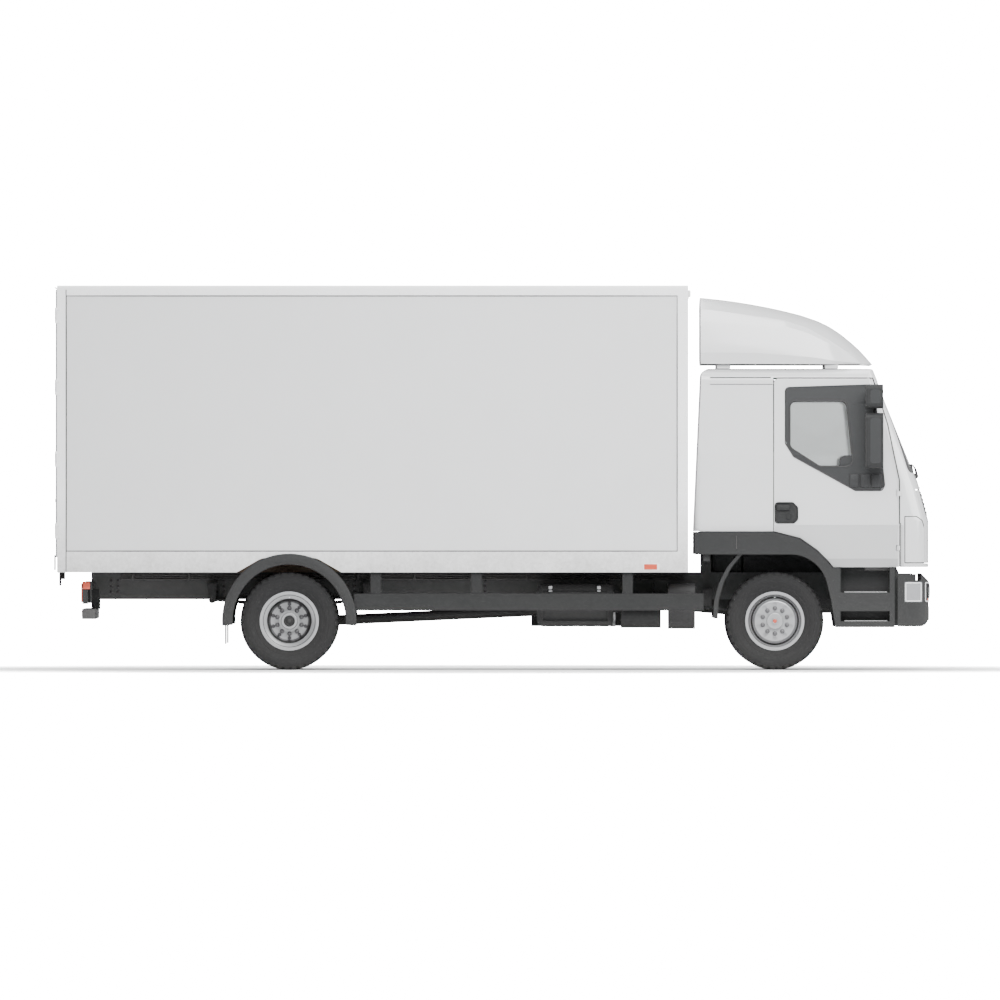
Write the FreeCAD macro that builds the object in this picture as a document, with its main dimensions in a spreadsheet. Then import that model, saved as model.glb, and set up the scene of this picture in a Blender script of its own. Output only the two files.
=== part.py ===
import FreeCAD
import Part
import math
import os
import Sketcher

# A two-axle box truck with a tilting sleeper cab, a roof deflector and a panelled load box.
# +X points forward, +Y to the truck's left, +Z up. The origin is on the ground, below the
# middle of the truck. All lengths are in millimetres, and every one is driven from SIZES.

SIZES = {
    # small distances that several pieces share
    "overrun": 20, "seat_gap": 0.3, "panel_gap": 6, "front_axle_x": 2505, "wheelbase": 4300,
    # tyres and rims
    "tyre_radius": 433, "tyre_width": 265, "tread_width": 224, "tyre_shoulder": 34, "tyre_bulge_radius": 345,
    "tyre_wall": 18, "crown_wall": 26, "tyre_round": 60, "bead_radius": 247.7, "bead_width": 184,
    "bead_wall": 30,
    "flange_height": 14, "flange_lip": 12, "rim_wall": 10, "rim_well_depth": 31, "rim_well_width": 96,
    "rim_well_slope": 20, "disc_wall": 14, "disc_skirt": 30, "disc_skirt_start": 14, "disc_flat_radius": 172,
    "disc_round": 14, "hand_hole_radius": 17, "hand_hole_circle": 150, "hand_hole_count": 10,
    # front wheel ends
    "front_track": 1930, "front_disc_face": 110, "front_hub_radius": 74, "front_hub_nose": 34,
    "hub_barrel_radius": 66,
    "hub_end_wall": 10, "front_cap_radius": 32, "front_cap_height": 12, "hub_flange_wall": 22,
    "front_drum_radius": 168, "drum_wall": 14, "front_drum_start": 72, "front_hub_start": 60,
    "kingpin_inset": 130, "kingpin_radius": 16, "kingpin_eye_radius": 27, "kingpin_eye_height": 88,
    "knuckle_lug_height": 40, "knuckle_lug_radius": 30, "knuckle_plate": 16, "knuckle_plate_inset": 34,
    "backing_radius": 150, "backing_wall": 5, "spindle_radius": 32, "spindle_end_gap": 12,
    "steer_arm_length": 160,
    "steer_arm_width": 36, "steer_arm_height": 24, "track_rod_radius": 11, "track_rod_drop": 50,
    "track_pin_radius": 9, "track_eye_radius": 20, "track_eye_height": 24,
    # front axle beam
    "beam_depth": 88, "beam_height": 78, "beam_web": 26, "beam_flange": 20, "beam_top_z": 404,
    "beam_flat_half_width": 540, "beam_neck_width": 150,
    # rear wheel ends and axle
    "twin_middle": 930, "twin_spacing": 290, "rear_hub_radius": 92, "rear_hub_nose": 70,
    "rear_cap_radius": 75,
    "rear_cap_height": 26, "rear_spindle_radius": 45.6, "rear_drum_radius": 182, "rear_drum_length": 190,
    "rear_axle_tube_radius": 62, "rear_axle_tube_gap": 24, "differential_radius": 180,
    "differential_half_width": 120,
    "differential_nose_radius": 90, "differential_nose_length": 300,
    # ladder frame
    "frame_rear_x": 3558, "frame_front_x": 3560, "frame_bottom_z": 622, "frame_height": 240,
    "frame_half_width": 430,
    "rail_flange": 70, "rail_wall": 8, "member_depth": 90, "member_wall": 10, "member_inset": 22,
    "tow_plate_wall": 14, "tow_hole_radius": 8.5, "tow_hole_spacing_y": 140, "tow_hole_spacing_z": 80,
    # cab hinge and rests
    "tilt_pivot_x": 3650, "tilt_pivot_z": 670, "tilt_pin_radius": 18, "tilt_eye_radius": 34,
    "tilt_arm_wall": 44,
    "tilt_plate_wall": 16, "tilt_plate_length": 200, "tilt_arm_lean": 110, "tilt_arm_width": 90,
    "cab_rest_x": 1900, "cab_rest_length": 90, "cab_rest_width": 110,
    # springs
    "spring_inner_gap": 8, "spring_width": 70, "front_spring_half": 620, "rear_spring_half": 720,
    "spring_thickness": 74, "spring_leaf": 22, "front_spring_rise": 96, "rear_spring_rise": 34,
    "spring_eye_radius": 30, "hanger_wall": 26, "hanger_length": 90, "hanger_height": 150,
    "spring_seat_length": 130,
    "rear_spring_pad": 26,
    # engine and drive line
    "engine_front_x": 3330, "engine_rear_x": 2230, "engine_half_width": 310, "engine_bottom_z": 500,
    "engine_top_z": 1130, "gearbox_rear_x": 1500, "gearbox_half_width": 190, "gearbox_bottom_z": 470,
    "gearbox_top_z": 850, "radiator_front_x": 3545, "radiator_depth": 80, "radiator_half_width": 345,
    "radiator_top_z": 1140, "radiator_pipe_radius": 50, "engine_foot_height": 70, "engine_foot_length": 120,
    "shaft_radius": 45, "shaft_flange_radius": 72, "shaft_flange_wall": 40, "shaft_front_z": 568,
    # chassis equipment
    "tank_front_x": 1250, "tank_length": 900, "tank_inner_y": 500, "tank_width": 520, "tank_bottom_z": 380,
    "tank_height": 430, "tank_round": 70, "tank_strap": 50, "battery_rear_x": 407, "battery_length": 660,
    "battery_inner_y": 500, "battery_width": 480, "battery_bottom_z": 389, "battery_height": 360,
    "air_tank_radius": 110, "air_tank_rear_x": 1142, "air_tank_length": 354, "air_tank_y": 760,
    "air_tank_z": 482,
    "silencer_rear_x": 1560, "silencer_length": 240, "silencer_inner_y": 500, "silencer_width": 470,
    "silencer_bottom_z": 363, "silencer_height": 400, "bracket_wall": 12, "bracket_height": 90,
    "guard_front_x": 1874, "guard_rear_x": 1220, "guard_top_z": 676, 
    "guard_set": 25, "guard_wall": 26, "guard_bottom_z": 526, "guard_post_width": 92,
    "underrun_rear_x": 3629, "underrun_depth": 116, "underrun_bottom_z": 449, "underrun_height": 92,
    "underrun_half_width": 1150, "underrun_bracket_length": 68, "underrun_wall": 8,
    "lamp_rear_x": 3627, "lamp_depth": 46, "lamp_bottom_z": 584, "lamp_height": 197, "lamp_inner_y": 720,
    "lamp_width": 380, "lamp_bar_depth": 40, "lamp_bar_height": 60,
    "rear_guard_radius": 560, "rear_guard_wall": 10, "rear_guard_lip": 60, "rear_guard_set": 41,
    "rear_guard_inner_y": 640, "rear_guard_foot_z": 479, "stay_radius": 14, "stay_x": 520, "flap_height": 250,
    # load box
    "box_rear_x": 3850, "box_front_x": 1737, "box_half_width": 1250, "box_top_z": 3404, "rave_bottom_z": 864,
    "rave_top_z": 1050, "cant_rail_height": 91, "box_wall": 30, "panel_recess": 4, "box_edge_round": 22,
    "front_post_width": 96, "rear_frame_depth": 80, "rear_post_width": 100, "header_height": 84,
    "rave_arch_half": 463, "rave_arch_shoulder": 240, "rave_arch_shoulder_z": 992, "rave_arch_round": 160,
    "floor_wall": 30, "bearer_height": 100, "bearer_width": 60, "bearer_count": 13,
    "bearer_pitch": 446, "bearer_clear": 640, "door_clear": 5, "leaf_rear_gap": 5, "leaf_wall": 30,
    "door_hinge_out": 10, "door_barrel_radius": 10, "door_pin_radius": 5, "door_blade_wall": 10,
    "door_blade_length": 210, "door_blade_height": 90, "lock_rod_radius": 11, "lock_rod_clear": 6,
    "lock_rod_y": 330, "lock_rod_reach": 60, "lock_guide_height": 60, "lock_guide_width": 60,
    "lock_handle_length": 300, "lock_handle_height": 30, "lock_handle_z": 1500,
    # cab shell
    "cab_back_x": 1793, "cab_back_lean": 65, "cab_nose_x": 3888, "cab_chin_set": 13, "cab_bottom_z": 910,
    "cab_chin_z": 990, "cab_nose_top_z": 1320, "cab_brow_z": 1660, "cab_brow_x": 3795, "cab_visor_x": 3388,
    "cab_roof_z": 2668, "cab_waist_z": 1227, "cab_rail_z": 2588, "cab_half_width": 1100, "cab_wall": 50,
    "cab_nose_round": 420, "cab_brow_round": 160, "cab_roof_round": 70, "cab_plan_round": 300,
    "cab_plan_crown": 40, "cab_plan_bow": 12000, "cab_back_round": 60, "cab_top_plan_round": 180,
    "cab_tumble": 50, "cab_tumble_z": 1900, "cab_top_round": 110,
    "glass_set": 6, "glass_wall": 6, "cab_back_depth": 115, "door_rear_x": 2491,
    "door_front_x": 3611, "door_front_knee_z": 1677, "door_front_top_x": 3372, "screen_half_width": 960,
    "door_front_mid_x": 3505, "door_front_mid_z": 2180,
    "screen_bottom_z": 1745, "screen_top_z": 2555, "lid_half_width": 935, "lid_bottom_z": 940,
    "lid_top_z": 1600,
    "lid_hinge_rise": 12, "lid_hinge_x": 3795, "lid_pin_radius": 5, "lid_barrel_radius": 9,
    "lid_lug_width": 48,
    "lid_lug_y": 200, "lid_lug_gap": 6, "lid_lug_wall": 14, "lid_lug_length": 52, "lid_top_gap": 9,
    "lid_pin_reach": 24, "bulkhead_wall": 40, "tunnel_half_width": 450,
    "tunnel_wall": 40, "floor_skin": 50, "footwell_z": 925, "footwell_rear_x": 3050, "scuttle_z": 1640,
    "door_pin_x": 3597, "door_pin_set": 10, "door_knuckle_back": 9, "door_knuckle_front": 5,
    "cab_door_pin_radius": 5, "door_lug_height": 40, "door_lug_back": 9,
    "door_lug_depth": 14, "door_notch_back": 20, "door_notch_depth": 20, "door_notch_gap": 6,
    "door_pin_reach": 22,
    "window_rear_x": 2644, "window_front_x": 3190, "window_top_z": 2375, "window_bottom_z": 1810,
    "window_rear_z": 1975, "window_cut_x": 2900, "window_top_x": 3130, "window_round": 50,
    # cab inside
    "dash_depth": 250, "dash_bottom_z": 1380, "dash_top_z": 1680, "dash_side_gap": 70, "seat_x": 2560,
    "seat_y": 600,
    "seat_width": 500, "seat_depth": 480, "seat_base_height": 190, "seat_cushion": 130,
    "seat_back_height": 640,
    "seat_back_wall": 120, "seat_back_lean": 90, "column_radius": 26,
    "steering_radius": 225, "steering_rim_radius": 15, "steering_hub_radius": 55, "steering_hub_height": 50,
    "steering_z": 1760, "steering_x": 3215, "spoke_radius": 11, "column_run": 180, "column_drop": 300,
    "steering_gap": 14, "steering_pin_radius": 10,
    # roof deflector
    "deflector_rear_x": 1838, "deflector_front_x": 3380, "deflector_lift": 36, "deflector_height": 605,
    "deflector_half_width": 1060, "deflector_front_half": 760, "deflector_wall": 22, "deflector_round": 240,
    "deflector_plan_round": 420, "deflector_foot": 120, "deflector_top_round": 800,
    # mirrors
    "mirror_front_x": 3462, "mirror_depth": 150, "mirror_inner_y": 1180, "mirror_width": 220,
    "mirror_bottom_z": 1786, "mirror_height": 489, "mirror_round": 45, "wide_mirror_height": 213,
    "wide_mirror_gap": 40, "mirror_arm_radius": 16, "mirror_arm_end": 60,
    # wheel arches, steps and bumper
    "arch_half_width": 1130, "arch_inner_y": 815, "arch_skin": 24, "arch_side_wall": 40, "arch_reach": 525,
    "arch_crown_z": 1022, "arch_edge_gap": 6, "arch_foot_x": 3042, "arch_knee_x": 3003, "arch_knee_z": 620,
    "arch_corner_x": 2905, "arch_corner_round": 330, "step_front_x": 3566, "step_bottom_z": 377,
    "step_inner_y": 850,
    "step_recess_depth": 210, "step_recess_bottom_z": 685, "step_wall": 45, "step_skin": 20,
    "step_low_bottom_z": 430,
    "step_low_height": 90, "step_low_depth": 150, "step_stay_height": 60, "step_stay_length": 60,
    "step_stay_rear_x": 3155, "step_stay_front_x": 3455, "mudguard_wall": 40, "mudguard_clear": 505,
    "mudguard_inner_y": 850, "mudguard_outer_y": 1115,
    "bumper_nose_x": 3869, "bumper_rear_x": 3592, "bumper_top_z": 850, "bumper_bottom_z": 384,
    "bumper_half_width": 1125, "bumper_wall": 30, "bumper_round": 80, "bumper_chamfer": 62,
    "bumper_plan_round": 230,
    "bumper_shelf": 70, "bumper_bar_height": 70, "bumper_bar_width": 40, "bumper_bar_length": 160,
    "headlamp_rear_x": 3655,
    "headlamp_bottom_z": 602, "headlamp_height": 176, "headlamp_inner_y": 690, "intake_half_width": 340,
    "intake_bottom_z": 560, "intake_height": 170,
}

# Side view of the deflector's top, front to rear: shares of its length from the rear end and of its height.
DEFLECTOR_TOP_SHARES = (
    (1.0, 0.0), (0.93, 0.13), (0.84, 0.30), (0.745, 0.47), (0.64, 0.62), (0.52, 0.74), (0.38, 0.855),
    (0.23, 0.94), (0.0, 1.0),
)
# Heights of the load doors' hinges and of the lock rods' guides, as shares of the door's height.
DOOR_HINGE_SHARES = (0.08, 0.36, 0.64, 0.92)
LOCK_GUIDE_SHARES = (0.06, 0.3, 0.7, 0.94)
# Places of the frame's cross members, as shares of the frame's length from its rear end.
MEMBER_SHARES = (0.0, 0.15, 0.31, 0.47, 0.62, 0.985)
# Which of the floor's cross bearers, counted from the front, carry the side guards' posts.
GUARD_POST_BEARERS = (1, 4, 6)
# Heights of the cab doors' hinges, as shares of the stretch below the window line.
CAB_HINGE_SHARES = (0.22, 0.85)
# The wheel arch's outer edge, from its level crown down to its front foot: shares of the arch's
# reach ahead of the axle and of the height from the footwell to the cab's waist.
ARCH_EDGE_SHARES = ((0.0, 1.0), (0.43, 0.82), (0.72, 0.48), (0.895, 0.19), (0.99, 0.0))
# The front mudguard strip behind the wheel, bottom to top: shares of its clear radius behind the
# axle and of the tyre's radius above the axle.
MUDGUARD_SHARES = ((1.0, 0.05), (0.985, 0.42), (0.9, 0.78), (0.76, 1.1), (0.57, 1.32))
TURN = 360
# How much of the cab nose's crown each level of its plan has, bottom to top.
PLAN_CROWN_SHARES = (1, 1, 1, 0.5)
# Upper and lower faces of a leaf pack outside its seat: shares of its reach and of its rise.
SPRING_TOP_SHARES = (0.55, 0.36)
SPRING_LOW_SHARES = (0.72, 0.62)
# Half widths of the engine's sump and of its block at the frame's lower edge, as shares of its own.
ENGINE_WIDTH_SHARES = (0.6, 0.75)
# Radius of the differential housing at its two ends, as a share of the largest.
HOUSING_END_SHARE = 0.62
# Places of the deflector's feet, as shares of its length from its rear end.
DEFLECTOR_FOOT_SHARES = (0.1, 0.72)
# How far the windscreen's two ends follow an inset of the cab's form, as shares of the inset.
VISOR_INSET_SHARE = 0.67
BROW_INSET_SHARES = (0.955, 0.305)
# Half width of the deflector's top as a share of that at its base.
DEFLECTOR_LEAN_SHARE = 0.9


class Size:
    """A length with its value in millimetres and the sheet expression that gives it."""

    def __init__(self, value, text):
        self.value = float(value)
        self.text = text

    def __add__(self, other):
        return Size(self.value + number(other), "(%s + %s)" % (self.text, words(other)))

    def __radd__(self, other):
        return self + other

    def __sub__(self, other):
        return Size(self.value - number(other), "(%s - %s)" % (self.text, words(other)))

    def __rsub__(self, other):
        return Size(number(other) - self.value, "(%s - %s)" % (words(other), self.text))

    def __mul__(self, other):
        return Size(self.value * number(other), "(%s * %s)" % (self.text, words(other)))

    def __rmul__(self, other):
        return self * other

    def __truediv__(self, other):
        return Size(self.value / number(other), "(%s / %s)" % (self.text, words(other)))

    def __neg__(self):
        return self * -1


def number(size):
    """Value of a size or of a plain number."""
    return size.value if isinstance(size, Size) else float(size)


def words(size):
    """Text of a size or of a plain number, for an expression."""
    if isinstance(size, Size):
        return size.text
    return "(%r)" % float(size)


class SheetSizes:
    """Reads the sheet's aliases as sizes."""

    def __getattr__(self, alias):
        return Size(sheet.get(alias), "dims." + alias)


doc = FreeCAD.newDocument("box_truck")
sheet = doc.addObject("Spreadsheet::Sheet", "dims")
for row, (alias, length) in enumerate(SIZES.items(), start=1):
    sheet.set("A%d" % row, alias)
    sheet.set("B%d" % row, str(length))
    sheet.setAlias("B%d" % row, alias)
doc.recompute()
d = SheetSizes()

nodes = []
DIRECTIONS = {"x": FreeCAD.Vector(1, 0, 0), "y": FreeCAD.Vector(0, 1, 0), "z": FreeCAD.Vector(0, 0, 1)}
PLANES = {"x": "YZ_Plane", "y": "XZ_Plane", "z": "XY_Plane"}

# Places that several pieces are set out from.
front_x = d.front_axle_x
rear_x = d.front_axle_x - d.wheelbase
axle_z = d.tyre_radius
frame_top_z = d.frame_bottom_z + d.frame_height
rail_web_y = d.frame_half_width - d.rail_wall
front_tyre_y = d.front_track / 2
kingpin_y = front_tyre_y - d.kingpin_inset
outer_twin_y = d.twin_middle + d.twin_spacing / 2
inner_twin_y = d.twin_middle - d.twin_spacing / 2


def bind(owner, name, size):
    """Tie one property to the sheet; a plain zero stays as it is."""
    if isinstance(size, Size):
        owner.setExpression(name, size.text)


def ordered(pair):
    """The two ends of a span, lower first."""
    return sorted(pair, key=number)


def both_sides(half):
    """A span across the truck's middle."""
    return (-half, half)


def box(name, x, y, z):
    """Block between three pairs of places."""
    block = doc.addObject("Part::Box", name)
    for length, span, letter in (("Length", x, "x"), ("Width", y, "y"), ("Height", z, "z")):
        low, high = ordered(span)
        bind(block, length, high - low)
        bind(block, "Placement.Base." + letter, low)
    return block


def rod(name, radius, x, y, z):
    """Round bar along the one direction that is given as a pair."""
    bar = doc.addObject("Part::Cylinder", name)
    bind(bar, "Radius", radius)
    for letter, place in (("x", x), ("y", y), ("z", z)):
        if isinstance(place, tuple):
            place, high = ordered(place)
            bind(bar, "Height", high - place)
            bar.Placement = FreeCAD.Placement(FreeCAD.Vector(),
                                              FreeCAD.Rotation(DIRECTIONS["z"], DIRECTIONS[letter]))
        bind(bar, "Placement.Base." + letter, place)
    return bar


def strut(name, radius, start, end):
    """Round bar between two points."""
    low = FreeCAD.Vector(*[number(place) for place in start])
    high = FreeCAD.Vector(*[number(place) for place in end])
    bar = doc.addObject("Part::Cylinder", name)
    bind(bar, "Radius", radius)
    runs = [words(b - a) for a, b in zip(start, end) if isinstance(b - a, Size)]
    bar.setExpression("Height", "sqrt(%s)" % " + ".join("%s ^ 2" % run for run in runs))
    bar.Placement = FreeCAD.Placement(low, FreeCAD.Rotation(DIRECTIONS["z"], high - low))
    for letter, place in zip("xyz", start):
        bind(bar, "Placement.Base." + letter, place)
    return bar


def hold_point(sketch, item, end, corner):
    """Fix a sketch point at a corner's two sizes."""
    for kind, size in (("DistanceX", corner[0]), ("DistanceY", corner[1])):
        index = sketch.addConstraint(Sketcher.Constraint(kind, -1, 1, item, end, number(size)))
        if isinstance(size, Size):
            sketch.setExpression("Constraints[%d]" % index, size.text)


def outline(sketch, corners):
    """Closed outline through corners given as (across, up) or (across, up, radius of the round)."""
    points = [FreeCAD.Vector(number(corner[0]), number(corner[1]), 0) for corner in corners]
    count = len(corners)
    arrive, leave, arcs = [], [], []
    for i, here in enumerate(points):
        arrive.append(here)
        leave.append(here)
        arcs.append(None)
        if len(corners[i]) < 3:
            continue
        radius = number(corners[i][2])
        back = (points[i - 1] - here).normalize()
        ahead = (points[(i + 1) % count] - here).normalize()
        half = back.getAngle(ahead) / 2
        arrive[i] = here + back * (radius / math.tan(half))
        leave[i] = here + ahead * (radius / math.tan(half))
        centre = here + (back + ahead).normalize() * (radius / math.sin(half))
        first, last = [math.atan2(p.y - centre.y, p.x - centre.x) for p in (arrive[i], leave[i])]
        forward = (last - first) % (2 * math.pi) < math.pi
        arcs[i] = (Part.Circle(centre, DIRECTIONS["z"], radius), first, last, forward)
    lines = []
    for i in range(count):
        lines.append(sketch.addGeometry(Part.LineSegment(leave[i], arrive[(i + 1) % count]), False))
    for i, corner in enumerate(corners):
        before, after = lines[i - 1], lines[i]
        if arcs[i] is None:
            sketch.addConstraint(Sketcher.Constraint("Coincident", before, 2, after, 1))
            hold_point(sketch, after, 1, corner)
            continue
        circle, first, last, forward = arcs[i]
        ends = (first, last) if forward else (last, first)
        arc = sketch.addGeometry(Part.ArcOfCircle(circle, *ends), False)
        point = sketch.addGeometry(Part.Point(points[i]), True)
        sketch.addConstraint(Sketcher.Constraint("Tangent", before, 2, arc, 1 if forward else 2))
        sketch.addConstraint(Sketcher.Constraint("Tangent", after, 1, arc, 2 if forward else 1))
        index = sketch.addConstraint(Sketcher.Constraint("Radius", arc, number(corner[2])))
        sketch.setExpression("Constraints[%d]" % index, words(corner[2]))
        hold_point(sketch, point, 1, corner)
        sketch.addConstraint(Sketcher.Constraint("PointOnObject", point, 1, before))
        sketch.addConstraint(Sketcher.Constraint("PointOnObject", point, 1, after))


def sketched_body(name, along, corners):
    """Body with one sketch across the given direction."""
    body = doc.addObject("PartDesign::Body", name)
    plane = [feature for feature in body.Origin.OriginFeatures if feature.Role == PLANES[along]][0]
    sketch = body.newObject("Sketcher::SketchObject", name + "_outline")
    sketch.AttachmentSupport = (plane, [""])
    sketch.MapMode = "FlatFace"
    outline(sketch, corners)
    return body, sketch


def prism(name, along, corners, low, high):
    """Outline padded along x, y or z from low to high; corners are in the two other directions."""
    body, sketch = sketched_body(name, along, corners)
    bind(sketch, "AttachmentOffset.Base.z", high * -1 if along == "y" else low)
    pad = body.newObject("PartDesign::Pad", name + "_pad")
    pad.Profile = sketch
    bind(pad, "Length", high - low)
    return body


def turned(name, corners, x, z):
    """Outline turned about a line along Y; corners are (along Y, radius)."""
    body, sketch = sketched_body(name, "x", corners)
    turn = body.newObject("PartDesign::Revolution", name + "_turn")
    turn.Profile = sketch
    turn.ReferenceAxis = (sketch, ["H_Axis"])
    turn.Angle = TURN
    bind(body, "Placement.Base.x", x)
    bind(body, "Placement.Base.z", z)
    return body


def fuse(name, *pieces):
    """One solid, or several that don't touch, from all pieces."""
    joined = doc.addObject("Part::MultiFuse", name)
    joined.Shapes = list(pieces)
    joined.Refine = True
    return joined


def cut(name, base, *tools):
    """The base with all tools taken out."""
    result = doc.addObject("Part::Cut", name)
    result.Base = base
    result.Tool = tools[0] if len(tools) == 1 else fuse(name + "_tools", *tools)
    result.Refine = True
    return result


def common(name, *pieces):
    """What all pieces share."""
    result = doc.addObject("Part::MultiCommon", name)
    result.Shapes = list(pieces)
    result.Refine = True
    return result


def mirrored(name, source):
    """The same piece on the truck's other side."""
    copy = doc.addObject("Part::Mirroring", name)
    copy.Source = source
    copy.Normal = DIRECTIONS["y"]
    return copy


def group(name, *pieces):
    """Pieces of one node that don't touch each other."""
    together = doc.addObject("Part::Compound", name)
    together.Links = list(pieces)
    return together


def node(label, piece):
    """Register a finished sub-part under the name of its file."""
    piece.Label = label
    nodes.append(piece)


def node_pair(label, piece):
    """Register the left piece and its mirror image."""
    node(label + "_left", piece)
    node(label + "_right", mirrored(label + "_mirror", piece))


def node_both(label, piece):
    """Register one node that holds the left piece and its mirror image."""
    node(label, group(label + "_both", piece, mirrored(label + "_mirror", piece)))


def tyre(name, middle, x):
    """Hollow tyre about the wheel's middle plane."""
    bead = d.bead_width / 2
    side = d.tyre_width / 2
    tread = d.tread_width / 2
    seat = d.bead_radius + d.seat_gap
    lip_top = d.bead_radius + d.flange_height + d.seat_gap * 2
    inner_side = side - d.tyre_wall
    crown = d.tyre_radius - d.crown_wall
    half = [(bead, seat), (bead, lip_top), (side, d.tyre_bulge_radius, d.tyre_round),
            (tread, d.tyre_radius, d.tyre_shoulder)]
    inside = [(tread - d.tyre_wall, crown, d.tyre_shoulder), (inner_side, d.tyre_bulge_radius, d.tyre_round),
              (bead - d.bead_wall, seat)]
    corners = [(middle - c[0],) + c[1:] for c in half] + [(middle + c[0],) + c[1:] for c in reversed(half)]
    corners += [(middle + c[0],) + c[1:] for c in reversed(inside)]
    corners += [(middle - c[0],) + c[1:] for c in inside]
    return turned(name, corners, x, axle_z)


def rim(name, middle, x):
    """Rim with its two flanges and the dropped well between the bead seats."""
    bead = d.bead_width / 2
    edge = bead + d.flange_lip
    well = d.rim_well_width / 2
    foot = well + d.rim_well_slope
    top = d.bead_radius + d.flange_height
    low = d.bead_radius - d.rim_well_depth
    above = [(edge, top), (bead, top), (bead, d.bead_radius), (foot, d.bead_radius), (well, low)]
    below = [(well - d.rim_wall / 2, low - d.rim_wall), (foot - d.rim_wall / 2, d.bead_radius - d.rim_wall),
             (edge, d.bead_radius - d.rim_wall)]
    corners = [(middle - y, z) for y, z in above] + [(middle + y, z) for y, z in reversed(above)]
    corners += [(middle + y, z) for y, z in reversed(below)] + [(middle - y, z) for y, z in below]
    return turned(name, corners, x, axle_z)


def disc(name, middle, way, face, centre_radius, x):
    """Wheel disc from the rim's well out to its mounting face, on the side that way names."""
    outer = d.bead_radius - d.rim_well_depth - d.rim_wall / 2
    inner = outer - d.disc_wall
    start = d.disc_skirt_start
    flat = d.disc_flat_radius
    corners = [(middle + start * way, outer), (middle + (start + d.disc_skirt) * way, outer),
               (middle + face * way, flat + d.disc_wall / 2, d.disc_round),
               (middle + face * way, centre_radius),
               (middle + (face - d.disc_wall) * way, centre_radius),
               (middle + (face - d.disc_wall) * way, flat - d.disc_wall / 2),
               (middle + (start + d.disc_skirt - d.disc_wall / 2) * way, inner),
               (middle + start * way, inner)]
    plate = turned(name + "_plate", corners, x, axle_z)
    holes = []
    for i in range(int(SIZES["hand_hole_count"])):
        angle = TURN * (i + 0.5) / SIZES["hand_hole_count"]
        holes.append(rod("%s_hole_%d" % (name, i), d.hand_hole_radius,
                         x + d.hand_hole_circle * math.cos(math.radians(angle)),
                         (middle, middle + (face + d.overrun) * way),
                         axle_z + d.hand_hole_circle * math.sin(math.radians(angle))))
    return cut(name, plate, *holes)


def make_front_wheel():
    """Front wheel with its rim, bulged disc, hub and brake drum, and the tyre on it."""
    middle = front_tyre_y
    face = middle + d.front_disc_face
    inside = face - d.disc_wall
    bore = d.spindle_radius + d.seat_gap
    nose = face + d.front_hub_nose
    start = kingpin_y + d.front_hub_start
    drum_start = kingpin_y + d.front_drum_start
    web = inside - d.hub_flange_wall
    drum_inside = d.front_drum_radius - d.drum_wall
    hub = turned("front_hub", [
        (start, bore), (start, d.hub_barrel_radius), (web, d.hub_barrel_radius), (web, drum_inside),
        (drum_start, drum_inside), (drum_start, d.front_drum_radius), (inside, d.front_drum_radius),
        (inside, d.front_hub_radius), (nose, d.front_hub_radius, d.hub_end_wall), (nose, d.front_cap_radius),
        (nose + d.front_cap_height, d.front_cap_radius), (nose + d.front_cap_height, 0),
        (nose - d.hub_end_wall, 0),
        (nose - d.hub_end_wall, bore)], front_x, axle_z)
    plate = disc("front_disc", middle, 1, d.front_disc_face, d.hub_barrel_radius, front_x)
    wheel = fuse("front_wheel", rim("front_rim", middle, front_x), plate, hub)
    node_pair("front_wheel", wheel)
    node_pair("front_tyre", tyre("front_tyre_solid", middle, front_x))


def make_rear_wheels():
    """Twin rear wheels on one hub: the discs meet back to back between the tyres."""
    half = d.twin_spacing / 2
    bore = d.rear_spindle_radius + d.seat_gap
    inner_face = d.twin_middle - d.disc_wall
    start = inner_face - d.rear_drum_length
    drum_inside = d.rear_drum_radius - d.drum_wall
    web = inner_face - d.hub_flange_wall
    nose = d.twin_middle + d.rear_hub_nose
    end = nose + d.rear_cap_height
    hub = turned("rear_hub", [
        (start, bore), (start, d.rear_hub_radius), (web, d.rear_hub_radius), (web, drum_inside),
        (start, drum_inside), (start, d.rear_drum_radius), (inner_face, d.rear_drum_radius),
        (inner_face, d.rear_hub_radius), (nose, d.rear_hub_radius), (nose, d.rear_cap_radius),
        (end, d.rear_cap_radius, d.hub_end_wall), (end, 0), (end - d.hub_end_wall, 0),
        (end - d.hub_end_wall, bore)], rear_x, axle_z)
    pieces = [hub]
    tyres = []
    for name, middle, way in (("outer", outer_twin_y, -1), ("inner", inner_twin_y, 1)):
        pieces.append(rim("%s_rim" % name, middle, rear_x))
        pieces.append(disc("%s_disc" % name, middle, way, half, d.rear_hub_radius, rear_x))
        tyres.append(tyre("%s_tyre" % name, middle, rear_x))
    node_pair("rear_wheels", fuse("rear_wheel_pair", *pieces))
    node_pair("rear_tyres", group("rear_tyre_pair", *tyres))


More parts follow.
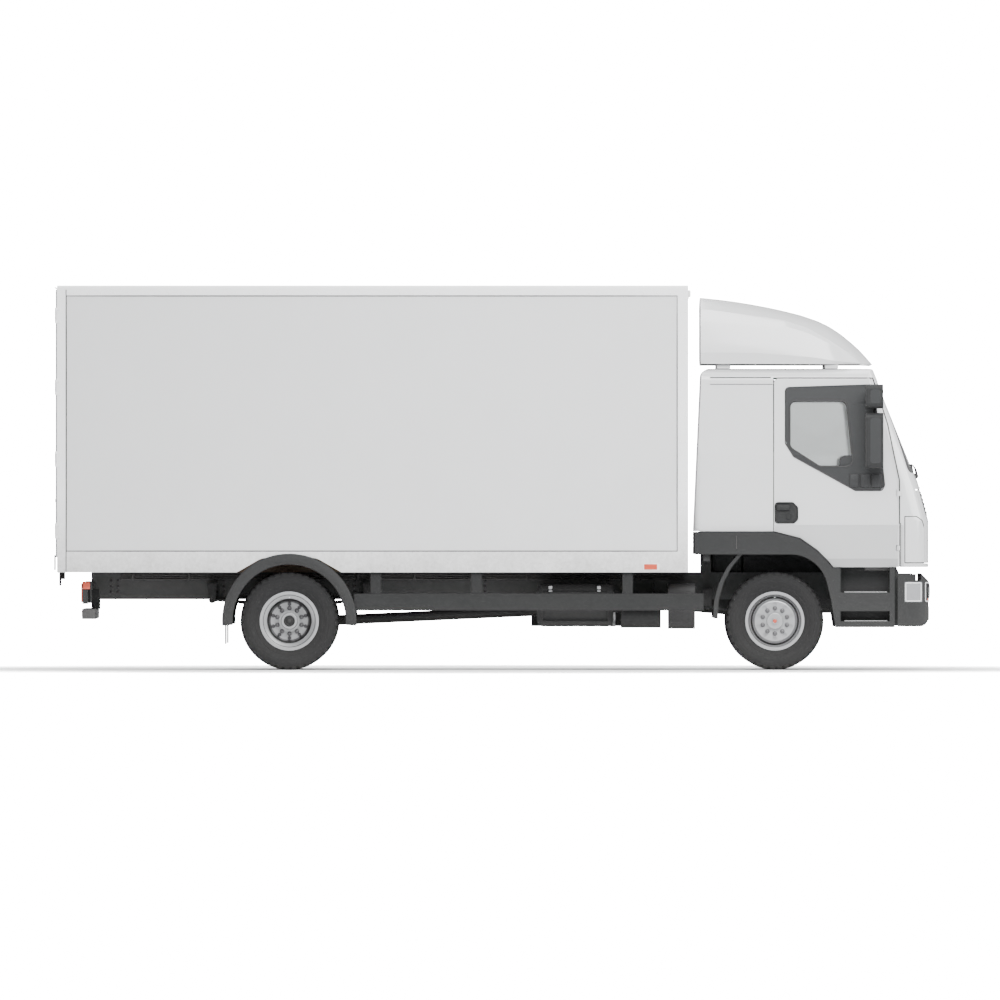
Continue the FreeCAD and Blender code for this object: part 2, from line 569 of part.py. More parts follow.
def make_knuckle():
    """Steered knuckle: a fork on the kingpin, the wheel's spindle and the steering arm."""
    pin_y = kingpin_y
    eye_half = d.kingpin_eye_height / 2
    plate_y = pin_y + d.knuckle_plate_inset
    plate_end = plate_y + d.knuckle_plate
    lug_out = eye_half + d.knuckle_lug_height
    pieces = [rod("kingpin", d.kingpin_radius, front_x, pin_y, (axle_z - lug_out, axle_z + lug_out))]
    for name, low, high in (("upper", eye_half + d.seat_gap, lug_out),
                            ("lower", -lug_out, -eye_half - d.seat_gap)):
        span = (axle_z + low, axle_z + high)
        pieces.append(rod(name + "_lug", d.knuckle_lug_radius, front_x, pin_y, span))
        pieces.append(box(name + "_lug_web", (front_x - d.knuckle_lug_radius, front_x + d.knuckle_lug_radius),
                          (pin_y, plate_end), span))
    pieces.append(box("knuckle_plate", (front_x - d.knuckle_lug_radius, front_x + d.knuckle_lug_radius),
                      (plate_y, plate_end), (axle_z - lug_out, axle_z + lug_out)))
    pieces.append(rod("backing_plate", d.backing_radius, front_x, (plate_end, plate_end + d.backing_wall),
                      axle_z))
    spindle_end = (front_tyre_y + d.front_disc_face + d.front_hub_nose - d.hub_end_wall - d.spindle_end_gap)
    pieces.append(rod("spindle", d.spindle_radius, front_x, (plate_y, spindle_end), axle_z))
    arm_top = axle_z - eye_half - d.seat_gap
    pieces.append(box("steering_arm", (front_x - d.steer_arm_length, front_x),
                      both_sides_of(pin_y, d.steer_arm_width / 2), (arm_top - d.steer_arm_height, arm_top)))
    pieces.append(rod("steering_arm_end", d.steer_arm_width / 2, front_x - d.steer_arm_length, pin_y,
                      (arm_top - d.steer_arm_height, arm_top)))
    pieces.append(rod("track_pin", d.track_pin_radius, front_x - d.steer_arm_length, pin_y,
                      (track_rod_z() - d.track_eye_height / 2, arm_top)))
    node_pair("knuckle", fuse("knuckle", *pieces))


def both_sides_of(middle, half):
    """A span centred on a place."""
    return (middle - half, middle + half)


def track_rod_z():
    """Height of the track rod below the steering arms."""
    return axle_z - d.kingpin_eye_height / 2 - d.track_rod_drop


def make_track_rod():
    """Rod that joins the two steering arms behind the front axle."""
    x = front_x - d.steer_arm_length
    z = track_rod_z()
    eyes, bores = [], []
    for name, y in (("left", kingpin_y), ("right", -kingpin_y)):
        eye_span = both_sides_of(z, d.track_eye_height / 2)
        eyes.append(rod(name + "_track_eye", d.track_eye_radius, x, y, eye_span))
        bores.append(rod(name + "_track_bore", d.track_pin_radius + d.seat_gap, x, y,
                         both_sides_of(z, d.track_eye_height)))
    bar = rod("track_bar", d.track_rod_radius, x, both_sides(kingpin_y), z)
    node("track_rod", cut("track_rod", fuse("track_rod_body", bar, *eyes), *bores))


def make_front_axle():
    """Dropped I-section beam with a kingpin eye at each end."""
    top = d.beam_top_z
    low = top - d.beam_height
    eye_low = axle_z - d.kingpin_eye_height / 2
    eye_top = axle_z + d.kingpin_eye_height / 2
    neck = kingpin_y - d.beam_neck_width
    reach = kingpin_y - d.kingpin_radius
    half = [(d.beam_flat_half_width, low), (neck, eye_low), (reach, eye_low), (reach, eye_top),
            (neck, eye_top), (d.beam_flat_half_width, top)]
    corners = [(-y, z) for y, z in half] + [(y, z) for y, z in reversed(half)]
    span = both_sides_of(front_x, d.beam_depth / 2)
    beam = prism("axle_beam", "x", corners, *span)
    tools, eyes = [], []
    for way, name in ((1, "front"), (-1, "rear")):
        face = front_x + d.beam_depth / 2 * way
        tools.append(box("beam_%s_channel" % name, (front_x + d.beam_web / 2 * way, face + d.overrun * way),
                         both_sides(d.beam_flat_half_width), (low + d.beam_flange, top - d.beam_flange)))
    for name, y in (("left", kingpin_y), ("right", -kingpin_y)):
        eyes.append(rod(name + "_kingpin_eye", d.kingpin_eye_radius, front_x, y, (eye_low, eye_top)))
        tools.append(rod(name + "_kingpin_bore", d.kingpin_radius + d.seat_gap, front_x, y,
                         (eye_low - d.overrun, eye_top + d.overrun)))
    for name, way in (("front", 1), ("rear", -1)):
        for side_name, side in (("left", 1), ("right", -1)):
            tools.append(box("neck_%s_%s" % (name, side_name),
                             (front_x + d.kingpin_eye_radius * way,
                              front_x + (d.beam_depth + d.overrun) * way),
                             (side * (kingpin_y - d.knuckle_lug_radius - d.beam_flange),
                              side * (kingpin_y + d.overrun)),
                             (eye_low - d.overrun, eye_top + d.overrun)))
    node("front_axle", cut("front_axle", fuse("axle_beam_body", beam, *eyes), *tools))


def make_rear_axle():
    """Drive axle: tubes, differential housing with its nose, spindles and spring pads."""
    drum_start = d.twin_middle - d.disc_wall - d.rear_drum_length
    spindle_end = d.twin_middle + d.rear_hub_nose + d.rear_cap_height - d.hub_end_wall - d.spindle_end_gap
    housing = d.differential_half_width
    radius = d.differential_radius
    end_radius = radius * HOUSING_END_SHARE
    shell = turned("differential", [(-housing, 0), (-housing, end_radius, d.differential_half_width / 2),
                                    (-housing / 3, radius, d.differential_half_width / 4),
                                    (housing / 3, radius, d.differential_half_width / 4),
                                    (housing, end_radius, d.differential_half_width / 2), (housing, 0)],
                   rear_x, axle_z)
    nose = rod("differential_nose", d.differential_nose_radius,
               (rear_x, rear_x + d.differential_nose_length), 0, axle_z)
    tube = rod("axle_tube", d.rear_axle_tube_radius, rear_x, both_sides(drum_start - d.rear_axle_tube_gap),
               axle_z)
    spindle = rod("rear_spindle", d.rear_spindle_radius, rear_x, both_sides(spindle_end), axle_z)
    pieces = [shell, nose, tube, spindle]
    for name, side in (("left", 1), ("right", -1)):
        low = (spring_y()[0]) * side
        high = (spring_y()[1]) * side
        pieces.append(box(name + "_spring_pad", both_sides_of(rear_x, d.spring_seat_length / 2), (low, high),
                          (axle_z, axle_z + d.rear_axle_tube_radius + d.rear_spring_pad)))
    node("rear_axle", fuse("rear_axle", *pieces))


def spring_y():
    """Where a spring lies beside its frame rail."""
    inner = d.frame_half_width + d.spring_inner_gap
    return (inner, inner + d.spring_width)


def leaf_spring(name, x, seat_z, half, rise):
    """Bowed leaf pack with rolled eyes, and the two hangers that hold it to the rail."""
    low, high = spring_y()
    thick = d.spring_thickness
    seat = d.spring_seat_length / 2
    reach = half - d.spring_eye_radius
    top_reach, top_rise = SPRING_TOP_SHARES
    low_reach, low_rise = SPRING_LOW_SHARES
    top_z = seat_z + thick
    leaf_z = top_z - d.spring_leaf
    pack = prism(name + "_pack", "y", [
        (x - seat, seat_z), (x + seat, seat_z), (x + reach * low_reach, leaf_z + rise * low_rise),
        (x + reach, leaf_z + rise), (x + reach, top_z + rise),
        (x + reach * top_reach, top_z + rise * top_rise),
        (x + seat, top_z), (x - seat, top_z), (x - reach * top_reach, top_z + rise * top_rise),
        (x - reach, top_z + rise), (x - reach, leaf_z + rise),
        (x - reach * low_reach, leaf_z + rise * low_rise)],
        low, high)
    pieces = [pack]
    for way in (-1, 1):
        end = x + reach * way
        eye_z = top_z + rise - d.spring_leaf / 2
        pieces.append(rod("%s_eye_%d" % (name, way), d.spring_eye_radius, end, (low, high), eye_z))
        pieces.append(prism("%s_hanger_%d" % (name, way), "y", [
            (end - d.hanger_length / 2, eye_z + d.hanger_height),
            (end + d.hanger_length / 2, eye_z + d.hanger_height),
            (end + d.spring_eye_radius, eye_z), (end - d.spring_eye_radius, eye_z)],
            d.frame_half_width, high + d.hanger_wall))
    return fuse(name, *pieces)


def make_springs():
    """Leaf springs of both axles."""
    front = leaf_spring("front_spring", front_x, d.beam_top_z, d.front_spring_half, d.front_spring_rise)
    rear = leaf_spring("rear_spring", rear_x, axle_z + d.rear_axle_tube_radius + d.rear_spring_pad,
                       d.rear_spring_half, d.rear_spring_rise)
    node_both("leaf_springs", group("left_springs", front, rear))


def make_frame():
    """Ladder frame: two channel rails, cross members, tow plate, cab rests and the cab's hinge pins."""
    low, top = d.frame_bottom_z, frame_top_z
    half, web, flange = d.frame_half_width, rail_web_y, d.frame_half_width - d.rail_flange
    rail = prism("rail", "x", [(flange, low), (half, low), (half, top), (flange, top),
                               (flange, top - d.rail_wall),
                               (web, top - d.rail_wall), (web, low + d.rail_wall),
                               (flange, low + d.rail_wall)],
                 -d.frame_rear_x, d.frame_front_x)
    pieces = [rail, mirrored("rail_mirror", rail)]
    length = d.frame_rear_x + d.frame_front_x
    for i, share in enumerate(MEMBER_SHARES):
        start = length * share - d.frame_rear_x
        member_low = low + d.member_inset
        member_top = top - d.member_inset
        if share == MEMBER_SHARES[-1]:
            member_top = low + d.member_depth
        pieces.append(prism("member_%d" % i, "y", [
            (start, member_low), (start + d.member_depth, member_low),
            (start + d.member_depth, member_low + d.member_wall),
            (start + d.tow_plate_wall, member_low + d.member_wall),
            (start + d.tow_plate_wall, member_top - d.member_wall),
            (start + d.member_depth, member_top - d.member_wall), (start + d.member_depth, member_top),
            (start, member_top)], -web, web))
    for name, side in (("left", 1), ("right", -1)):
        outer = half * side
        inner = (half - d.tilt_plate_wall) * side
        pivot_x, pivot_z = d.tilt_pivot_x, d.tilt_pivot_z
        pieces.append(box(name + "_tilt_plate", (pivot_x - d.tilt_plate_length, pivot_x + d.tilt_eye_radius),
                          (inner, outer), (low, pivot_z + d.tilt_eye_radius * 1.5)))
        pieces.append(rod(name + "_tilt_pin", d.tilt_pin_radius, pivot_x,
                          (inner, (half + d.panel_gap * 2 + d.tilt_arm_wall) * side), pivot_z))
        rest_low = (half - d.cab_rest_width) * side
        pieces.append(box(name + "_cab_rest", both_sides_of(d.cab_rest_x, d.cab_rest_length / 2),
                          (rest_low, outer),
                          (top, d.cab_waist_z - d.seat_gap)))
    body = fuse("frame_body", *pieces)
    holes = []
    middle_z = low + d.frame_height / 2
    for i, (y_way, z_way) in enumerate(((1, 1), (1, -1), (-1, 1), (-1, -1))):
        holes.append(rod("tow_hole_%d" % i, d.tow_hole_radius,
                         (-d.frame_rear_x - d.overrun, -d.frame_rear_x + d.tow_plate_wall + d.overrun),
                         d.tow_hole_spacing_y / 2 * y_way, middle_z + d.tow_hole_spacing_z / 2 * z_way))
    node("frame", cut("frame", body, *holes))


def make_engine():
    """Engine with its gearbox and radiator, as plain closed blocks on their feet."""
    half = d.engine_half_width
    sump, waist = (half * share for share in ENGINE_WIDTH_SHARES)
    shoulder_z = d.frame_bottom_z + d.engine_foot_height * 2
    block = prism("engine_block", "x", [
        (-sump, d.engine_bottom_z), (sump, d.engine_bottom_z), (waist, d.frame_bottom_z), (half, shoulder_z),
        (half, d.engine_top_z, d.tank_round), (-half, d.engine_top_z, d.tank_round), (-half, shoulder_z),
        (-waist, d.frame_bottom_z)], d.engine_rear_x, d.engine_front_x)
    gearbox = prism("gearbox", "y", [
        (d.gearbox_rear_x, d.gearbox_bottom_z + d.tank_round),
        (d.engine_rear_x, d.gearbox_bottom_z, d.tank_round),
        (d.engine_rear_x + d.overrun, d.gearbox_bottom_z), (d.engine_rear_x + d.overrun, d.gearbox_top_z),
        (d.engine_rear_x, d.gearbox_top_z, d.tank_round),
        (d.gearbox_rear_x, d.gearbox_top_z - d.tank_round * 2)],
        -d.gearbox_half_width, d.gearbox_half_width)
    radiator = box("radiator", (d.radiator_front_x - d.radiator_depth, d.radiator_front_x),
                   both_sides(d.radiator_half_width), (d.frame_bottom_z + d.member_depth, d.radiator_top_z))
    pipe = rod("radiator_pipe", d.radiator_pipe_radius,
               (d.engine_front_x, d.radiator_front_x - d.radiator_depth),
               0, d.engine_top_z - d.radiator_pipe_radius * 2)
    foot_z = d.frame_bottom_z + d.engine_foot_height * 1.5
    pieces = [block, gearbox, radiator, pipe]
    for i, x in enumerate((d.engine_front_x - d.engine_foot_length * 2,
                           d.engine_rear_x + d.engine_foot_length)):
        pieces.append(box("engine_foot_%d" % i, (x, x + d.engine_foot_length), both_sides(rail_web_y),
                          (foot_z, foot_z + d.engine_foot_height)))
    node("engine", fuse("engine", *pieces))


def make_prop_shaft():
    """Drive shaft from the gearbox back to the differential's nose."""
    start = (rear_x + d.differential_nose_length, 0, axle_z)
    end = (d.gearbox_rear_x, 0, d.shaft_front_z)
    flanges = [rod("rear_shaft_flange", d.shaft_flange_radius, (start[0], start[0] + d.shaft_flange_wall),
                   0, axle_z),
               rod("front_shaft_flange", d.shaft_flange_radius, (end[0] - d.shaft_flange_wall, end[0]), 0,
                   d.shaft_front_z)]
    tube = strut("shaft_tube", d.shaft_radius, (start[0] + d.shaft_flange_wall / 2, 0, axle_z),
                 (end[0] - d.shaft_flange_wall / 2, 0, d.shaft_front_z))
    node("prop_shaft", fuse("prop_shaft", tube, *flanges))


def hypotenuse(a, b):
    """Length of the line across a right angle."""
    return Size(math.hypot(number(a), number(b)), "sqrt(%s ^ 2 + %s ^ 2)" % (words(a), words(b)))


def side_brackets(name, xs, reach, z):
    """Flat brackets from the left rail's outer face out to a tank or box."""
    return [box("%s_bracket_%d" % (name, i), (x, x + d.bracket_wall), (d.frame_half_width, reach),
                (z, z + d.bracket_height)) for i, x in enumerate(xs)]


def rounded_box(name, x, y, z, radius):
    """Block along X with rounded long edges."""
    (y0, y1), (z0, z1) = ordered(y), ordered(z)
    return prism(name, "x", [(y0, z0, radius), (y1, z0, radius), (y1, z1, radius), (y0, z1, radius)],
                 *ordered(x))


def make_side_equipment():
    """Fuel tank on the left; battery box, air tanks and silencer on the right."""
    tank_x = (d.tank_front_x - d.tank_length, d.tank_front_x)
    tank_y = (d.tank_inner_y, d.tank_inner_y + d.tank_width)
    tank_z = (d.tank_bottom_z, d.tank_bottom_z + d.tank_height)
    tank = rounded_box("tank_shell", tank_x, tank_y, tank_z, d.tank_round)
    neck = rod("tank_neck", d.tank_strap, tank_x[1] - d.tank_round * 2, tank_y[1] - d.tank_round * 2,
               (tank_z[0], tank_z[1] + d.tank_strap))
    brackets = side_brackets("tank", (tank_x[0] + d.tank_round * 2, tank_x[1] - d.tank_round * 3),
                             tank_y[0] + d.tank_round, frame_top_z - d.bracket_height * 2)
    node("fuel_tank", fuse("fuel_tank", tank, neck, *brackets))

    battery_x = (d.battery_rear_x, d.battery_rear_x + d.battery_length)
    battery = rounded_box("battery_shell", battery_x,
                          (d.battery_inner_y, d.battery_inner_y + d.battery_width),
                          (d.battery_bottom_z, d.battery_bottom_z + d.battery_height), d.tank_round / 4)
    lid = box("battery_lid", battery_x, both_sides_of(d.battery_inner_y + d.battery_width / 2,
                                                      d.battery_width / 2 + d.bracket_wall),
              (d.battery_bottom_z + d.battery_height - d.tank_strap, d.battery_bottom_z + d.battery_height))
    brackets = side_brackets("battery", (battery_x[0] + d.tank_round, battery_x[1] - d.tank_round),
                             d.battery_inner_y + d.tank_round, d.frame_bottom_z + d.bracket_wall)
    node("battery_box", mirrored("battery_mirror", fuse("battery_body", battery, lid, *brackets)))

    air_x = (d.air_tank_rear_x, d.air_tank_rear_x + d.air_tank_length)
    tanks = []
    for i, y in enumerate((d.air_tank_y, d.air_tank_y + d.air_tank_radius * 2 - d.bracket_wall)):
        tanks.append(rod("air_tank_%d" % i, d.air_tank_radius, air_x, y, d.air_tank_z))
    for i, x in enumerate((air_x[0] + d.tank_round, air_x[1] - d.tank_round)):
        tanks.append(box("air_bracket_%d" % i, (x, x + d.bracket_wall), (d.frame_half_width, d.air_tank_y),
                         (d.air_tank_z + d.air_tank_radius / 2, frame_top_z - d.bracket_height)))
    node("air_tanks", mirrored("air_mirror", fuse("air_body", *tanks)))

    silencer_x = (d.silencer_rear_x, d.silencer_rear_x + d.silencer_length)
    silencer = rounded_box("silencer_shell", silencer_x,
                           (d.silencer_inner_y, d.silencer_inner_y + d.silencer_width),
                           (d.silencer_bottom_z, d.silencer_bottom_z + d.silencer_height), d.tank_round)
    brackets = side_brackets("silencer", (silencer_x[0] + d.tank_strap, silencer_x[1] - d.tank_strap),
                             d.silencer_inner_y + d.tank_round, d.frame_bottom_z + d.bracket_wall)
    node("silencer", mirrored("silencer_mirror", fuse("silencer_body", silencer, *brackets)))


def make_side_guards():
    """Two-rail guard panels between the axles, on posts that hang from the load floor's bearers."""
    outer = d.box_half_width - d.guard_set
    inner = outer - d.guard_wall
    panel = prism("guard_panel", "x", [
        (inner, d.guard_bottom_z, d.bracket_wall / 2), (outer, d.guard_bottom_z, d.bracket_wall / 2),
        (outer, d.guard_top_z, d.bracket_wall / 2), (inner, d.guard_top_z, d.bracket_wall / 2)],
        -d.guard_rear_x, d.guard_front_x)
    groove = box("guard_groove", (-d.guard_rear_x + d.guard_wall, d.guard_front_x - d.guard_wall),
                 (inner - d.overrun, outer - d.bracket_wall),
                 (d.guard_bottom_z + d.guard_wall, d.guard_top_z - d.guard_wall))
    pieces = [cut("guard_tray", panel, groove)]
    for i in GUARD_POST_BEARERS:
        pieces.append(box("guard_post_%d" % i, both_sides_of(bearer_x(i), d.guard_post_width / 2),
                          (inner - d.bracket_wall, outer - d.bracket_wall), (d.guard_bottom_z + d.guard_wall,
                                                                             bearer_bottom_z())))
    node_both("side_guards", fuse("side_guard", *pieces))


def bearer_x(i):
    """Middle of a cross bearer, counted from the front."""
    return d.box_front_x - d.box_wall - d.bearer_width - d.bearer_pitch * i


def bearer_bottom_z():
    """Underside of the load floor's cross bearers."""
    return d.rave_top_z - d.floor_wall - d.bearer_height


def make_underrun():
    """Rear underrun bar, a closed tube on two plates from the frame rails."""
    x = (-d.underrun_rear_x, -d.underrun_rear_x + d.underrun_depth)
    z = (d.underrun_bottom_z, d.underrun_bottom_z + d.underrun_height)
    half = d.underrun_half_width
    bar = box("underrun_shell", x, both_sides(half), z)
    wall = d.underrun_wall
    hollow = box("underrun_hollow", (x[0] + wall, x[1] - wall), both_sides(half + d.overrun),
                 (z[0] + wall, z[1] - wall))
    plate_x = (-d.frame_rear_x, -d.frame_rear_x + d.underrun_bracket_length)
    pieces = [cut("underrun_tube", bar, hollow)]
    for name, side in (("left", 1), ("right", -1)):
        pieces.append(box(name + "_underrun_plate", plate_x,
                          (d.frame_half_width * side, (d.frame_half_width + d.bracket_wall) * side),
                          (z[1] - wall, d.frame_bottom_z + d.bracket_height)))
    node("underrun_bar", fuse("underrun_bar", *pieces))


def make_tail_lamps():
    """Tail lamp boxes on a bar behind the frame's rear end."""
    z = (d.lamp_bottom_z, d.lamp_bottom_z + d.lamp_height)
    y = (d.lamp_inner_y, d.lamp_inner_y + d.lamp_width)
    x = (-d.lamp_rear_x, -d.lamp_rear_x + d.lamp_depth)
    lamp = rounded_box("tail_lamp_shell", x, y, z, d.bracket_wall)
    bar_z = both_sides_of(d.frame_bottom_z + d.frame_height / 2, d.lamp_bar_height / 2)
    bar = box("tail_lamp_bar", (x[1], x[1] + d.lamp_bar_depth), (d.frame_half_width, y[1]),
              (bar_z[0], z[1]))
    node_both("tail_lamps", fuse("tail_lamp", lamp, bar))


def make_rear_mudguards():
    """Half-round guards over the twin wheels, with a hanging flap behind and stays to the rails."""
    radius = d.rear_guard_radius
    outer_y, inner_y = d.box_half_width - d.rear_guard_set, d.rear_guard_inner_y
    ring = turned("guard_ring", [(inner_y, radius), (outer_y, radius), (outer_y, radius - d.rear_guard_lip),
                                 (outer_y + d.rear_guard_wall, radius - d.rear_guard_lip),
                                 (outer_y + d.rear_guard_wall, radius + d.rear_guard_wall),
                                 (inner_y, radius + d.rear_guard_wall)], rear_x, axle_z)
    reach = radius + d.overrun
    under = box("guard_under", both_sides_of(rear_x, reach), (inner_y - d.overrun, outer_y + d.overrun * 2),
                (axle_z - reach, d.rear_guard_foot_z))
    arch = cut("guard_arch", ring, under)
    flap_x = rear_x - radius
    flap = box("mud_flap", (flap_x - d.rear_guard_wall, flap_x), (inner_y, outer_y),
               (d.rear_guard_foot_z - d.flap_height, d.rear_guard_foot_z + d.rear_guard_lip))
    pieces = [arch, flap]
    mid = radius + d.rear_guard_wall / 2
    for i, way in enumerate((-1, 1)):
        stay_z = axle_z + Size(math.sqrt(number(mid) ** 2 - number(d.stay_x) ** 2),
                               "sqrt(%s ^ 2 - %s ^ 2)" % (words(mid), words(d.stay_x)))
        pieces.append(rod("guard_stay_%d" % i, d.stay_radius, rear_x + d.stay_x * way,
                          (d.frame_half_width, inner_y + d.rear_guard_lip), stay_z + d.stay_radius))
    node_both("rear_mudguards", fuse("rear_mudguard", *pieces))


def make_box_floor():
    """Load floor panel on cross bearers and two long runners."""
    inner = d.box_half_width - d.box_wall
    top = d.rave_top_z
    low = top - d.floor_wall
    start = -(d.box_rear_x - d.rear_frame_depth)
    pieces = [box("floor_panel", (start, d.box_front_x - d.box_wall), both_sides(inner), (low, top))]
    for i in range(int(SIZES["bearer_count"])):
        x = bearer_x(i)
        if abs(number(x - rear_x)) < SIZES["bearer_clear"]:
            continue
        pieces.append(box("bearer_%d" % i, both_sides_of(x, d.bearer_width / 2), both_sides(inner),
                          (bearer_bottom_z(), low)))
    for name, side in (("left", 1), ("right", -1)):
        pieces.append(box(name + "_runner", (-d.frame_rear_x, d.box_front_x - d.box_wall),
                          ((d.frame_half_width - d.rail_flange) * side, d.frame_half_width * side),
                          (frame_top_z, low)))
    node("box_floor", fuse("box_floor", *pieces))


def make_box_walls():
    """Load box: a frame round each side, side panels, front wall, roof and the rear door frame."""
    outer = d.box_half_width
    inner = outer - d.box_wall
    rear = -(d.box_rear_x - d.rear_frame_depth)
    front = d.box_front_x
    low, floor_z, top = d.rave_bottom_z, d.rave_top_z, d.box_top_z
    rail_z = top - d.cant_rail_height
    post_x = front - d.front_post_width
    half = d.rave_arch_half
    shoulder = d.rave_arch_shoulder
    rave = prism("rave", "y", [
        (rear, low), (rear_x - half, low), (rear_x - shoulder, d.rave_arch_shoulder_z, d.rave_arch_round),
        (rear_x + shoulder, d.rave_arch_shoulder_z, d.rave_arch_round), (rear_x + half, low), (front, low),
        (front, floor_z), (rear, floor_z)], inner, outer)
    cant_rail = prism("cant_rail", "x", [(inner, rail_z), (outer, rail_z), (outer, top, d.box_edge_round),
                                         (inner, top)],
                      rear, front)
    post = box("front_post", (post_x, front), (inner, outer), (floor_z, rail_z))
    node_both("box_side_frames", fuse("box_side_frame", rave, cant_rail, post))
    panel = box("side_panel", (rear, post_x), (inner, outer - d.panel_recess), (floor_z, rail_z))
    node_both("box_sides", panel)
    roof_low = top - d.box_wall
    node("box_roof", box("box_roof", (rear, front), both_sides(inner), (roof_low, top)))
    node("box_front_wall", box("box_front_wall", (front - d.box_wall, front), both_sides(inner),
                               (floor_z - d.floor_wall, roof_low)))
    frame_x = (-d.box_rear_x, rear)
    post_y = outer - d.rear_post_width
    portal = prism("portal", "x", [(-outer, low), (outer, low), (outer, top, d.box_edge_round),
                                   (-outer, top, d.box_edge_round)], *frame_x)
    doorway = box("doorway", (frame_x[0] - d.overrun, rear + d.overrun), both_sides(post_y),
                  (floor_z, top - d.header_height))
    lugs = []
    for i, share in enumerate(DOOR_HINGE_SHARES):
        lugs.extend(hinge_lugs("frame_lug_%d" % i, door_hinge_z(share)))
    node("box_rear_frame", cut("box_rear_frame", fuse("portal_body", portal, *lugs), doorway))


def door_hinge_z(share):
    """Height of a load door's hinge."""
    return d.rave_top_z + (d.box_top_z - d.header_height - d.rave_top_z) * share


def door_axis():
    """Place of the left load door's hinge line."""
    return (-(d.box_rear_x + d.door_hinge_out), d.box_half_width + d.door_hinge_out)


def hinge_lugs(name, z):
    """Fixed hinge ears above and below a door blade, with the pin through them, on both sides."""
    axis_x, axis_y = door_axis()
    half = d.door_blade_height / 2
    ear = d.door_blade_height / 4
    pieces = []
    for side_name, side in (("left", 1), ("right", -1)):
        label = "%s_%s" % (name, side_name)
        y = axis_y * side
        pieces.append(rod(label + "_pin", d.door_pin_radius, axis_x, y, both_sides_of(z, half + ear)))
        for i, (low, high) in enumerate(((half, half + ear), (-half - ear, -half))):
            gap = d.seat_gap if i == 0 else -d.seat_gap
            span = (z + low + gap, z + high + gap)
            pieces.append(rod("%s_ear_%d" % (label, i), d.door_barrel_radius, axis_x, y, span))
            pieces.append(box("%s_web_%d" % (label, i), (axis_x, axis_x + d.door_hinge_out * 4),
                              (d.box_half_width * side, y), span))
    return pieces


def make_load_doors():
    """Two rear doors hinged at the posts' outer corners, with strap hinges and lock rods."""
    axis_x, axis_y = door_axis()
    leaf_x = (-d.box_rear_x + d.leaf_rear_gap, -d.box_rear_x + d.leaf_rear_gap + d.leaf_wall)
    leaf_y = (d.door_clear, d.box_half_width - d.rear_post_width - d.door_clear)
    low = d.rave_top_z + d.panel_gap
    top = d.box_top_z - d.header_height - d.panel_gap
    pieces = [box("door_leaf", leaf_x, leaf_y, (low, top))]
    bores = []
    blade = d.door_blade_wall / 2
    for i, share in enumerate(DOOR_HINGE_SHARES):
        span = both_sides_of(door_hinge_z(share), d.door_blade_height / 2)
        pieces.append(rod("blade_barrel_%d" % i, d.door_barrel_radius, axis_x, axis_y, span))
        pieces.append(box("blade_%d" % i, (axis_x - blade, axis_x + blade),
                          (axis_y - d.door_blade_length, axis_y), span))
        pieces.append(box("blade_pad_%d" % i, (axis_x, leaf_x[0]), (axis_y - d.door_blade_length,
                                                                  leaf_y[1] - d.panel_gap), span))
        bores.append(rod("blade_bore_%d" % i, d.door_pin_radius + d.seat_gap, axis_x, axis_y,
                         (span[0] - d.overrun / 4, span[1] + d.overrun / 4)))
    node_pair("rear_door", cut("rear_door", fuse("rear_door_body", *pieces), *bores))

    rod_x = -d.box_rear_x - d.lock_rod_clear - d.lock_rod_radius
    y = d.lock_rod_y
    bars = [rod("lock_rod", d.lock_rod_radius, rod_x, y, (low - d.lock_rod_reach, top + d.lock_rod_reach))]
    for i, share in enumerate(LOCK_GUIDE_SHARES):
        z = door_hinge_z(share)
        bars.append(box("lock_guide_%d" % i, (rod_x, leaf_x[0]), both_sides_of(y, d.lock_guide_width / 2),
                        both_sides_of(z, d.lock_guide_height / 2)))
    bars.append(box("lock_handle", (rod_x - d.lock_rod_radius, rod_x), (y, y + d.lock_handle_length),
                    both_sides_of(d.lock_handle_z, d.lock_handle_height / 2)))
    bars.append(box("lock_catch", (rod_x, leaf_x[0]), (y + d.lock_handle_length - d.lock_guide_width,
                                                      y + d.lock_handle_length),
                    both_sides_of(d.lock_handle_z, d.lock_guide_height / 2)))
    node_pair("lock_bars", fuse("lock_bars", *bars))


def arch_edge(gap):
    """The cab's lower edge over the front wheel, rear to front; the gap moves it in for the arch."""
    height = d.cab_waist_z - d.cab_bottom_z
    return [(front_x + d.arch_reach * x - gap, d.cab_bottom_z + height * z - gap) for x,
            z in ARCH_EDGE_SHARES]


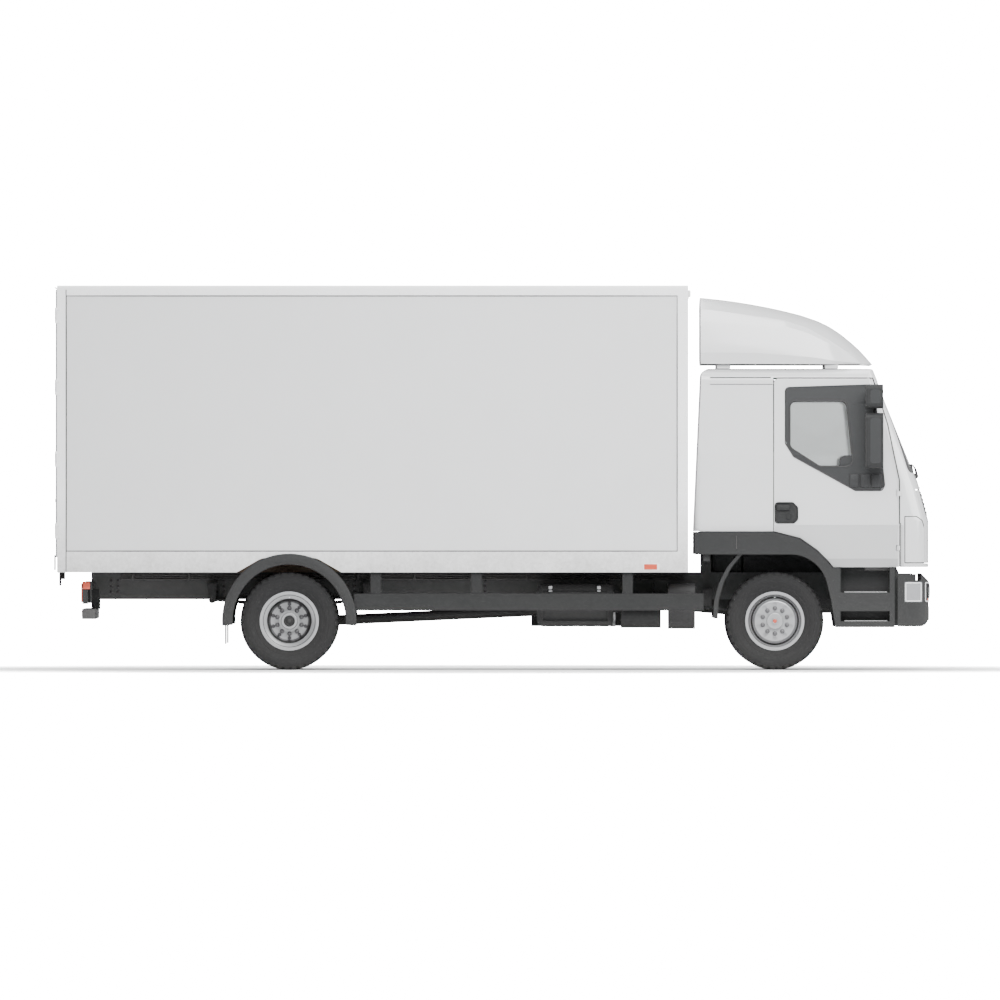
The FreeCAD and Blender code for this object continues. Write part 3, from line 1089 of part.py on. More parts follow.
def cab_solid(name, inset, low):
    """The cab's whole outer form, taken in by the inset; low is how far down it reaches."""
    visor_x = d.cab_visor_x - inset * VISOR_INSET_SHARE
    brow_x = d.cab_brow_x - inset * BROW_INSET_SHARES[0]
    brow_z = d.cab_brow_z - inset * BROW_INSET_SHARES[1]
    nose = d.cab_nose_x - inset
    roof = d.cab_roof_z - inset
    back = d.cab_back_x + inset
    corners = [(nose - d.cab_chin_set, low), (nose, d.cab_chin_z), (nose, d.cab_nose_top_z, d.cab_nose_round),
               (brow_x, brow_z, d.cab_brow_round), (visor_x, roof, d.cab_roof_round),
               (back + d.cab_back_lean, roof, d.cab_roof_round - inset), (back, d.cab_waist_z)]
    if number(inset) == 0:
        corners += arch_edge(Size(0, "0"))
    else:
        corners.append((back, low))
    half = d.cab_half_width - inset
    side = prism(name + "_side", "y", corners, -half - d.overrun, half + d.overrun)
    front = prism(name + "_front", "x", [
        (-half, low), (half, low), (half, d.cab_tumble_z),
        (half - d.cab_tumble, roof, d.cab_top_round - inset),
        (-half + d.cab_tumble, roof, d.cab_top_round - inset), (-half, d.cab_tumble_z)],
        back - d.overrun, nose + d.overrun)
    sections = []
    plan_round = d.cab_plan_round - inset
    for i, (x, z, radius) in enumerate(((nose, low, plan_round), (nose, d.cab_nose_top_z, plan_round),
                                        (brow_x, brow_z, plan_round),
                                        (visor_x, roof, d.cab_top_plan_round))):
        crown = x - d.cab_plan_crown * PLAN_CROWN_SHARES[i]
        sections.append((z, [(back, -half, d.cab_back_round - inset), (crown, -half, radius),
                             (x, 0, d.cab_plan_bow),
                             (crown, half, radius), (back, half, d.cab_back_round - inset)]))
    return common(name, side, front, lofted(name + "_plan", sections))


def lofted(name, sections):
    """Straight-sided loft through level outlines given as (height, corners)."""
    body = doc.addObject("PartDesign::Body", name)
    plane = [feature for feature in body.Origin.OriginFeatures if feature.Role == "XY_Plane"][0]
    sketches = []
    for i, (z, corners) in enumerate(sections):
        sketch = body.newObject("Sketcher::SketchObject", "%s_level_%d" % (name, i))
        sketch.AttachmentSupport = (plane, [""])
        sketch.MapMode = "FlatFace"
        outline(sketch, corners)
        bind(sketch, "AttachmentOffset.Base.z", z)
        sketches.append(sketch)
    loft = body.newObject("PartDesign::AdditiveLoft", name + "_loft")
    loft.Profile = sketches[0]
    loft.Sections = sketches[1:]
    loft.Ruled = True
    return body


def door_front_line(gap):
    """The edge between the cab door and the windscreen pillar, bottom to top."""
    return [(d.door_front_x - gap, d.cab_bottom_z - d.overrun), (d.door_front_x - gap, d.door_front_knee_z),
            (d.door_front_mid_x - gap, d.door_front_mid_z), (d.door_front_top_x - gap, d.cab_rail_z)]


def make_cab():
    """Cab shell split where its panels meet, with doors, glass, floor and front lid."""
    low = d.cab_bottom_z
    wall = d.cab_wall
    deep = low - d.overrun * 2
    inner = cab_solid("cab_inner", wall, deep)
    outer = cab_solid("cab_outer", Size(0, "0"), low)
    shell = cut("cab_shell", outer, inner)
    glass = cut("cab_glass", cab_solid("glass_outer", d.glass_set, deep),
                cab_solid("glass_inner", d.glass_set + d.glass_wall, deep))
    half = d.cab_half_width + d.overrun
    rail = d.cab_rail_z
    far = d.cab_nose_x + d.overrun
    near = d.cab_back_x - d.overrun
    back_x = d.cab_back_x + d.cab_back_depth
    node("cab_roof", common("cab_roof", shell, box("roof_zone", (near, far), both_sides(half),
                                                   (rail, d.cab_roof_z + d.overrun))))
    node("cab_back", common("cab_back", shell, box("back_zone", (near, back_x), both_sides(half),
                                                   (low, rail))))
    node("cab_sides", common("cab_sides", shell, box("side_zone", (back_x, d.door_rear_x), both_sides(half),
                                                     (low, rail))))
    make_cab_front(shell, inner, far, half)
    make_windscreen(glass, far)
    make_cab_doors(shell, glass)
    make_cab_floor(inner, far)
    return outer


def screen_box(name, gap, far):
    """Space of the windscreen opening, taken in by the gap."""
    return prism(name, "x", [
        (-d.screen_half_width + gap, d.screen_bottom_z + gap, d.window_round),
        (d.screen_half_width - gap, d.screen_bottom_z + gap, d.window_round),
        (d.screen_half_width - d.cab_tumble - gap, d.screen_top_z - gap, d.window_round),
        (-d.screen_half_width + d.cab_tumble + gap, d.screen_top_z - gap, d.window_round)],
        d.door_front_top_x - d.cab_wall, far)


def make_windscreen(glass, far):
    """Windscreen pane in its opening."""
    node("windscreen", common("windscreen", glass, screen_box("screen_pane", d.seat_gap, far)))


def lid_axis_z():
    """Height of the front lid's hinge line, in the scuttle above the lid."""
    return d.lid_top_z + d.lid_hinge_rise


def make_cab_front(shell, inner, far, half):
    """Windscreen frame, front corners, scuttle and bulkhead, and the lid that covers the radiator."""
    line = door_front_line(Size(0, "0"))
    zone = prism("front_zone", "y", line + [(far, d.cab_rail_z), (far, d.cab_bottom_z - d.overrun)], -half,
                 half)
    frame = cut("front_frame", common("front_shell", shell, zone),
                screen_box("screen_opening", Size(0, "0"), far),
                box("lid_opening", (d.door_front_x, far), both_sides(d.lid_half_width),
                    (d.lid_bottom_z, d.lid_top_z)))
    wall_x = (d.door_front_x, d.door_front_x + d.bulkhead_wall)
    bulkhead = cut("bulkhead_plate", box("bulkhead_block", wall_x, both_sides(half),
                                         (d.footwell_z, d.scuttle_z)),
                   box("bulkhead_mouth", (wall_x[0] - d.overrun, wall_x[1] + d.overrun),
                       both_sides(d.tunnel_half_width),
                       (d.footwell_z - d.overrun, d.cab_waist_z)))
    scuttle = box("scuttle", (wall_x[0], far), both_sides(half), (d.scuttle_z, d.scuttle_z + d.bulkhead_wall))
    fitted = common("front_inside", inner, fuse("front_inner", bulkhead, scuttle))
    lugs, notches = [], []
    barrel = d.lid_barrel_radius
    reach = d.lid_lug_width / 2
    for name, side in (("left", 1), ("right", -1)):
        y = d.lid_lug_y * side
        notches.append(box(name + "_lid_notch", (d.lid_hinge_x - barrel - d.lid_lug_gap, far),
                           both_sides_of(y, reach + d.lid_lug_gap),
                           (d.lid_top_z - d.overrun, lid_axis_z() + barrel + d.lid_lug_gap)))
        lugs.append(rod(name + "_lid_pin", d.lid_pin_radius, d.lid_hinge_x,
                        both_sides_of(y, reach + d.lid_pin_reach),
                        lid_axis_z()))
        lugs.extend(door_lugs(name, side))
    node("cab_front", fuse("cab_front", cut("front_notched", fuse("front_body", frame, fitted), *notches),
                           *lugs))

    gap = d.panel_gap
    lid = common("lid_shell", shell, box("lid_zone", (d.door_front_x + d.bulkhead_wall + gap, far),
                                         both_sides(d.lid_half_width - gap),
                                         (d.lid_bottom_z + gap, d.lid_top_z - d.lid_top_gap)))
    arms, bores = [], []
    for name, side in (("left", 1), ("right", -1)):
        span = both_sides_of(d.lid_lug_y * side, reach)
        arms.append(box(name + "_lid_arm", (d.lid_hinge_x - barrel,
                                            d.lid_hinge_x - barrel + d.lid_lug_wall), span,
                        (lid_axis_z() - d.lid_lug_length, lid_axis_z())))
        arms.append(rod(name + "_lid_barrel", barrel, d.lid_hinge_x, span, lid_axis_z()))
        bores.append(rod(name + "_lid_bore", d.lid_pin_radius + d.seat_gap, d.lid_hinge_x,
                         both_sides_of(d.lid_lug_y * side, reach + d.overrun), lid_axis_z()))
    node("front_panel", cut("front_panel", fuse("lid_body", lid, *arms), *bores))


def cab_hinge_z(share):
    """Height of one of the cab door's hinges."""
    return d.cab_bottom_z + (d.door_front_knee_z - d.cab_bottom_z) * share


def door_hinge_y():
    """Distance of the cab door's hinge line from the middle."""
    return d.cab_half_width - d.door_pin_set


def door_lugs(name, side):
    """Fixed lugs of the cab door's hinges with their pins, anchored in the windscreen pillar."""
    pieces = []
    y = door_hinge_y()
    proud = d.door_knuckle_front / 3
    for i, share in enumerate(CAB_HINGE_SHARES):
        z = cab_hinge_z(share)
        height = both_sides_of(z, d.door_lug_height / 2)
        pieces.append(box("%s_door_lug_%d" % (name, i), (d.door_pin_x - d.door_lug_back, d.door_front_x),
                          ((y - d.door_lug_depth) * side, (y + proud) * side), height))
        pieces.append(box("%s_door_anchor_%d" % (name, i),
                          (d.door_front_x, d.door_front_x + d.door_lug_back * 2),
                          ((y - d.cab_wall) * side, (y + proud) * side), height))
        pieces.append(rod("%s_door_pin_%d" % (name, i), d.cab_door_pin_radius, d.door_pin_x, y * side,
                          both_sides_of(z, d.door_lug_height / 2 + d.door_pin_reach)))
    return pieces


def window_corners(gap):
    """Outline of the door window, taken in by the gap."""
    radius = d.window_round
    return [(d.window_rear_x + gap, d.window_top_z - gap, radius),
            (d.window_rear_x + gap, d.window_rear_z + gap, radius),
            (d.window_cut_x, d.window_bottom_z + gap, radius),
            (d.window_front_x - gap, d.window_bottom_z + gap, radius),
            (d.window_top_x - gap, d.window_top_z - gap, radius)]


def make_cab_doors(shell, glass):
    """Side doors as thick as the shell, with their window panes, hinge notches and bores."""
    gap = d.panel_gap
    front = door_front_line(gap)
    front[-1] = (front[-1][0], d.cab_rail_z - gap)
    rear = d.door_rear_x + gap
    half = d.cab_half_width
    corners = front + [(rear, d.cab_rail_z - gap, d.window_round), (rear, d.cab_bottom_z - d.overrun)]
    zone = prism("door_zone", "y", corners, half / 2, half + d.overrun)
    window = prism("door_window", "y", window_corners(Size(0, "0")), half / 2, half + d.overrun)
    tools, knuckles = [window], []
    y = door_hinge_y()
    reach = d.door_lug_height / 2 + d.door_notch_gap
    for i, share in enumerate(CAB_HINGE_SHARES):
        z = cab_hinge_z(share)
        far_reach = reach + d.door_pin_reach + d.door_notch_gap
        knuckles.append(box("door_knuckle_%d" % i,
                            (d.door_pin_x - d.door_knuckle_back, d.door_pin_x + d.door_knuckle_front),
                            (y - d.cab_wall, y + d.door_knuckle_front), both_sides_of(z, far_reach)))
        tools.append(box("door_notch_%d" % i, (d.door_pin_x - d.door_notch_back, d.door_front_x),
                         (y - d.door_notch_depth, half + d.overrun), both_sides_of(z, reach)))
        tools.append(rod("door_bore_%d" % i, d.cab_door_pin_radius + d.seat_gap, d.door_pin_x, y,
                         both_sides_of(z, reach + d.door_pin_reach)))
    node_pair("door", cut("cab_door", fuse("door_body", common("door_shell", shell, zone), *knuckles),
                          *tools))
    pane = prism("door_pane", "y", window_corners(d.seat_gap), half / 2, half + d.overrun)
    node_pair("door_glass", common("door_glass", glass, pane))


def make_cab_floor(inner, far):
    """Floor pan with the engine tunnel and footwells, and the arms down to the tilt hinge."""
    top = d.cab_waist_z + d.floor_skin
    low = d.cab_waist_z
    back = d.cab_back_x
    front = d.door_front_x
    side = d.cab_half_width - d.cab_wall
    foot = d.footwell_z
    slope_x = front_x + d.overrun
    pieces = []
    deck = prism("floor_deck", "y", [(back, low), (front, low), (front, top), (back, top)],
                 -d.tunnel_half_width,
                 d.tunnel_half_width)
    pieces.append(deck)
    for name, way in (("left", 1), ("right", -1)):
        span = ordered((d.tunnel_half_width * way, (side + d.overrun) * way))
        pieces.append(prism(name + "_pan", "y", [
            (back, low), (slope_x, low), (d.footwell_rear_x, foot), (front, foot),
            (front, foot + d.floor_skin),
            (d.footwell_rear_x + d.overrun, foot + d.floor_skin), (slope_x + d.overrun, top), (back, top)],
            *span))
        wall = ordered((d.tunnel_half_width * way, (d.tunnel_half_width - d.tunnel_wall) * way))
        pieces.append(prism(name + "_tunnel_wall", "y", [
            (slope_x, low), (d.footwell_rear_x, foot), (front, foot), (front, top), (slope_x, top)], *wall))
    pan = common("floor_fitted", inner, fuse("floor_body", *pieces))
    clear = []
    for name, way in (("left", 1), ("right", -1)):
        clear.append(box(name + "_door_clear", (d.door_rear_x, front),
                         ((side - d.panel_gap) * way, (side + d.overrun) * way),
                         (foot - d.overrun, top + d.overrun)))
    arms, bores = [], []
    for name, way in (("left", 1), ("right", -1)):
        span = ordered(((d.frame_half_width + d.panel_gap) * way,
                        (d.frame_half_width + d.panel_gap + d.tilt_arm_wall) * way))
        pivot_x, pivot_z = d.tilt_pivot_x, d.tilt_pivot_z
        top_x = pivot_x - d.tilt_arm_lean
        arms.append(prism(name + "_tilt_arm", "y", [
            (pivot_x - d.tilt_eye_radius, pivot_z), (pivot_x + d.tilt_eye_radius, pivot_z),
            (top_x + d.tilt_arm_width / 2, foot), (top_x - d.tilt_arm_width / 2, foot)], *span))
        arms.append(rod(name + "_tilt_eye", d.tilt_eye_radius, pivot_x, tuple(span), pivot_z))
        bores.append(rod(name + "_tilt_bore", d.tilt_pin_radius + d.seat_gap, pivot_x,
                         (span[0] - d.overrun / 4, span[1] + d.overrun / 4), pivot_z))
    node("cab_floor", fuse("cab_floor", cut("floor_pan", pan, *clear),
                           cut("tilt_arms", fuse("tilt_arm_pair", *arms), *bores)))


def make_cab_inside():
    """Dashboard with the steering column, steering wheel and two seats."""
    x = (d.door_front_x - d.dash_depth, d.door_front_x)
    half = d.cab_half_width - d.cab_wall - d.dash_side_gap
    dash = prism("dash", "y", [
        (x[1], d.dash_bottom_z), (x[1], d.scuttle_z),
        (x[0] + d.dash_depth / 3, d.dash_top_z, d.window_round / 2),
        (x[0], d.dash_top_z - d.dash_depth / 3, d.window_round / 2),
        (x[0] + d.dash_depth / 6, d.dash_bottom_z, d.window_round)],
        -half, half)
    run, drop = d.column_run, d.column_drop
    slant = hypotenuse(run, drop)
    seat_y = d.seat_y
    wheel = (d.steering_x, seat_y, d.steering_z)
    away = d.steering_gap
    top = (wheel[0] + run * away / slant, seat_y, wheel[2] - drop * away / slant)
    column = strut("column", d.column_radius, (wheel[0] + run, seat_y, wheel[2] - drop), top)
    pin = strut("column_pin", d.steering_pin_radius, top, wheel)
    node("dashboard", fuse("dashboard", dash, column, pin))

    ring = doc.addObject("Part::Torus", "steering_ring")
    bind(ring, "Radius1", d.steering_radius)
    bind(ring, "Radius2", d.steering_rim_radius)
    axis = FreeCAD.Vector(-number(run), 0, number(drop))
    ring.Placement = FreeCAD.Placement(FreeCAD.Vector(), FreeCAD.Rotation(DIRECTIONS["z"], axis))
    for letter, place in zip("xyz", wheel):
        bind(ring, "Placement.Base." + letter, place)
    ahead = (run / slant, drop / slant)
    hub_half = d.steering_hub_height / 2
    hub_low = (wheel[0] + ahead[0] * (away - d.seat_gap), seat_y, wheel[2] - ahead[1] * (away - d.seat_gap))
    hub = strut("steering_hub", d.steering_hub_radius, hub_low,
                (wheel[0] - ahead[0] * hub_half, seat_y, wheel[2] + ahead[1] * hub_half))
    reach = d.steering_radius
    spokes = [strut("spoke_%d" % side, d.spoke_radius, wheel, (wheel[0], seat_y + reach * side, wheel[2]))
              for side in (-1, 1)]
    spokes.append(strut("spoke_low", d.spoke_radius, wheel,
                        (wheel[0] - ahead[1] * reach, seat_y, wheel[2] - ahead[0] * reach)))
    bore = strut("steering_bore", d.steering_pin_radius + d.seat_gap,
                 (wheel[0] + run * away * 2 / slant, seat_y, wheel[2] - drop * away * 2 / slant), wheel)
    node("steering_wheel", cut("steering_wheel", fuse("steering_body", ring, hub, *spokes), bore))

    floor = d.cab_waist_z + d.floor_skin
    seat_x = (d.seat_x - d.seat_depth / 2, d.seat_x + d.seat_depth / 2)
    y = both_sides_of(seat_y, d.seat_width / 2)
    base_top = floor + d.seat_base_height
    cushion_top = base_top + d.seat_cushion
    base = box("seat_base", (seat_x[0] + d.window_round, seat_x[1] - d.window_round * 2),
               both_sides_of(seat_y, d.seat_width / 3),
               (floor, base_top))
    cushion = rounded_box("seat_cushion", seat_x, y, (base_top, cushion_top), d.window_round)
    back = prism("seat_back", "y", [
        (seat_x[0], cushion_top - d.seat_cushion / 2),
        (seat_x[0] + d.seat_back_wall, cushion_top - d.seat_cushion / 2),
        (seat_x[0] + d.seat_back_wall - d.seat_back_lean, cushion_top + d.seat_back_height,
         d.window_round / 2),
        (seat_x[0] - d.seat_back_lean, cushion_top + d.seat_back_height, d.window_round / 2)], *y)
    node_both("seats", fuse("seat", base, cushion, back))


def make_roof_deflector():
    """Hollow wind deflector on the cab roof, open behind and below, on four feet."""
    base = d.cab_roof_z + d.deflector_lift
    length = d.deflector_front_x - d.deflector_rear_x

    def form(name, inset, rear, low):
        top = []
        for x, z in DEFLECTOR_TOP_SHARES:
            corner = (d.deflector_rear_x + length * x - inset, base + d.deflector_height * z - inset)
            top.append(corner if z in (0.0, 1.0) else corner + (d.deflector_top_round,))
        top[-1] = (rear, top[-1][1])
        side = prism(name + "_side", "y", [(rear, low), (top[0][0], low)] + top[(0 if number(inset) else 1):],
                     -d.deflector_half_width, d.deflector_half_width)
        half = d.deflector_half_width - inset
        high = base + d.deflector_height - inset
        front = prism(name + "_front", "x", [(-half, low), (half, low),
                                             (half * DEFLECTOR_LEAN_SHARE, high, d.deflector_round),
                                             (-half * DEFLECTOR_LEAN_SHARE, high, d.deflector_round)],
                      rear, d.deflector_front_x)
        nose = d.deflector_front_x - inset
        nose_half = d.deflector_front_half - inset
        shoulder = nose - d.deflector_plan_round
        plan = prism(name + "_plan", "z", [(rear, -half), (shoulder, -half, d.deflector_plan_round),
                                           (nose, -nose_half, d.deflector_round),
                                           (nose, nose_half, d.deflector_round),
                                           (shoulder, half, d.deflector_plan_round), (rear, half)], low, high)
        return common(name, side, front, plan)

    skin = cut("deflector_skin", form("deflector_outer", Size(0, "0"), d.deflector_rear_x, base),
               form("deflector_inner", d.deflector_wall, d.deflector_rear_x - d.overrun, base - d.overrun))
    feet = []
    for i, share in enumerate(DEFLECTOR_FOOT_SHARES):
        x = d.deflector_rear_x + length * share
        for name, side in (("left", 1), ("right", -1)):
            y = ordered(((d.deflector_half_width - d.deflector_foot) * side,
                         (d.deflector_half_width - d.deflector_wall / 2) * side))
            feet.append(box("%s_foot_%d" % (name, i), (x, x + d.deflector_foot), y,
                            (d.cab_roof_z, base + d.deflector_wall)))
    node("roof_deflector", fuse("roof_deflector", skin, *feet))


def make_mirrors(cab):
    """Door mirrors: a main and a wide-angle head on one stalk with two arms to the door."""
    x = (d.mirror_front_x - d.mirror_depth, d.mirror_front_x)
    y = (d.mirror_inner_y, d.mirror_inner_y + d.mirror_width)
    main_top = d.mirror_bottom_z + d.mirror_height
    wide_low = main_top + d.wide_mirror_gap
    wide_top = wide_low + d.wide_mirror_height
    main = rounded_box("main_mirror", x, y, (d.mirror_bottom_z, main_top), d.mirror_round)
    wide = rounded_box("wide_mirror", x, y, (wide_low, wide_top), d.mirror_round)
    stalk_x = x[0] + d.mirror_depth / 2
    stalk_y = y[0] + d.mirror_round
    pieces = [main, wide, rod("mirror_stalk", d.mirror_arm_radius, stalk_x, stalk_y,
                              (main_top - d.mirror_arm_end, wide_low + d.mirror_arm_end))]
    for i, z in enumerate((d.mirror_bottom_z + d.mirror_arm_end, wide_low + d.mirror_arm_end)):
        pieces.append(rod("mirror_arm_%d" % i, d.mirror_arm_radius, stalk_x,
                          (d.cab_half_width - d.cab_wall * 2, stalk_y), z))
    node_pair("mirror", cut("mirror", fuse("mirror_body", *pieces), cab))


def make_wheel_arches():
    """Dark arch liners over the front wheels, one piece with the entry steps behind the bumper."""
    outer = d.arch_half_width
    plate = outer - d.arch_side_wall
    gap = d.arch_edge_gap
    crown = d.arch_crown_z
    skin = d.arch_skin
    rear = d.cab_back_x
    edge = arch_edge(gap)
    step_top = edge[-1][1]
    inner_edge = [(d.arch_foot_x, d.step_bottom_z), (d.arch_knee_x, d.arch_knee_z),
                  (d.arch_corner_x, crown, d.arch_corner_round), (rear, crown)]
    side = prism("arch_side", "y", inner_edge + [(rear, edge[0][1])] + edge + [(d.step_front_x, step_top),
            (d.step_front_x, d.step_bottom_z)],
                 plate, outer)
    liner = prism("arch_liner", "y", inner_edge + [
        (rear, crown + skin), (d.arch_corner_x + skin, crown + skin, d.arch_corner_round),
        (d.arch_knee_x + skin, d.arch_knee_z), (d.arch_foot_x + skin, d.step_bottom_z)], d.arch_inner_y,
        plate)
    step = box("step_block", (d.arch_foot_x, d.step_front_x), (d.step_inner_y, outer),
               (d.step_bottom_z, step_top))
    x = (d.arch_foot_x + d.step_wall, d.step_front_x - d.step_wall)
    inside_x = (d.arch_foot_x + skin, d.step_front_x - d.step_skin)
    back_end = outer - d.step_recess_depth - d.step_skin
    low_top = d.step_low_bottom_z + d.step_low_height
    tools = [
        box("step_recess", x, (outer - d.step_recess_depth, outer + d.overrun),
            (d.step_recess_bottom_z, step_top + d.overrun)),
        box("step_low_recess", x, (outer - d.step_low_depth, outer + d.overrun),
            (d.step_low_bottom_z, low_top)),
        box("step_back", inside_x, (d.step_inner_y - d.overrun, back_end),
            (d.step_bottom_z + d.step_skin, step_top - d.step_skin)),
        box("step_ridge_back", inside_x, (d.step_inner_y - d.overrun, outer - d.step_skin),
            (low_top + d.step_skin, d.step_recess_bottom_z - d.step_skin)),
    ]
    body = cut("arch_body", fuse("arch_mass", side, liner, step), *tools)
    stay_z = frame_top_z - d.step_stay_height * 2
    stays = [box("step_stay_%d" % i, (sx, sx + d.step_stay_length), (d.frame_half_width, back_end),
                 (stay_z, stay_z + d.step_stay_height)) for i,
                 sx in enumerate((d.step_stay_rear_x, d.step_stay_front_x))]
    stays.append(box("arch_stay", both_sides_of(d.cab_rest_x, d.step_stay_length / 2),
                     (d.frame_half_width, plate),
                     (crown - d.step_stay_height, crown)))
    node_both("wheel_arches", fuse("wheel_arch", body, *stays))


def make_front_mudguards():
    """Curved guard strips behind the front wheels, each on a stay from the frame."""
    inner, outer = [], []
    for x, z in MUDGUARD_SHARES:
        corner = (front_x - d.mudguard_clear * x, axle_z + d.tyre_radius * z, d.mudguard_clear / 2)
        inner.append(corner)
        outer.append((corner[0] - d.mudguard_wall, corner[1], corner[2]))
    inner[0], outer[0] = inner[0][:2], outer[0][:2]
    inner[-1] = (inner[-1][0], d.arch_crown_z)
    outer[-1] = (outer[-1][0], d.arch_crown_z)
    strip = prism("guard_strip", "y", inner + outer[::-1], d.mudguard_inner_y, d.mudguard_outer_y)
    stay_x = outer[2][0] + d.mudguard_wall / 2
    stay = rod("guard_strip_stay", d.stay_radius, stay_x,
               (d.frame_half_width, d.mudguard_inner_y + d.mudguard_wall),
               outer[2][1])
    node_both("front_mudguards", fuse("front_mudguard", strip, stay))


def make_bumper():
    """Wrap-round front bumper on two bars from the frame, and the corner headlamps set in it."""
    def form(name, inset, rear, low):
        nose = d.bumper_nose_x - inset
        top = d.bumper_top_z - inset
        half = d.bumper_half_width - inset
        side = prism(name + "_side", "y", [
            (rear, low), (nose, low, d.bumper_round), (nose, top - d.bumper_chamfer),
            (nose - d.bumper_chamfer, top),
            (rear, top)], -half, half)
        plan = prism(name + "_plan", "z", [(rear, -half), (nose, -half, d.bumper_plan_round - inset),
                                           (nose, half, d.bumper_plan_round - inset), (rear, half)], low, top)
        return common(name, side, plan)

    wall = d.bumper_wall
    low = d.bumper_bottom_z
    outer = form("bumper_outer", Size(0, "0"), d.bumper_rear_x, low)
    inner = form("bumper_inner", wall, d.bumper_rear_x - d.overrun, low - d.overrun * 5)
    inside = d.bumper_half_width - wall
    nose = d.bumper_nose_x
    open_top = box("bumper_open_top", (d.bumper_rear_x - d.overrun, nose - d.bumper_shelf),
                   both_sides(inside),
                   (d.bumper_top_z - wall * 2, d.bumper_top_z + d.overrun))
    skin = cut("bumper_skin", outer, inner, open_top)
    lamp_z = (d.headlamp_bottom_z, d.headlamp_bottom_z + d.headlamp_height)
    pockets = [box(name + "_lamp_zone", (d.headlamp_rear_x, nose + d.overrun),
                   (d.headlamp_inner_y * way, (d.bumper_half_width + d.overrun) * way), lamp_z)
               for name, way in (("left", 1), ("right", -1))]
    intake = box("bumper_intake", (nose - wall * 2, nose + d.overrun), both_sides(d.intake_half_width),
                 (d.intake_bottom_z, d.intake_bottom_z + d.intake_height))
    bars = []
    for name, way in (("left", 1), ("right", -1)):
        y = ordered((d.frame_half_width * way, (d.frame_half_width - d.bumper_bar_width) * way))
        bars.append(box(name + "_bumper_bar", (d.frame_front_x - d.bumper_bar_length, nose - wall), y,
                        (d.frame_bottom_z - d.bumper_bar_height, d.frame_bottom_z)))
    node("bumper", fuse("bumper", cut("bumper_shell", skin, intake, *pockets), *bars))
    node("headlamps", common("headlamps", skin, group("headlamp_zones", *pockets)))


def main():
    make_frame()
    make_engine()
    make_prop_shaft()
    make_front_axle()
    make_rear_axle()
    make_springs()
    make_side_equipment()
    make_side_guards()
    make_underrun()
    make_tail_lamps()
    make_rear_mudguards()
    make_front_mudguards()
    make_wheel_arches()
    make_bumper()
    make_box_floor()
    make_box_walls()
    make_load_doors()
    make_knuckle()
    make_track_rod()
    make_front_wheel()
    make_rear_wheels()
    cab = make_cab()
    make_cab_inside()
    make_roof_deflector()
    make_mirrors(cab)
    doc.recompute()
    for thing in doc.Objects:
        if "Invalid" in thing.State or "Error" in thing.State:
            raise RuntimeError("%s did not build" % thing.Name)
    for piece in nodes:
        if piece.Shape.isNull() or not piece.Shape.isValid() or not piece.Shape.Solids:
            raise RuntimeError("%s has no valid shape" % piece.Label)
    os.makedirs("parts", exist_ok=True)
    for piece in nodes:
        piece.Shape.exportStep("parts/%s.step" % piece.Label)
        print(piece.Label, len(piece.Shape.Solids), "solids", round(piece.Shape.Volume / 1e6, 2), "litres")


main()
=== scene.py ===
# %% [markdown]
# This lesson dresses a box truck. What a solid doesn't hold, such as tread, wheel nuts, seals,
# lenses, wipers and upholstery, is modelled here and rides on the body that carries it on the
# real truck.

# %% Load the frame
import math
import bpy
from mathutils import Matrix, Vector


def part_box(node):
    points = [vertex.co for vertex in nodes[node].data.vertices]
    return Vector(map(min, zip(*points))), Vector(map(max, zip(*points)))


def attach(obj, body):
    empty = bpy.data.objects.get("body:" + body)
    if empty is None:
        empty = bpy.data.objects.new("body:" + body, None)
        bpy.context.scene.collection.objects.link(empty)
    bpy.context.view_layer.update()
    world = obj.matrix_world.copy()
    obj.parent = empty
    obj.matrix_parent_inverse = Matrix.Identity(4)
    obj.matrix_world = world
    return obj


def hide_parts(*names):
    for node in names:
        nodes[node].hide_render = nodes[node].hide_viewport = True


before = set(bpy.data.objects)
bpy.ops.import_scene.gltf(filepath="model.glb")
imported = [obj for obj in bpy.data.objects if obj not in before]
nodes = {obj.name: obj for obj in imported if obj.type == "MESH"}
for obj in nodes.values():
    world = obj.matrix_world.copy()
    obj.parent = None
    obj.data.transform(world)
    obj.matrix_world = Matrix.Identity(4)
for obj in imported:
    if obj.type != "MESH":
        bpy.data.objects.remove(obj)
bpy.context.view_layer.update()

# %% [markdown]
# Lengths are in metres. A few driving places come from the frame itself, so that a piece follows
# the truck if the truck changes: the wheels' centres, the width of the load box and so on.

# %% Places that the pieces share
SIDES = (("left", 1), ("right", -1))


def middle_of(node):
    """Middle of a solid's box."""
    low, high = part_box(node)
    return (Vector(low) + Vector(high)) / 2


box_low, box_high = [Vector(corner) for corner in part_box("box_side_frames")]
front_wheel = middle_of("front_tyre_left")
rear_wheels = middle_of("rear_tyres_left")
tyre_radius = front_wheel.z
print("axles at", round(front_wheel.x, 3), round(rear_wheels.x, 3))

# %% [markdown]
# A ray shot at a solid finds where its skin is, like a finger put on the panel. Every nut, lens
# and seal is seated with it, so nothing floats and nothing needs a typed-in depth.


# %% Find the skin
AHEAD_X, BEHIND_X, BESIDE_Y = 4.6, -4.5, 3


def skin(node, start, way):
    """Place and outward normal where a ray first meets a solid."""
    hit, place, normal, face = nodes[node].ray_cast(Vector(start), Vector(way))
    if not hit:
        raise ValueError("the ray from %s misses %s" % (tuple(start), node))
    return place, normal


def side_skin(node, side, x, z):
    """Place on the outside of a solid, seen from the truck's side."""
    return skin(node, (x, side * BESIDE_Y, z), (0, -side, 0))[0]


def front_skin(node, y, z):
    """Place and normal of a solid's outside, seen from the front."""
    return skin(node, (AHEAD_X, y, z), (-1, 0, 0))


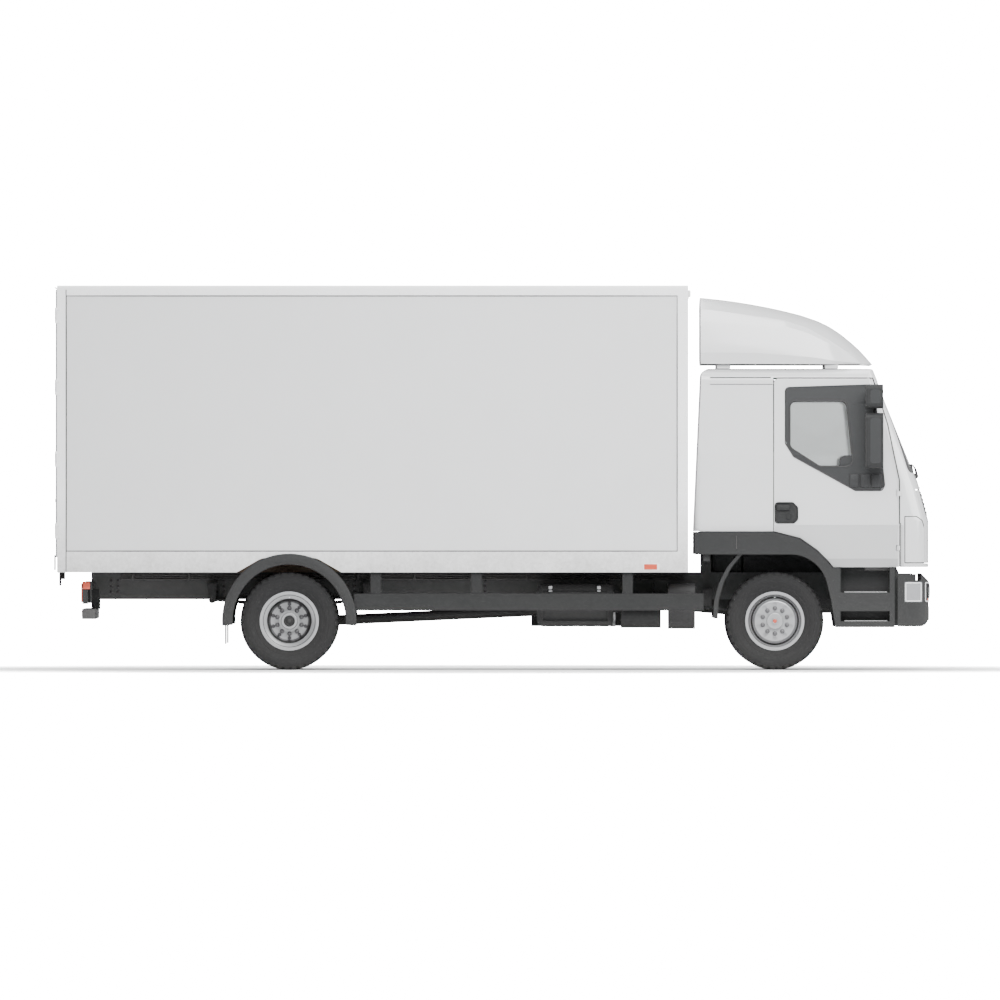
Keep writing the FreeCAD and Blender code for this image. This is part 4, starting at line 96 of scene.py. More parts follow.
def rear_skin(node, y, z):
    """Place and normal of a solid's outside, seen from the rear."""
    return skin(node, (BEHIND_X, y, z), (1, 0, 0))


def top_skin(node, x, y, z):
    """Place of a solid's skin below a point."""
    return skin(node, (x, y, z), (0, 0, -1))[0]


# %% [markdown]
# New pieces are made with the same operators as by hand. Operators act on whatever is selected,
# so each piece starts with a clean selection, and faces are picked by where they are or where
# they look.


# %% Modelling helpers
def fresh():
    """Leave edit mode and select nothing."""
    if bpy.context.object and bpy.context.object.mode != "OBJECT":
        bpy.ops.object.mode_set(mode="OBJECT")
    bpy.ops.object.select_all(action="DESELECT")


def active(piece):
    """Select one piece only."""
    fresh()
    piece.select_set(True)
    bpy.context.view_layer.objects.active = piece


def settle(piece):
    """Put the piece's place, turn and size into its mesh."""
    active(piece)
    bpy.ops.object.transform_apply(location=True, rotation=True, scale=True)


def modify(piece, kind, **values):
    """Add a modifier, set it up and apply it."""
    active(piece)
    modifier = piece.modifiers.new(kind.title(), kind)
    for name, value in values.items():
        setattr(modifier, name, value)
    bpy.ops.object.modifier_apply(modifier=modifier.name)


def block(name, low, high, bevel=0.0, segments=2):
    """Block between two corners with rounded edges."""
    low, high = Vector(low), Vector(high)
    fresh()
    bpy.ops.mesh.primitive_cube_add(size=1, location=(low + high) / 2)
    piece = bpy.context.object
    piece.name = name
    piece.scale = [abs(a) for a in high - low]
    settle(piece)
    if bevel:
        modify(piece, "BEVEL", width=bevel, segments=segments, limit_method="ANGLE")
    return piece


def drum(name, centre, radius, depth, axis, sides=48, bevel=0.0):
    """Round bar about its centre, along an axis vector."""
    fresh()
    turn = Vector((0, 0, 1)).rotation_difference(Vector(axis)).to_euler()
    bpy.ops.mesh.primitive_cylinder_add(vertices=sides, radius=radius, depth=depth,
                                        location=centre, rotation=turn)
    piece = bpy.context.object
    piece.name = name
    settle(piece)
    if bevel:
        modify(piece, "BEVEL", width=bevel, segments=2, limit_method="ANGLE",
               angle_limit=math.radians(50))
    return piece


def tube(name, points, radius, closed=False, resolution=2):
    """Round wire or seal through points, turned into a mesh."""
    curve = bpy.data.curves.new(name, "CURVE")
    curve.dimensions = "3D"
    curve.bevel_depth = radius
    curve.bevel_resolution = resolution
    curve.use_fill_caps = True
    line = curve.splines.new("POLY")
    line.points.add(len(points) - 1)
    for point, place in zip(line.points, points):
        point.co = (*place, 1)
    line.use_cyclic_u = closed
    piece = bpy.data.objects.new(name, curve)
    bpy.context.scene.collection.objects.link(piece)
    active(piece)
    bpy.ops.object.convert(target="MESH")
    bpy.ops.object.shade_smooth()
    return bpy.context.object


def join(name, pieces):
    """Several pieces as one."""
    fresh()
    for piece in pieces:
        piece.select_set(True)
    bpy.context.view_layer.objects.active = pieces[0]
    if len(pieces) > 1:
        bpy.ops.object.join()
    pieces[0].name = name
    pieces[0].data.name = name
    return pieces[0]


def copied(piece, name, change):
    """Copy with a mesh of its own, moved by a matrix; a mirrored one is turned right side out."""
    mesh = piece.data.copy()
    mesh.transform(change)
    if change.determinant() < 0:
        mesh.flip_normals()
    copy = bpy.data.objects.new(name, mesh)
    bpy.context.scene.collection.objects.link(copy)
    return copy


MIRROR_Y = Matrix.Scale(-1, 4, (0, 1, 0))
piece_count = 0


def fit(piece, body, material, smooth=None):
    """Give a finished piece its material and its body."""
    global piece_count
    active(piece)
    if smooth is not None:
        bpy.ops.object.shade_smooth_by_angle(angle=math.radians(smooth))
    piece.data.materials.clear()
    piece.data.materials.append(material)
    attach(piece, body)
    piece_count += 1
    return piece


def fit_both(piece, body, material, smooth=None):
    """Fit the left piece and its mirror image; a body ending in left gets its right twin."""
    twin = copied(piece, piece.name.replace("left", "right"), MIRROR_Y)
    fit(piece, body, material, smooth)
    fit(twin, body.replace("left", "right"), material, smooth)


def rubber_both(name, points, radius, body, closed=False):
    """Rubber line on both sides."""
    fit_both(tube(name, points, radius, closed), body, seal_rubber)


def select_faces(piece, test):
    """In edit mode, select the faces that pass a test of centre and normal."""
    bpy.ops.object.mode_set(mode="EDIT")
    bpy.ops.mesh.select_mode(type="FACE")
    bpy.ops.mesh.select_all(action="DESELECT")
    bpy.ops.object.mode_set(mode="OBJECT")
    for face in piece.data.polygons:
        face.select = bool(test(face.center, face.normal))
    bpy.ops.object.mode_set(mode="EDIT")


def press_in(piece, test, *steps):
    """Inset the faces that pass a test, once for each (thickness, depth)."""
    select_faces(piece, test)
    for thickness, depth in steps:
        bpy.ops.mesh.inset(thickness=thickness, depth=depth)
    bpy.ops.object.mode_set(mode="OBJECT")


# %% [markdown]
# A skin patch is a thin cover that follows a panel: a copy of the solid's mesh is merged, trimmed
# with bisect planes along a convex outline, and given a small thickness. That is how a film, a
# painted band or a plastic surround sits on a curved door.


# %% Skin patches
def skin_patch(name, node, look, outline, lift, across=("x", "z")):
    """Cover over the faces of a solid that look one way, inside a convex outline in two axes."""
    piece = bpy.data.objects.new(name, nodes[node].data.copy())
    bpy.context.scene.collection.objects.link(piece)
    active(piece)
    bpy.ops.object.mode_set(mode="EDIT")
    bpy.ops.mesh.select_all(action="SELECT")
    bpy.ops.mesh.remove_doubles(threshold=0.00005)
    bpy.ops.object.mode_set(mode="OBJECT")
    look = Vector(look)
    select_faces(piece, lambda centre, normal: normal.dot(look) < 0.25)
    bpy.ops.mesh.delete(type="FACE")
    axes = ["xyz".index(letter) for letter in across]
    middle = [sum(corner[i] for corner in outline) / len(outline) for i in (0, 1)]
    for i, corner in enumerate(outline):
        after = outline[(i + 1) % len(outline)]
        along = Vector((after[0] - corner[0], after[1] - corner[1]))
        out = Vector((along.y, -along.x))
        if out.dot(Vector((middle[0] - corner[0], middle[1] - corner[1]))) > 0:
            out = -out
        place, normal = [0, 0, 0], [0, 0, 0]
        for k, axis in enumerate(axes):
            place[axis], normal[axis] = corner[k], out[k]
        bpy.ops.mesh.select_all(action="SELECT")
        bpy.ops.mesh.bisect(plane_co=place, plane_no=normal, clear_outer=True)
    bpy.ops.object.mode_set(mode="OBJECT")
    modify(piece, "SOLIDIFY", thickness=lift, offset=1.0)
    return piece


def patch_both(name, node, look, outline, lift, body, material, smooth=30, across=("x", "z")):
    """Skin patch on both sides."""
    fit_both(skin_patch(name, node, look, outline, lift, across), body, material, smooth)


def rectangle(u0, v0, u1, v1):
    """Outline of an upright rectangle from its low and its high corner."""
    return [(u0, v0), (u1, v0), (u1, v1), (u0, v1)]


def rounded(corners, radius, steps=5):
    """Outline with its corners turned into short arcs."""
    points = []
    for i, corner in enumerate(corners):
        here = Vector(corner)
        to_last = Vector(corners[i - 1]) - here
        to_next = Vector(corners[(i + 1) % len(corners)]) - here
        back, ahead = to_last.normalized(), to_next.normalized()
        half = back.angle(ahead) / 2
        reach = min(radius / math.tan(half), to_last.length / 2.2, to_next.length / 2.2)
        centre = here + (back + ahead).normalized() * (reach / math.cos(half))
        start = here + back * reach - centre
        end = here + ahead * reach - centre
        sweep = start.angle_signed(end)
        for k in range(steps + 1):
            turn = -sweep * k / steps
            points.append(centre + Vector((start.x * math.cos(turn) - start.y * math.sin(turn),
                                           start.x * math.sin(turn) + start.y * math.cos(turn))))
    return [(p.x, p.y) for p in points]


def along_outline(outline, spacing):
    """Evenly spread points on a closed outline."""
    points = []
    for i, corner in enumerate(outline):
        a, b = Vector(corner), Vector(outline[(i + 1) % len(outline)])
        count = max(1, round((b - a).length / spacing))
        points += [a.lerp(b, k / count) for k in range(count)]
    return points


# %% [markdown]
# Finishes come next. Three effects turn up on almost every surface of a working truck: a darkening
# that is thicker low down, partly road dust and partly painted shade, a fine grain or orange peel,
# and faint scratches. Each is one shader node group with named inputs, built once and set
# differently in each material. Everything reads Object coordinates, which are the truck's own
# metres here.


# %% Shader groups
def new_group(name, inputs, outputs):
    """Empty shader node group with typed sockets."""
    group = bpy.data.node_groups.new(name, "ShaderNodeTree")
    for label, kind, value in inputs:
        socket = group.interface.new_socket(label, in_out="INPUT", socket_type=kind)
        socket.default_value = value
    for label, kind in outputs:
        group.interface.new_socket(label, in_out="OUTPUT", socket_type=kind)
    return group, group.nodes.new("NodeGroupInput"), group.nodes.new("NodeGroupOutput")


def feed(tree, socket, value):
    """Link a socket to another one, or set its value."""
    if isinstance(value, bpy.types.NodeSocket):
        tree.links.new(value, socket)
    else:
        socket.default_value = value


def put(tree, kind, **values):
    """Node with its properties set and its inputs fed."""
    node = tree.nodes.new(kind)
    for name, value in values.items():
        if name in node.inputs:
            feed(tree, node.inputs[name], value)
        else:
            setattr(node, name, value)
    return node


def math_node(tree, operation, a, b, clamp=False):
    """Math node fed by sockets or numbers."""
    node = put(tree, "ShaderNodeMath", operation=operation, use_clamp=clamp)
    feed(tree, node.inputs[0], a)
    feed(tree, node.inputs[1], b)
    return node.outputs[0]


def noise(tree, vector, scale, detail=3.0, roughness=0.55):
    """Noise texture on a vector."""
    return put(tree, "ShaderNodeTexNoise", Detail=detail, Roughness=roughness, Scale=scale,
               Vector=vector).outputs["Fac"]


def make_dust_and_shade_group():
    """Mask of road dust and painted shade: thick near the road, thin above, broken up by noise."""
    group, start, end = new_group(
        "road_dust_and_shade",
        [("Vector", "NodeSocketVector", (0, 0, 0)), ("Top", "NodeSocketFloat", 1.2),
         ("Amount", "NodeSocketFloat", 0.4)],
        [("Mask", "NodeSocketFloat")])
    vector, top, amount = start.outputs[:3]
    up = put(group, "ShaderNodeSeparateXYZ", Vector=vector).outputs["Z"]
    height = math_node(group, "DIVIDE", up, top, clamp=True)
    low = math_node(group, "SUBTRACT", 1.0, height, clamp=True)
    spread, fine = noise(group, vector, 3.1, 5.0, 0.65), noise(group, vector, 38.0, 3.0, 0.6)
    blend = math_node(group, "MULTIPLY", math_node(group, "ADD", spread, fine), 0.85)
    cover = math_node(group, "MULTIPLY", low, blend)
    feed(group, end.inputs["Mask"], math_node(group, "MULTIPLY", cover, amount, clamp=True))
    return group


def make_grain_group():
    """Fine grain: one value for bump and one for roughness."""
    group, start, end = new_group(
        "fine_grain",
        [("Vector", "NodeSocketVector", (0, 0, 0)), ("Scale", "NodeSocketFloat", 400.0)],
        [("Height", "NodeSocketFloat"), ("Patches", "NodeSocketFloat")])
    vector, scale = start.outputs[:2]
    feed(group, end.inputs["Height"], noise(group, vector, scale, 2.0))
    feed(group, end.inputs["Patches"], noise(group, vector, 2.3, 4.0, 0.6))
    return group


def make_scratch_group():
    """Thin stretched scratches as a mask."""
    group, start, end = new_group(
        "scratches",
        [("Vector", "NodeSocketVector", (0, 0, 0)), ("Density", "NodeSocketFloat", 9.0)],
        [("Mask", "NodeSocketFloat")])
    vector, density = start.outputs[:2]
    turned = put(group, "ShaderNodeMapping", Rotation=(0.4, 0.2, 0.7), Scale=(1.0, 14.0, 14.0),
                 Vector=vector)
    lines = noise(group, turned.outputs["Vector"], density, 4.0, 0.7)
    sharp = math_node(group, "GREATER_THAN", lines, 0.66)
    soft = math_node(group, "MULTIPLY", sharp, math_node(group, "SUBTRACT", lines, 0.5))
    feed(group, end.inputs["Mask"], math_node(group, "MULTIPLY", soft, 3.0, clamp=True))
    return group


dust_and_shade_group = make_dust_and_shade_group()
grain_group = make_grain_group()
scratch_group = make_scratch_group()
print("shader groups:", [group.name for group in bpy.data.node_groups if group.type == "SHADER"])

# %% [markdown]
# One function lays down a finish: a base colour that varies a little over the panel, dust and
# painted shade on top of it, darker towards the bottom, grain in the bump, and scratches that are
# slightly lighter and rougher. The numbers that are the same all over stay on the shader's own
# sockets.


# %% Surface finishes
# Grey that the dust mask mixes in, for road dust and for painted shade low down.
DUST_AND_SHADE_COLOUR = (0.29, 0.283, 0.270, 1)
FILM = {"grain": 900, "relief": 0.004, "relief_size": 0.0002}


def new_material(name, **values):
    """Material with values on its shader, and the truck's own coordinates."""
    material = bpy.data.materials.new(name)
    material.use_nodes = True
    tree = material.node_tree
    shader = tree.nodes["Principled BSDF"]
    for label, value in values.items():
        shader.inputs[label.replace("_", " ")].default_value = value
    return material, tree, shader, put(tree, "ShaderNodeTexCoord").outputs["Object"]


def mix(tree, share, first, second):
    """Mix of two colours."""
    node = put(tree, "ShaderNodeMix", data_type="RGBA")
    for index, value in ((0, share), (6, first), (7, second)):
        feed(tree, node.inputs[index], value)
    return node.outputs[2]


def tint(colour, share, extra=0.0):
    """Lighter or darker colour with its alpha."""
    return [min(1.0, c * share + extra) for c in colour] + [1]


def finish(name, colour, rough, metal=0.0, coat=0.0, dust_and_shade=0.25, dust_and_shade_top=1.3, grain=300.0,
           relief=0.02, relief_size=0.0004, variation=0.05, scratch=0.12, shine=0.5, pattern=None):
    """Principled material with varied colour, dust and painted shade low down, grain and scratches."""
    material, tree, shader, place = new_material(
        name, Metallic=metal, Coat_Weight=coat, Coat_Roughness=0.08, Specular_IOR_Level=shine)
    grains = put(tree, "ShaderNodeGroup", node_tree=grain_group, Scale=grain, Vector=place).outputs
    dust_and_shade_mask = put(tree, "ShaderNodeGroup", node_tree=dust_and_shade_group, Top=dust_and_shade_top, Amount=dust_and_shade,
                Vector=place).outputs["Mask"]
    scratched = put(tree, "ShaderNodeGroup", node_tree=scratch_group, Vector=place).outputs["Mask"]
    base = mix(tree, grains["Patches"], tint(colour, 1 - variation), tint(colour, 1 + variation))
    worn = mix(tree, math_node(tree, "MULTIPLY", scratched, scratch), base, tint(colour, 1.5, 0.05))
    feed(tree, shader.inputs["Base Color"], mix(tree, dust_and_shade_mask, worn, DUST_AND_SHADE_COLOUR))
    rougher = math_node(tree, "MULTIPLY", dust_and_shade_mask, 0.5)
    patch = math_node(tree, "MULTIPLY", math_node(tree, "SUBTRACT", grains["Patches"], 0.5), 0.12)
    total = math_node(tree, "ADD", math_node(tree, "ADD", rougher, patch), rough, clamp=True)
    feed(tree, shader.inputs["Roughness"], total)
    height = grains["Height"]
    if pattern:
        height = math_node(tree, "ADD", math_node(tree, "MULTIPLY", height, 0.25), pattern(tree, place))
    bump = put(tree, "ShaderNodeBump", Strength=min(1.0, relief * 10), Distance=relief_size,
               Height=height)
    feed(tree, shader.inputs["Normal"], bump.outputs["Normal"])
    return material


# %% [markdown]
# Some surfaces carry a regular pattern in their relief: the lines of brushed metal, woven cloth,
# the lozenges of a tread plate and the cells of a gauze. Each is a function that a finish calls.


# %% Relief patterns
def waves(direction, scale, distortion=0.0):
    """Bands along one axis, for brushed metal, planks or cloth."""
    def build(tree, place):
        return put(tree, "ShaderNodeTexWave", bands_direction=direction, Scale=scale,
                   Distortion=distortion, Detail=2.0, Vector=place).outputs["Fac"]
    return build


def weave(scale):
    """Crossed bands of a woven cloth."""
    def build(tree, place):
        first, second, third = [waves(axis, scale)(tree, place) for axis in "XZY"]
        return math_node(tree, "MAXIMUM", math_node(tree, "MAXIMUM", first, second), third)
    return build


def checker_plate(tree, place):
    """Raised lozenges of a tread plate."""
    turned = put(tree, "ShaderNodeMapping", Rotation=(0, 0, math.radians(45)), Scale=(42, 42, 42),
                 Vector=place)
    node = put(tree, "ShaderNodeTexVoronoi", distance="MANHATTAN", Scale=1.0, Randomness=0.0,
               Vector=turned.outputs["Vector"])
    return math_node(tree, "LESS_THAN", node.outputs["Distance"], 0.32)


def honeycomb(tree, place):
    """Fine mesh of cells for radiator gauze."""
    node = put(tree, "ShaderNodeTexVoronoi", feature="DISTANCE_TO_EDGE", Scale=90.0, Randomness=0.15,
               Vector=place)
    return math_node(tree, "LESS_THAN", node.outputs["Distance"], 0.12)


# %% [markdown]
# With both in hand, each real material of the truck is one line: its colour, its roughness and
# how much dust and painted shade, grain and wear it has. The cab's paint comes in three shades: the
# two darker ones are painted shade for the lower door, which turns in towards the road and looks
# darker.

# %% Finishes of the truck
cab_paint = finish("cab_paint", (0.67, 0.675, 0.68), 0.24, coat=0.7, dust_and_shade=0.2, dust_and_shade_top=1.45,
                   variation=0.012, scratch=0.03, **FILM)
# Two darker copies of the cab paint: painted shade for the lower door and its bottom band, which turn in
# towards the road.
painted_shade_paint = finish("cab_paint_painted_shade", (0.50, 0.505, 0.51), 0.3, coat=0.5, dust_and_shade=0.35, dust_and_shade_top=1.6,
                   variation=0.012, scratch=0.03, **FILM)
painted_deep_shade_paint = finish("cab_paint_sill", (0.37, 0.375, 0.38), 0.34, coat=0.4, dust_and_shade=0.4, dust_and_shade_top=1.6,
                    variation=0.015, scratch=0.04, **FILM)
panel_coat = finish("box_panel_coat", (0.69, 0.695, 0.70), 0.34, coat=0.25, dust_and_shade=0.16, dust_and_shade_top=2.4,
                    grain=160, relief_size=0.0003, variation=0.02, scratch=0.05)
# The very high dust setting here is painted shade: the lower rail, near the road, comes out much darker
# than the top rail of the same alloy.
rail_alloy = finish("anodised_rail", (0.94, 0.945, 0.95), 0.36, dust_and_shade=1.5, dust_and_shade_top=1.55, grain=500,
                    relief=0.03, variation=0.03, pattern=waves("Z", 900, 1.5))
galvanised = finish("galvanised_steel", (0.52, 0.53, 0.54), 0.42, metal=0.85, grain=60, relief=0.04,
                    variation=0.12, scratch=0.2)
chassis_black = finish("chassis_black", (0.012, 0.0125, 0.013), 0.55, dust_and_shade=0.07, shine=0.2,
                       dust_and_shade_top=1.1, grain=220, relief=0.05, variation=0.2, scratch=0.25)
# The frame's black is painted lighter than the other chassis black: painted light for the frame, which
# sits in shade under the body.
frame_paint_painted_light = finish("frame_paint_painted_light", (0.050, 0.051, 0.052), 0.55, dust_and_shade=0.12, shine=0.25, dust_and_shade_top=1.1,
                     grain=220, relief=0.05, variation=0.15, scratch=0.2)
cast_black = finish("cast_iron_black", (0.020, 0.020, 0.021), 0.62, metal=0.3, dust_and_shade=0.12, dust_and_shade_top=1.0,
                    grain=120, relief=0.12, relief_size=0.0012, variation=0.25, scratch=0.1)
wheel_silver = finish("wheel_silver", (0.36, 0.365, 0.375), 0.34, metal=0.7, coat=0.2, dust_and_shade=0.3,
                      dust_and_shade_top=0.95, grain=500, variation=0.04, scratch=0.15)
tyre_rubber = finish("tyre_rubber", (0.016, 0.016, 0.0165), 0.78, dust_and_shade=0.05, shine=0.15, dust_and_shade_top=0.95,
                     grain=260, relief=0.08, relief_size=0.0006, variation=0.2, scratch=0.0)
dark_plastic = finish("grained_plastic", (0.020, 0.0205, 0.021), 0.6, dust_and_shade=0.06, shine=0.22, dust_and_shade_top=1.4,
                      grain=700, relief=0.09, relief_size=0.0005, variation=0.1, scratch=0.1)
grey_plastic = finish("grey_plastic", (0.028, 0.029, 0.030), 0.5, dust_and_shade=0.06, shine=0.25, dust_and_shade_top=1.4,
                      grain=700, relief=0.07, variation=0.08, scratch=0.08)
trim_plastic = finish("cab_trim_plastic", (0.20, 0.20, 0.21), 0.6, dust_and_shade=0.0, grain=650, relief=0.08,
                      scratch=0.02)
seal_rubber = finish("seal_rubber", (0.02, 0.02, 0.021), 0.6, dust_and_shade=0.15, dust_and_shade_top=2.5, grain=350,
                     relief=0.04, variation=0.1, scratch=0.0)
floor_ply = finish("coated_ply", (0.13, 0.09, 0.06), 0.6, dust_and_shade=0.1, dust_and_shade_top=2.0, grain=120, relief=0.08,
                   variation=0.3, pattern=waves("Y", 14, 4.0))
tread_plate = finish("tread_plate", (0.40, 0.405, 0.41), 0.4, metal=0.6, dust_and_shade=0.45, dust_and_shade_top=1.2,
                     relief=0.08, relief_size=0.0025, variation=0.1, scratch=0.25, pattern=checker_plate)
seat_cloth = finish("seat_cloth", (0.075, 0.085, 0.11), 0.9, dust_and_shade=0.0, grain=500, relief=0.09,
                    relief_size=0.0008, variation=0.15, scratch=0.0, pattern=weave(260))
gauze = finish("radiator_gauze", (0.03, 0.03, 0.032), 0.5, metal=0.4, dust_and_shade=0.3, dust_and_shade_top=2.0, grain=200,
               relief=0.1, relief_size=0.004, variation=0.2, pattern=honeycomb)
nut_steel = finish("nut_steel", (0.11, 0.11, 0.115), 0.35, metal=0.7, dust_and_shade=0.1, relief=0.03,
                   variation=0.1)
chrome = finish("bright_metal", (0.80, 0.81, 0.82), 0.12, metal=1.0, dust_and_shade=0.1, grain=900, relief=0.005,
                relief_size=0.0001, variation=0.02, scratch=0.05)
plate_blank = finish("blank_plate", (0.72, 0.72, 0.70), 0.45, dust_and_shade=0.35, dust_and_shade_top=1.2, grain=600,
                     variation=0.03, scratch=0.1)
lamp_body = finish("lamp_reflector", (0.44, 0.445, 0.46), 0.18, metal=0.5, coat=0.6, dust_and_shade=0.15,
                   grain=120, relief=0.01, variation=0.03, scratch=0.02, pattern=waves("X", 60))
print("opaque finishes up to", lamp_body.name)

# %% [markdown]
# Lenses and window glass let light through or shine in one strong colour.


# %% Lenses and glass
def lens(name, colour, rough, through):
    """Moulded lamp lens or glass with a fine ripple and a little dust."""
    material, tree, shader, place = new_material(
        name, Transmission_Weight=through, IOR=1.49, Coat_Weight=0.5)
    dust_and_shade_mask = put(tree, "ShaderNodeGroup", node_tree=dust_and_shade_group, Top=1.6, Amount=0.16,
                Vector=place).outputs["Mask"]
    grains = put(tree, "ShaderNodeGroup", node_tree=grain_group, Scale=240.0, Vector=place).outputs
    feed(tree, shader.inputs["Base Color"], mix(tree, dust_and_shade_mask, (*colour, 1), DUST_AND_SHADE_COLOUR))
    cloud = math_node(tree, "MULTIPLY", dust_and_shade_mask, 0.5)
    feed(tree, shader.inputs["Roughness"], math_node(tree, "ADD", cloud, rough))
    bump = put(tree, "ShaderNodeBump", Strength=0.08 if through > 0.9 else 0.3, Distance=0.0006,
               Height=grains["Height"])
    feed(tree, shader.inputs["Normal"], bump.outputs["Normal"])
    return material


clear_glass = lens("window_glass", (0.93, 0.95, 0.945), 0.02, 0.97)
lamp_glass = lens("clear_lens", (0.92, 0.93, 0.95), 0.05, 0.92)
amber_lens = lens("amber_lens", (0.50, 0.036, 0.001), 0.4, 0.0)
red_lens = lens("red_lens", (0.42, 0.006, 0.005), 0.2, 0.0)
white_lens = lens("white_lens", (0.80, 0.80, 0.78), 0.2, 0.0)
mirror_face = finish("mirror_glass", (0.83, 0.85, 0.86), 0.03, metal=1.0, dust_and_shade=0.08, dust_and_shade_top=4.0,
                     grain=60, relief=0.001, relief_size=0.0001, variation=0.01, scratch=0.0)
print(len([m for m in bpy.data.materials if m.use_nodes]), "finishes")

# %% [markdown]
# The solids that came with the frame keep their meshes. Only the material in each one's slot is
# swapped, so every panel, rail and casting gets its finish without being touched.

# %% Paint the solids
PAIR = ("_left", "_right")
FINISH_OF = {
    cab_paint: ["cab_roof", "cab_back", "cab_sides", "cab_front", "front_panel", "roof_deflector",
                *("door" + side for side in PAIR)],
    panel_coat: ["box_sides", "box_roof", "box_front_wall", *("rear_door" + side for side in PAIR)],
    rail_alloy: ["box_side_frames", "box_rear_frame"],
    galvanised: ["lock_bars" + side for side in PAIR],
    frame_paint_painted_light: ["frame"],
    chassis_black: ["battery_box", "air_tanks", "side_guards", "underrun_bar", "fuel_tank"],
    cast_black: ["track_rod", "front_axle", "rear_axle", "leaf_springs", "engine", "prop_shaft",
                 "silencer", *("knuckle" + side for side in PAIR)],
    wheel_silver: [name + side for name in ("front_wheel", "rear_wheels") for side in PAIR],
    tyre_rubber: [name + side for name in ("front_tyre", "rear_tyres") for side in PAIR],
    dark_plastic: ["wheel_arches", "front_mudguards", "rear_mudguards", "dashboard",
                   "steering_wheel", "tail_lamps", "bumper", *("mirror" + side for side in PAIR)],
    trim_plastic: ["cab_floor"],
    floor_ply: ["box_floor"],
    seat_cloth: ["seats"],
    clear_glass: ["windscreen", *("door_glass" + side for side in PAIR)],
    lamp_body: ["headlamps"],
}
painted = 0
for material, names in FINISH_OF.items():
    for name in names:
        for material_slot in nodes[name].material_slots:
            material_slot.material = material
        painted += 1
print("painted", painted, "of", len(nodes), "solids")

# %% [markdown]
# The floor is a wide pale disc whose rim fades out, so no horizon line shows. Broad area lights
# stand in for softboxes on both sides, because the truck is looked at from all around. The
# camera looks level from the side and from far away, with almost no perspective.


# %% Floor, light and camera
def make_floor():
    """Pale disc, solid near the truck and fading into the backdrop further out."""
    fresh()
    bpy.ops.mesh.primitive_circle_add(vertices=96, radius=60, fill_type="NGON", location=(0, 0, 0))
    floor = bpy.context.object
    floor.name = "studio_floor"
    material, tree, shader, place = new_material(
        "studio_floor", Roughness=0.85, Base_Color=(0.97, 0.97, 0.97, 1))
    length = put(tree, "ShaderNodeVectorMath", operation="LENGTH")
    feed(tree, length.inputs[0], place)
    fade = put(tree, "ShaderNodeMapRange", interpolation_type="SMOOTHSTEP",
               Value=length.outputs["Value"])
    for label, value in (("From Min", 4.1), ("From Max", 8.5), ("To Min", 1.0), ("To Max", 0.0)):
        fade.inputs[label].default_value = value
    feed(tree, shader.inputs["Alpha"], fade.outputs["Result"])
    floor.data.materials.append(material)


def add_light(name, place, target, width, height, power):
    """Softbox aimed at a point."""
    data = bpy.data.lights.new(name, "AREA")
    data.shape, data.size, data.size_y, data.energy = "RECTANGLE", width, height, power
    light = bpy.data.objects.new(name, data)
    light.location = place
    light.rotation_euler = (Vector(target) - Vector(place)).to_track_quat("-Z", "Y").to_euler()
    bpy.context.scene.collection.objects.link(light)


make_floor()
HEART = (0, 0, 1.6)
add_light("key_softbox", (4, -12, 9), HEART, 11, 6, 2950)
add_light("top_softbox", (0, 0, 12), (0, 0, 0), 12, 8, 1500)
add_light("left_softbox", (-3, 12, 8), HEART, 11, 6, 2000)
add_light("front_softbox", (13, 0, 6), HEART, 7, 5, 1000)
add_light("rear_softbox", (-13, 0, 6), HEART, 7, 5, 1000)
world = bpy.data.worlds.new("studio")
world.use_nodes = True
air = world.node_tree
ambient = air.nodes["Background"]
ambient.inputs["Color"].default_value = (0.98, 0.99, 1.0, 1)
ambient.inputs["Strength"].default_value = 0.95
backdrop = put(air, "ShaderNodeBackground", Color=(1, 1, 1, 1), Strength=22.0)
choose = put(air, "ShaderNodeMixShader")
seen = put(air, "ShaderNodeLightPath")
for source, socket in ((seen.outputs["Is Camera Ray"], choose.inputs[0]),
                       (ambient.outputs[0], choose.inputs[1]), (backdrop.outputs[0], choose.inputs[2]),
                       (choose.outputs[0], air.nodes["World Output"].inputs["Surface"])):
    air.links.new(source, socket)
bpy.context.scene.world = world

VIEW_PIXELS = 1000
METRES_PER_PIXEL = 0.00885
VIEW_MIDDLE_X, VIEW_HEIGHT = 0.0708, 1.5045
VIEW_DISTANCE = 240.0
SENSOR_MM = 36
camera_data = bpy.data.cameras.new("side_camera")
camera_data.sensor_width = SENSOR_MM
camera_data.lens = SENSOR_MM * VIEW_DISTANCE / (METRES_PER_PIXEL * VIEW_PIXELS)
camera_data.clip_end = 900
camera = bpy.data.objects.new("side_camera", camera_data)
camera.location = (VIEW_MIDDLE_X, box_low.y - VIEW_DISTANCE, VIEW_HEIGHT)
camera.rotation_euler = (math.radians(90), 0, 0)
bpy.context.scene.collection.objects.link(camera)
bpy.context.scene.camera = camera
print("camera lens", round(camera_data.lens, 1), "mm")

# %% [markdown]
# Anything round is turned from its half profile, as on a lathe: the profile starts as a ring of
# points from the circle primitive, each point is put in its place, and the Spin operator sweeps
# it round the axle. Points on the axle itself close the ends.


# %% Turned pieces and flat slabs
def ring_of_points(name, places):
    """Closed wire through given places, made from the circle primitive, in edit mode."""
    fresh()
    bpy.ops.mesh.primitive_circle_add(vertices=len(places), fill_type="NOTHING", location=(0, 0, 0))
    piece = bpy.context.object
    piece.name = name
    for vertex, place in zip(piece.data.vertices, places):
        vertex.co = place
    bpy.ops.object.mode_set(mode="EDIT")
    return piece


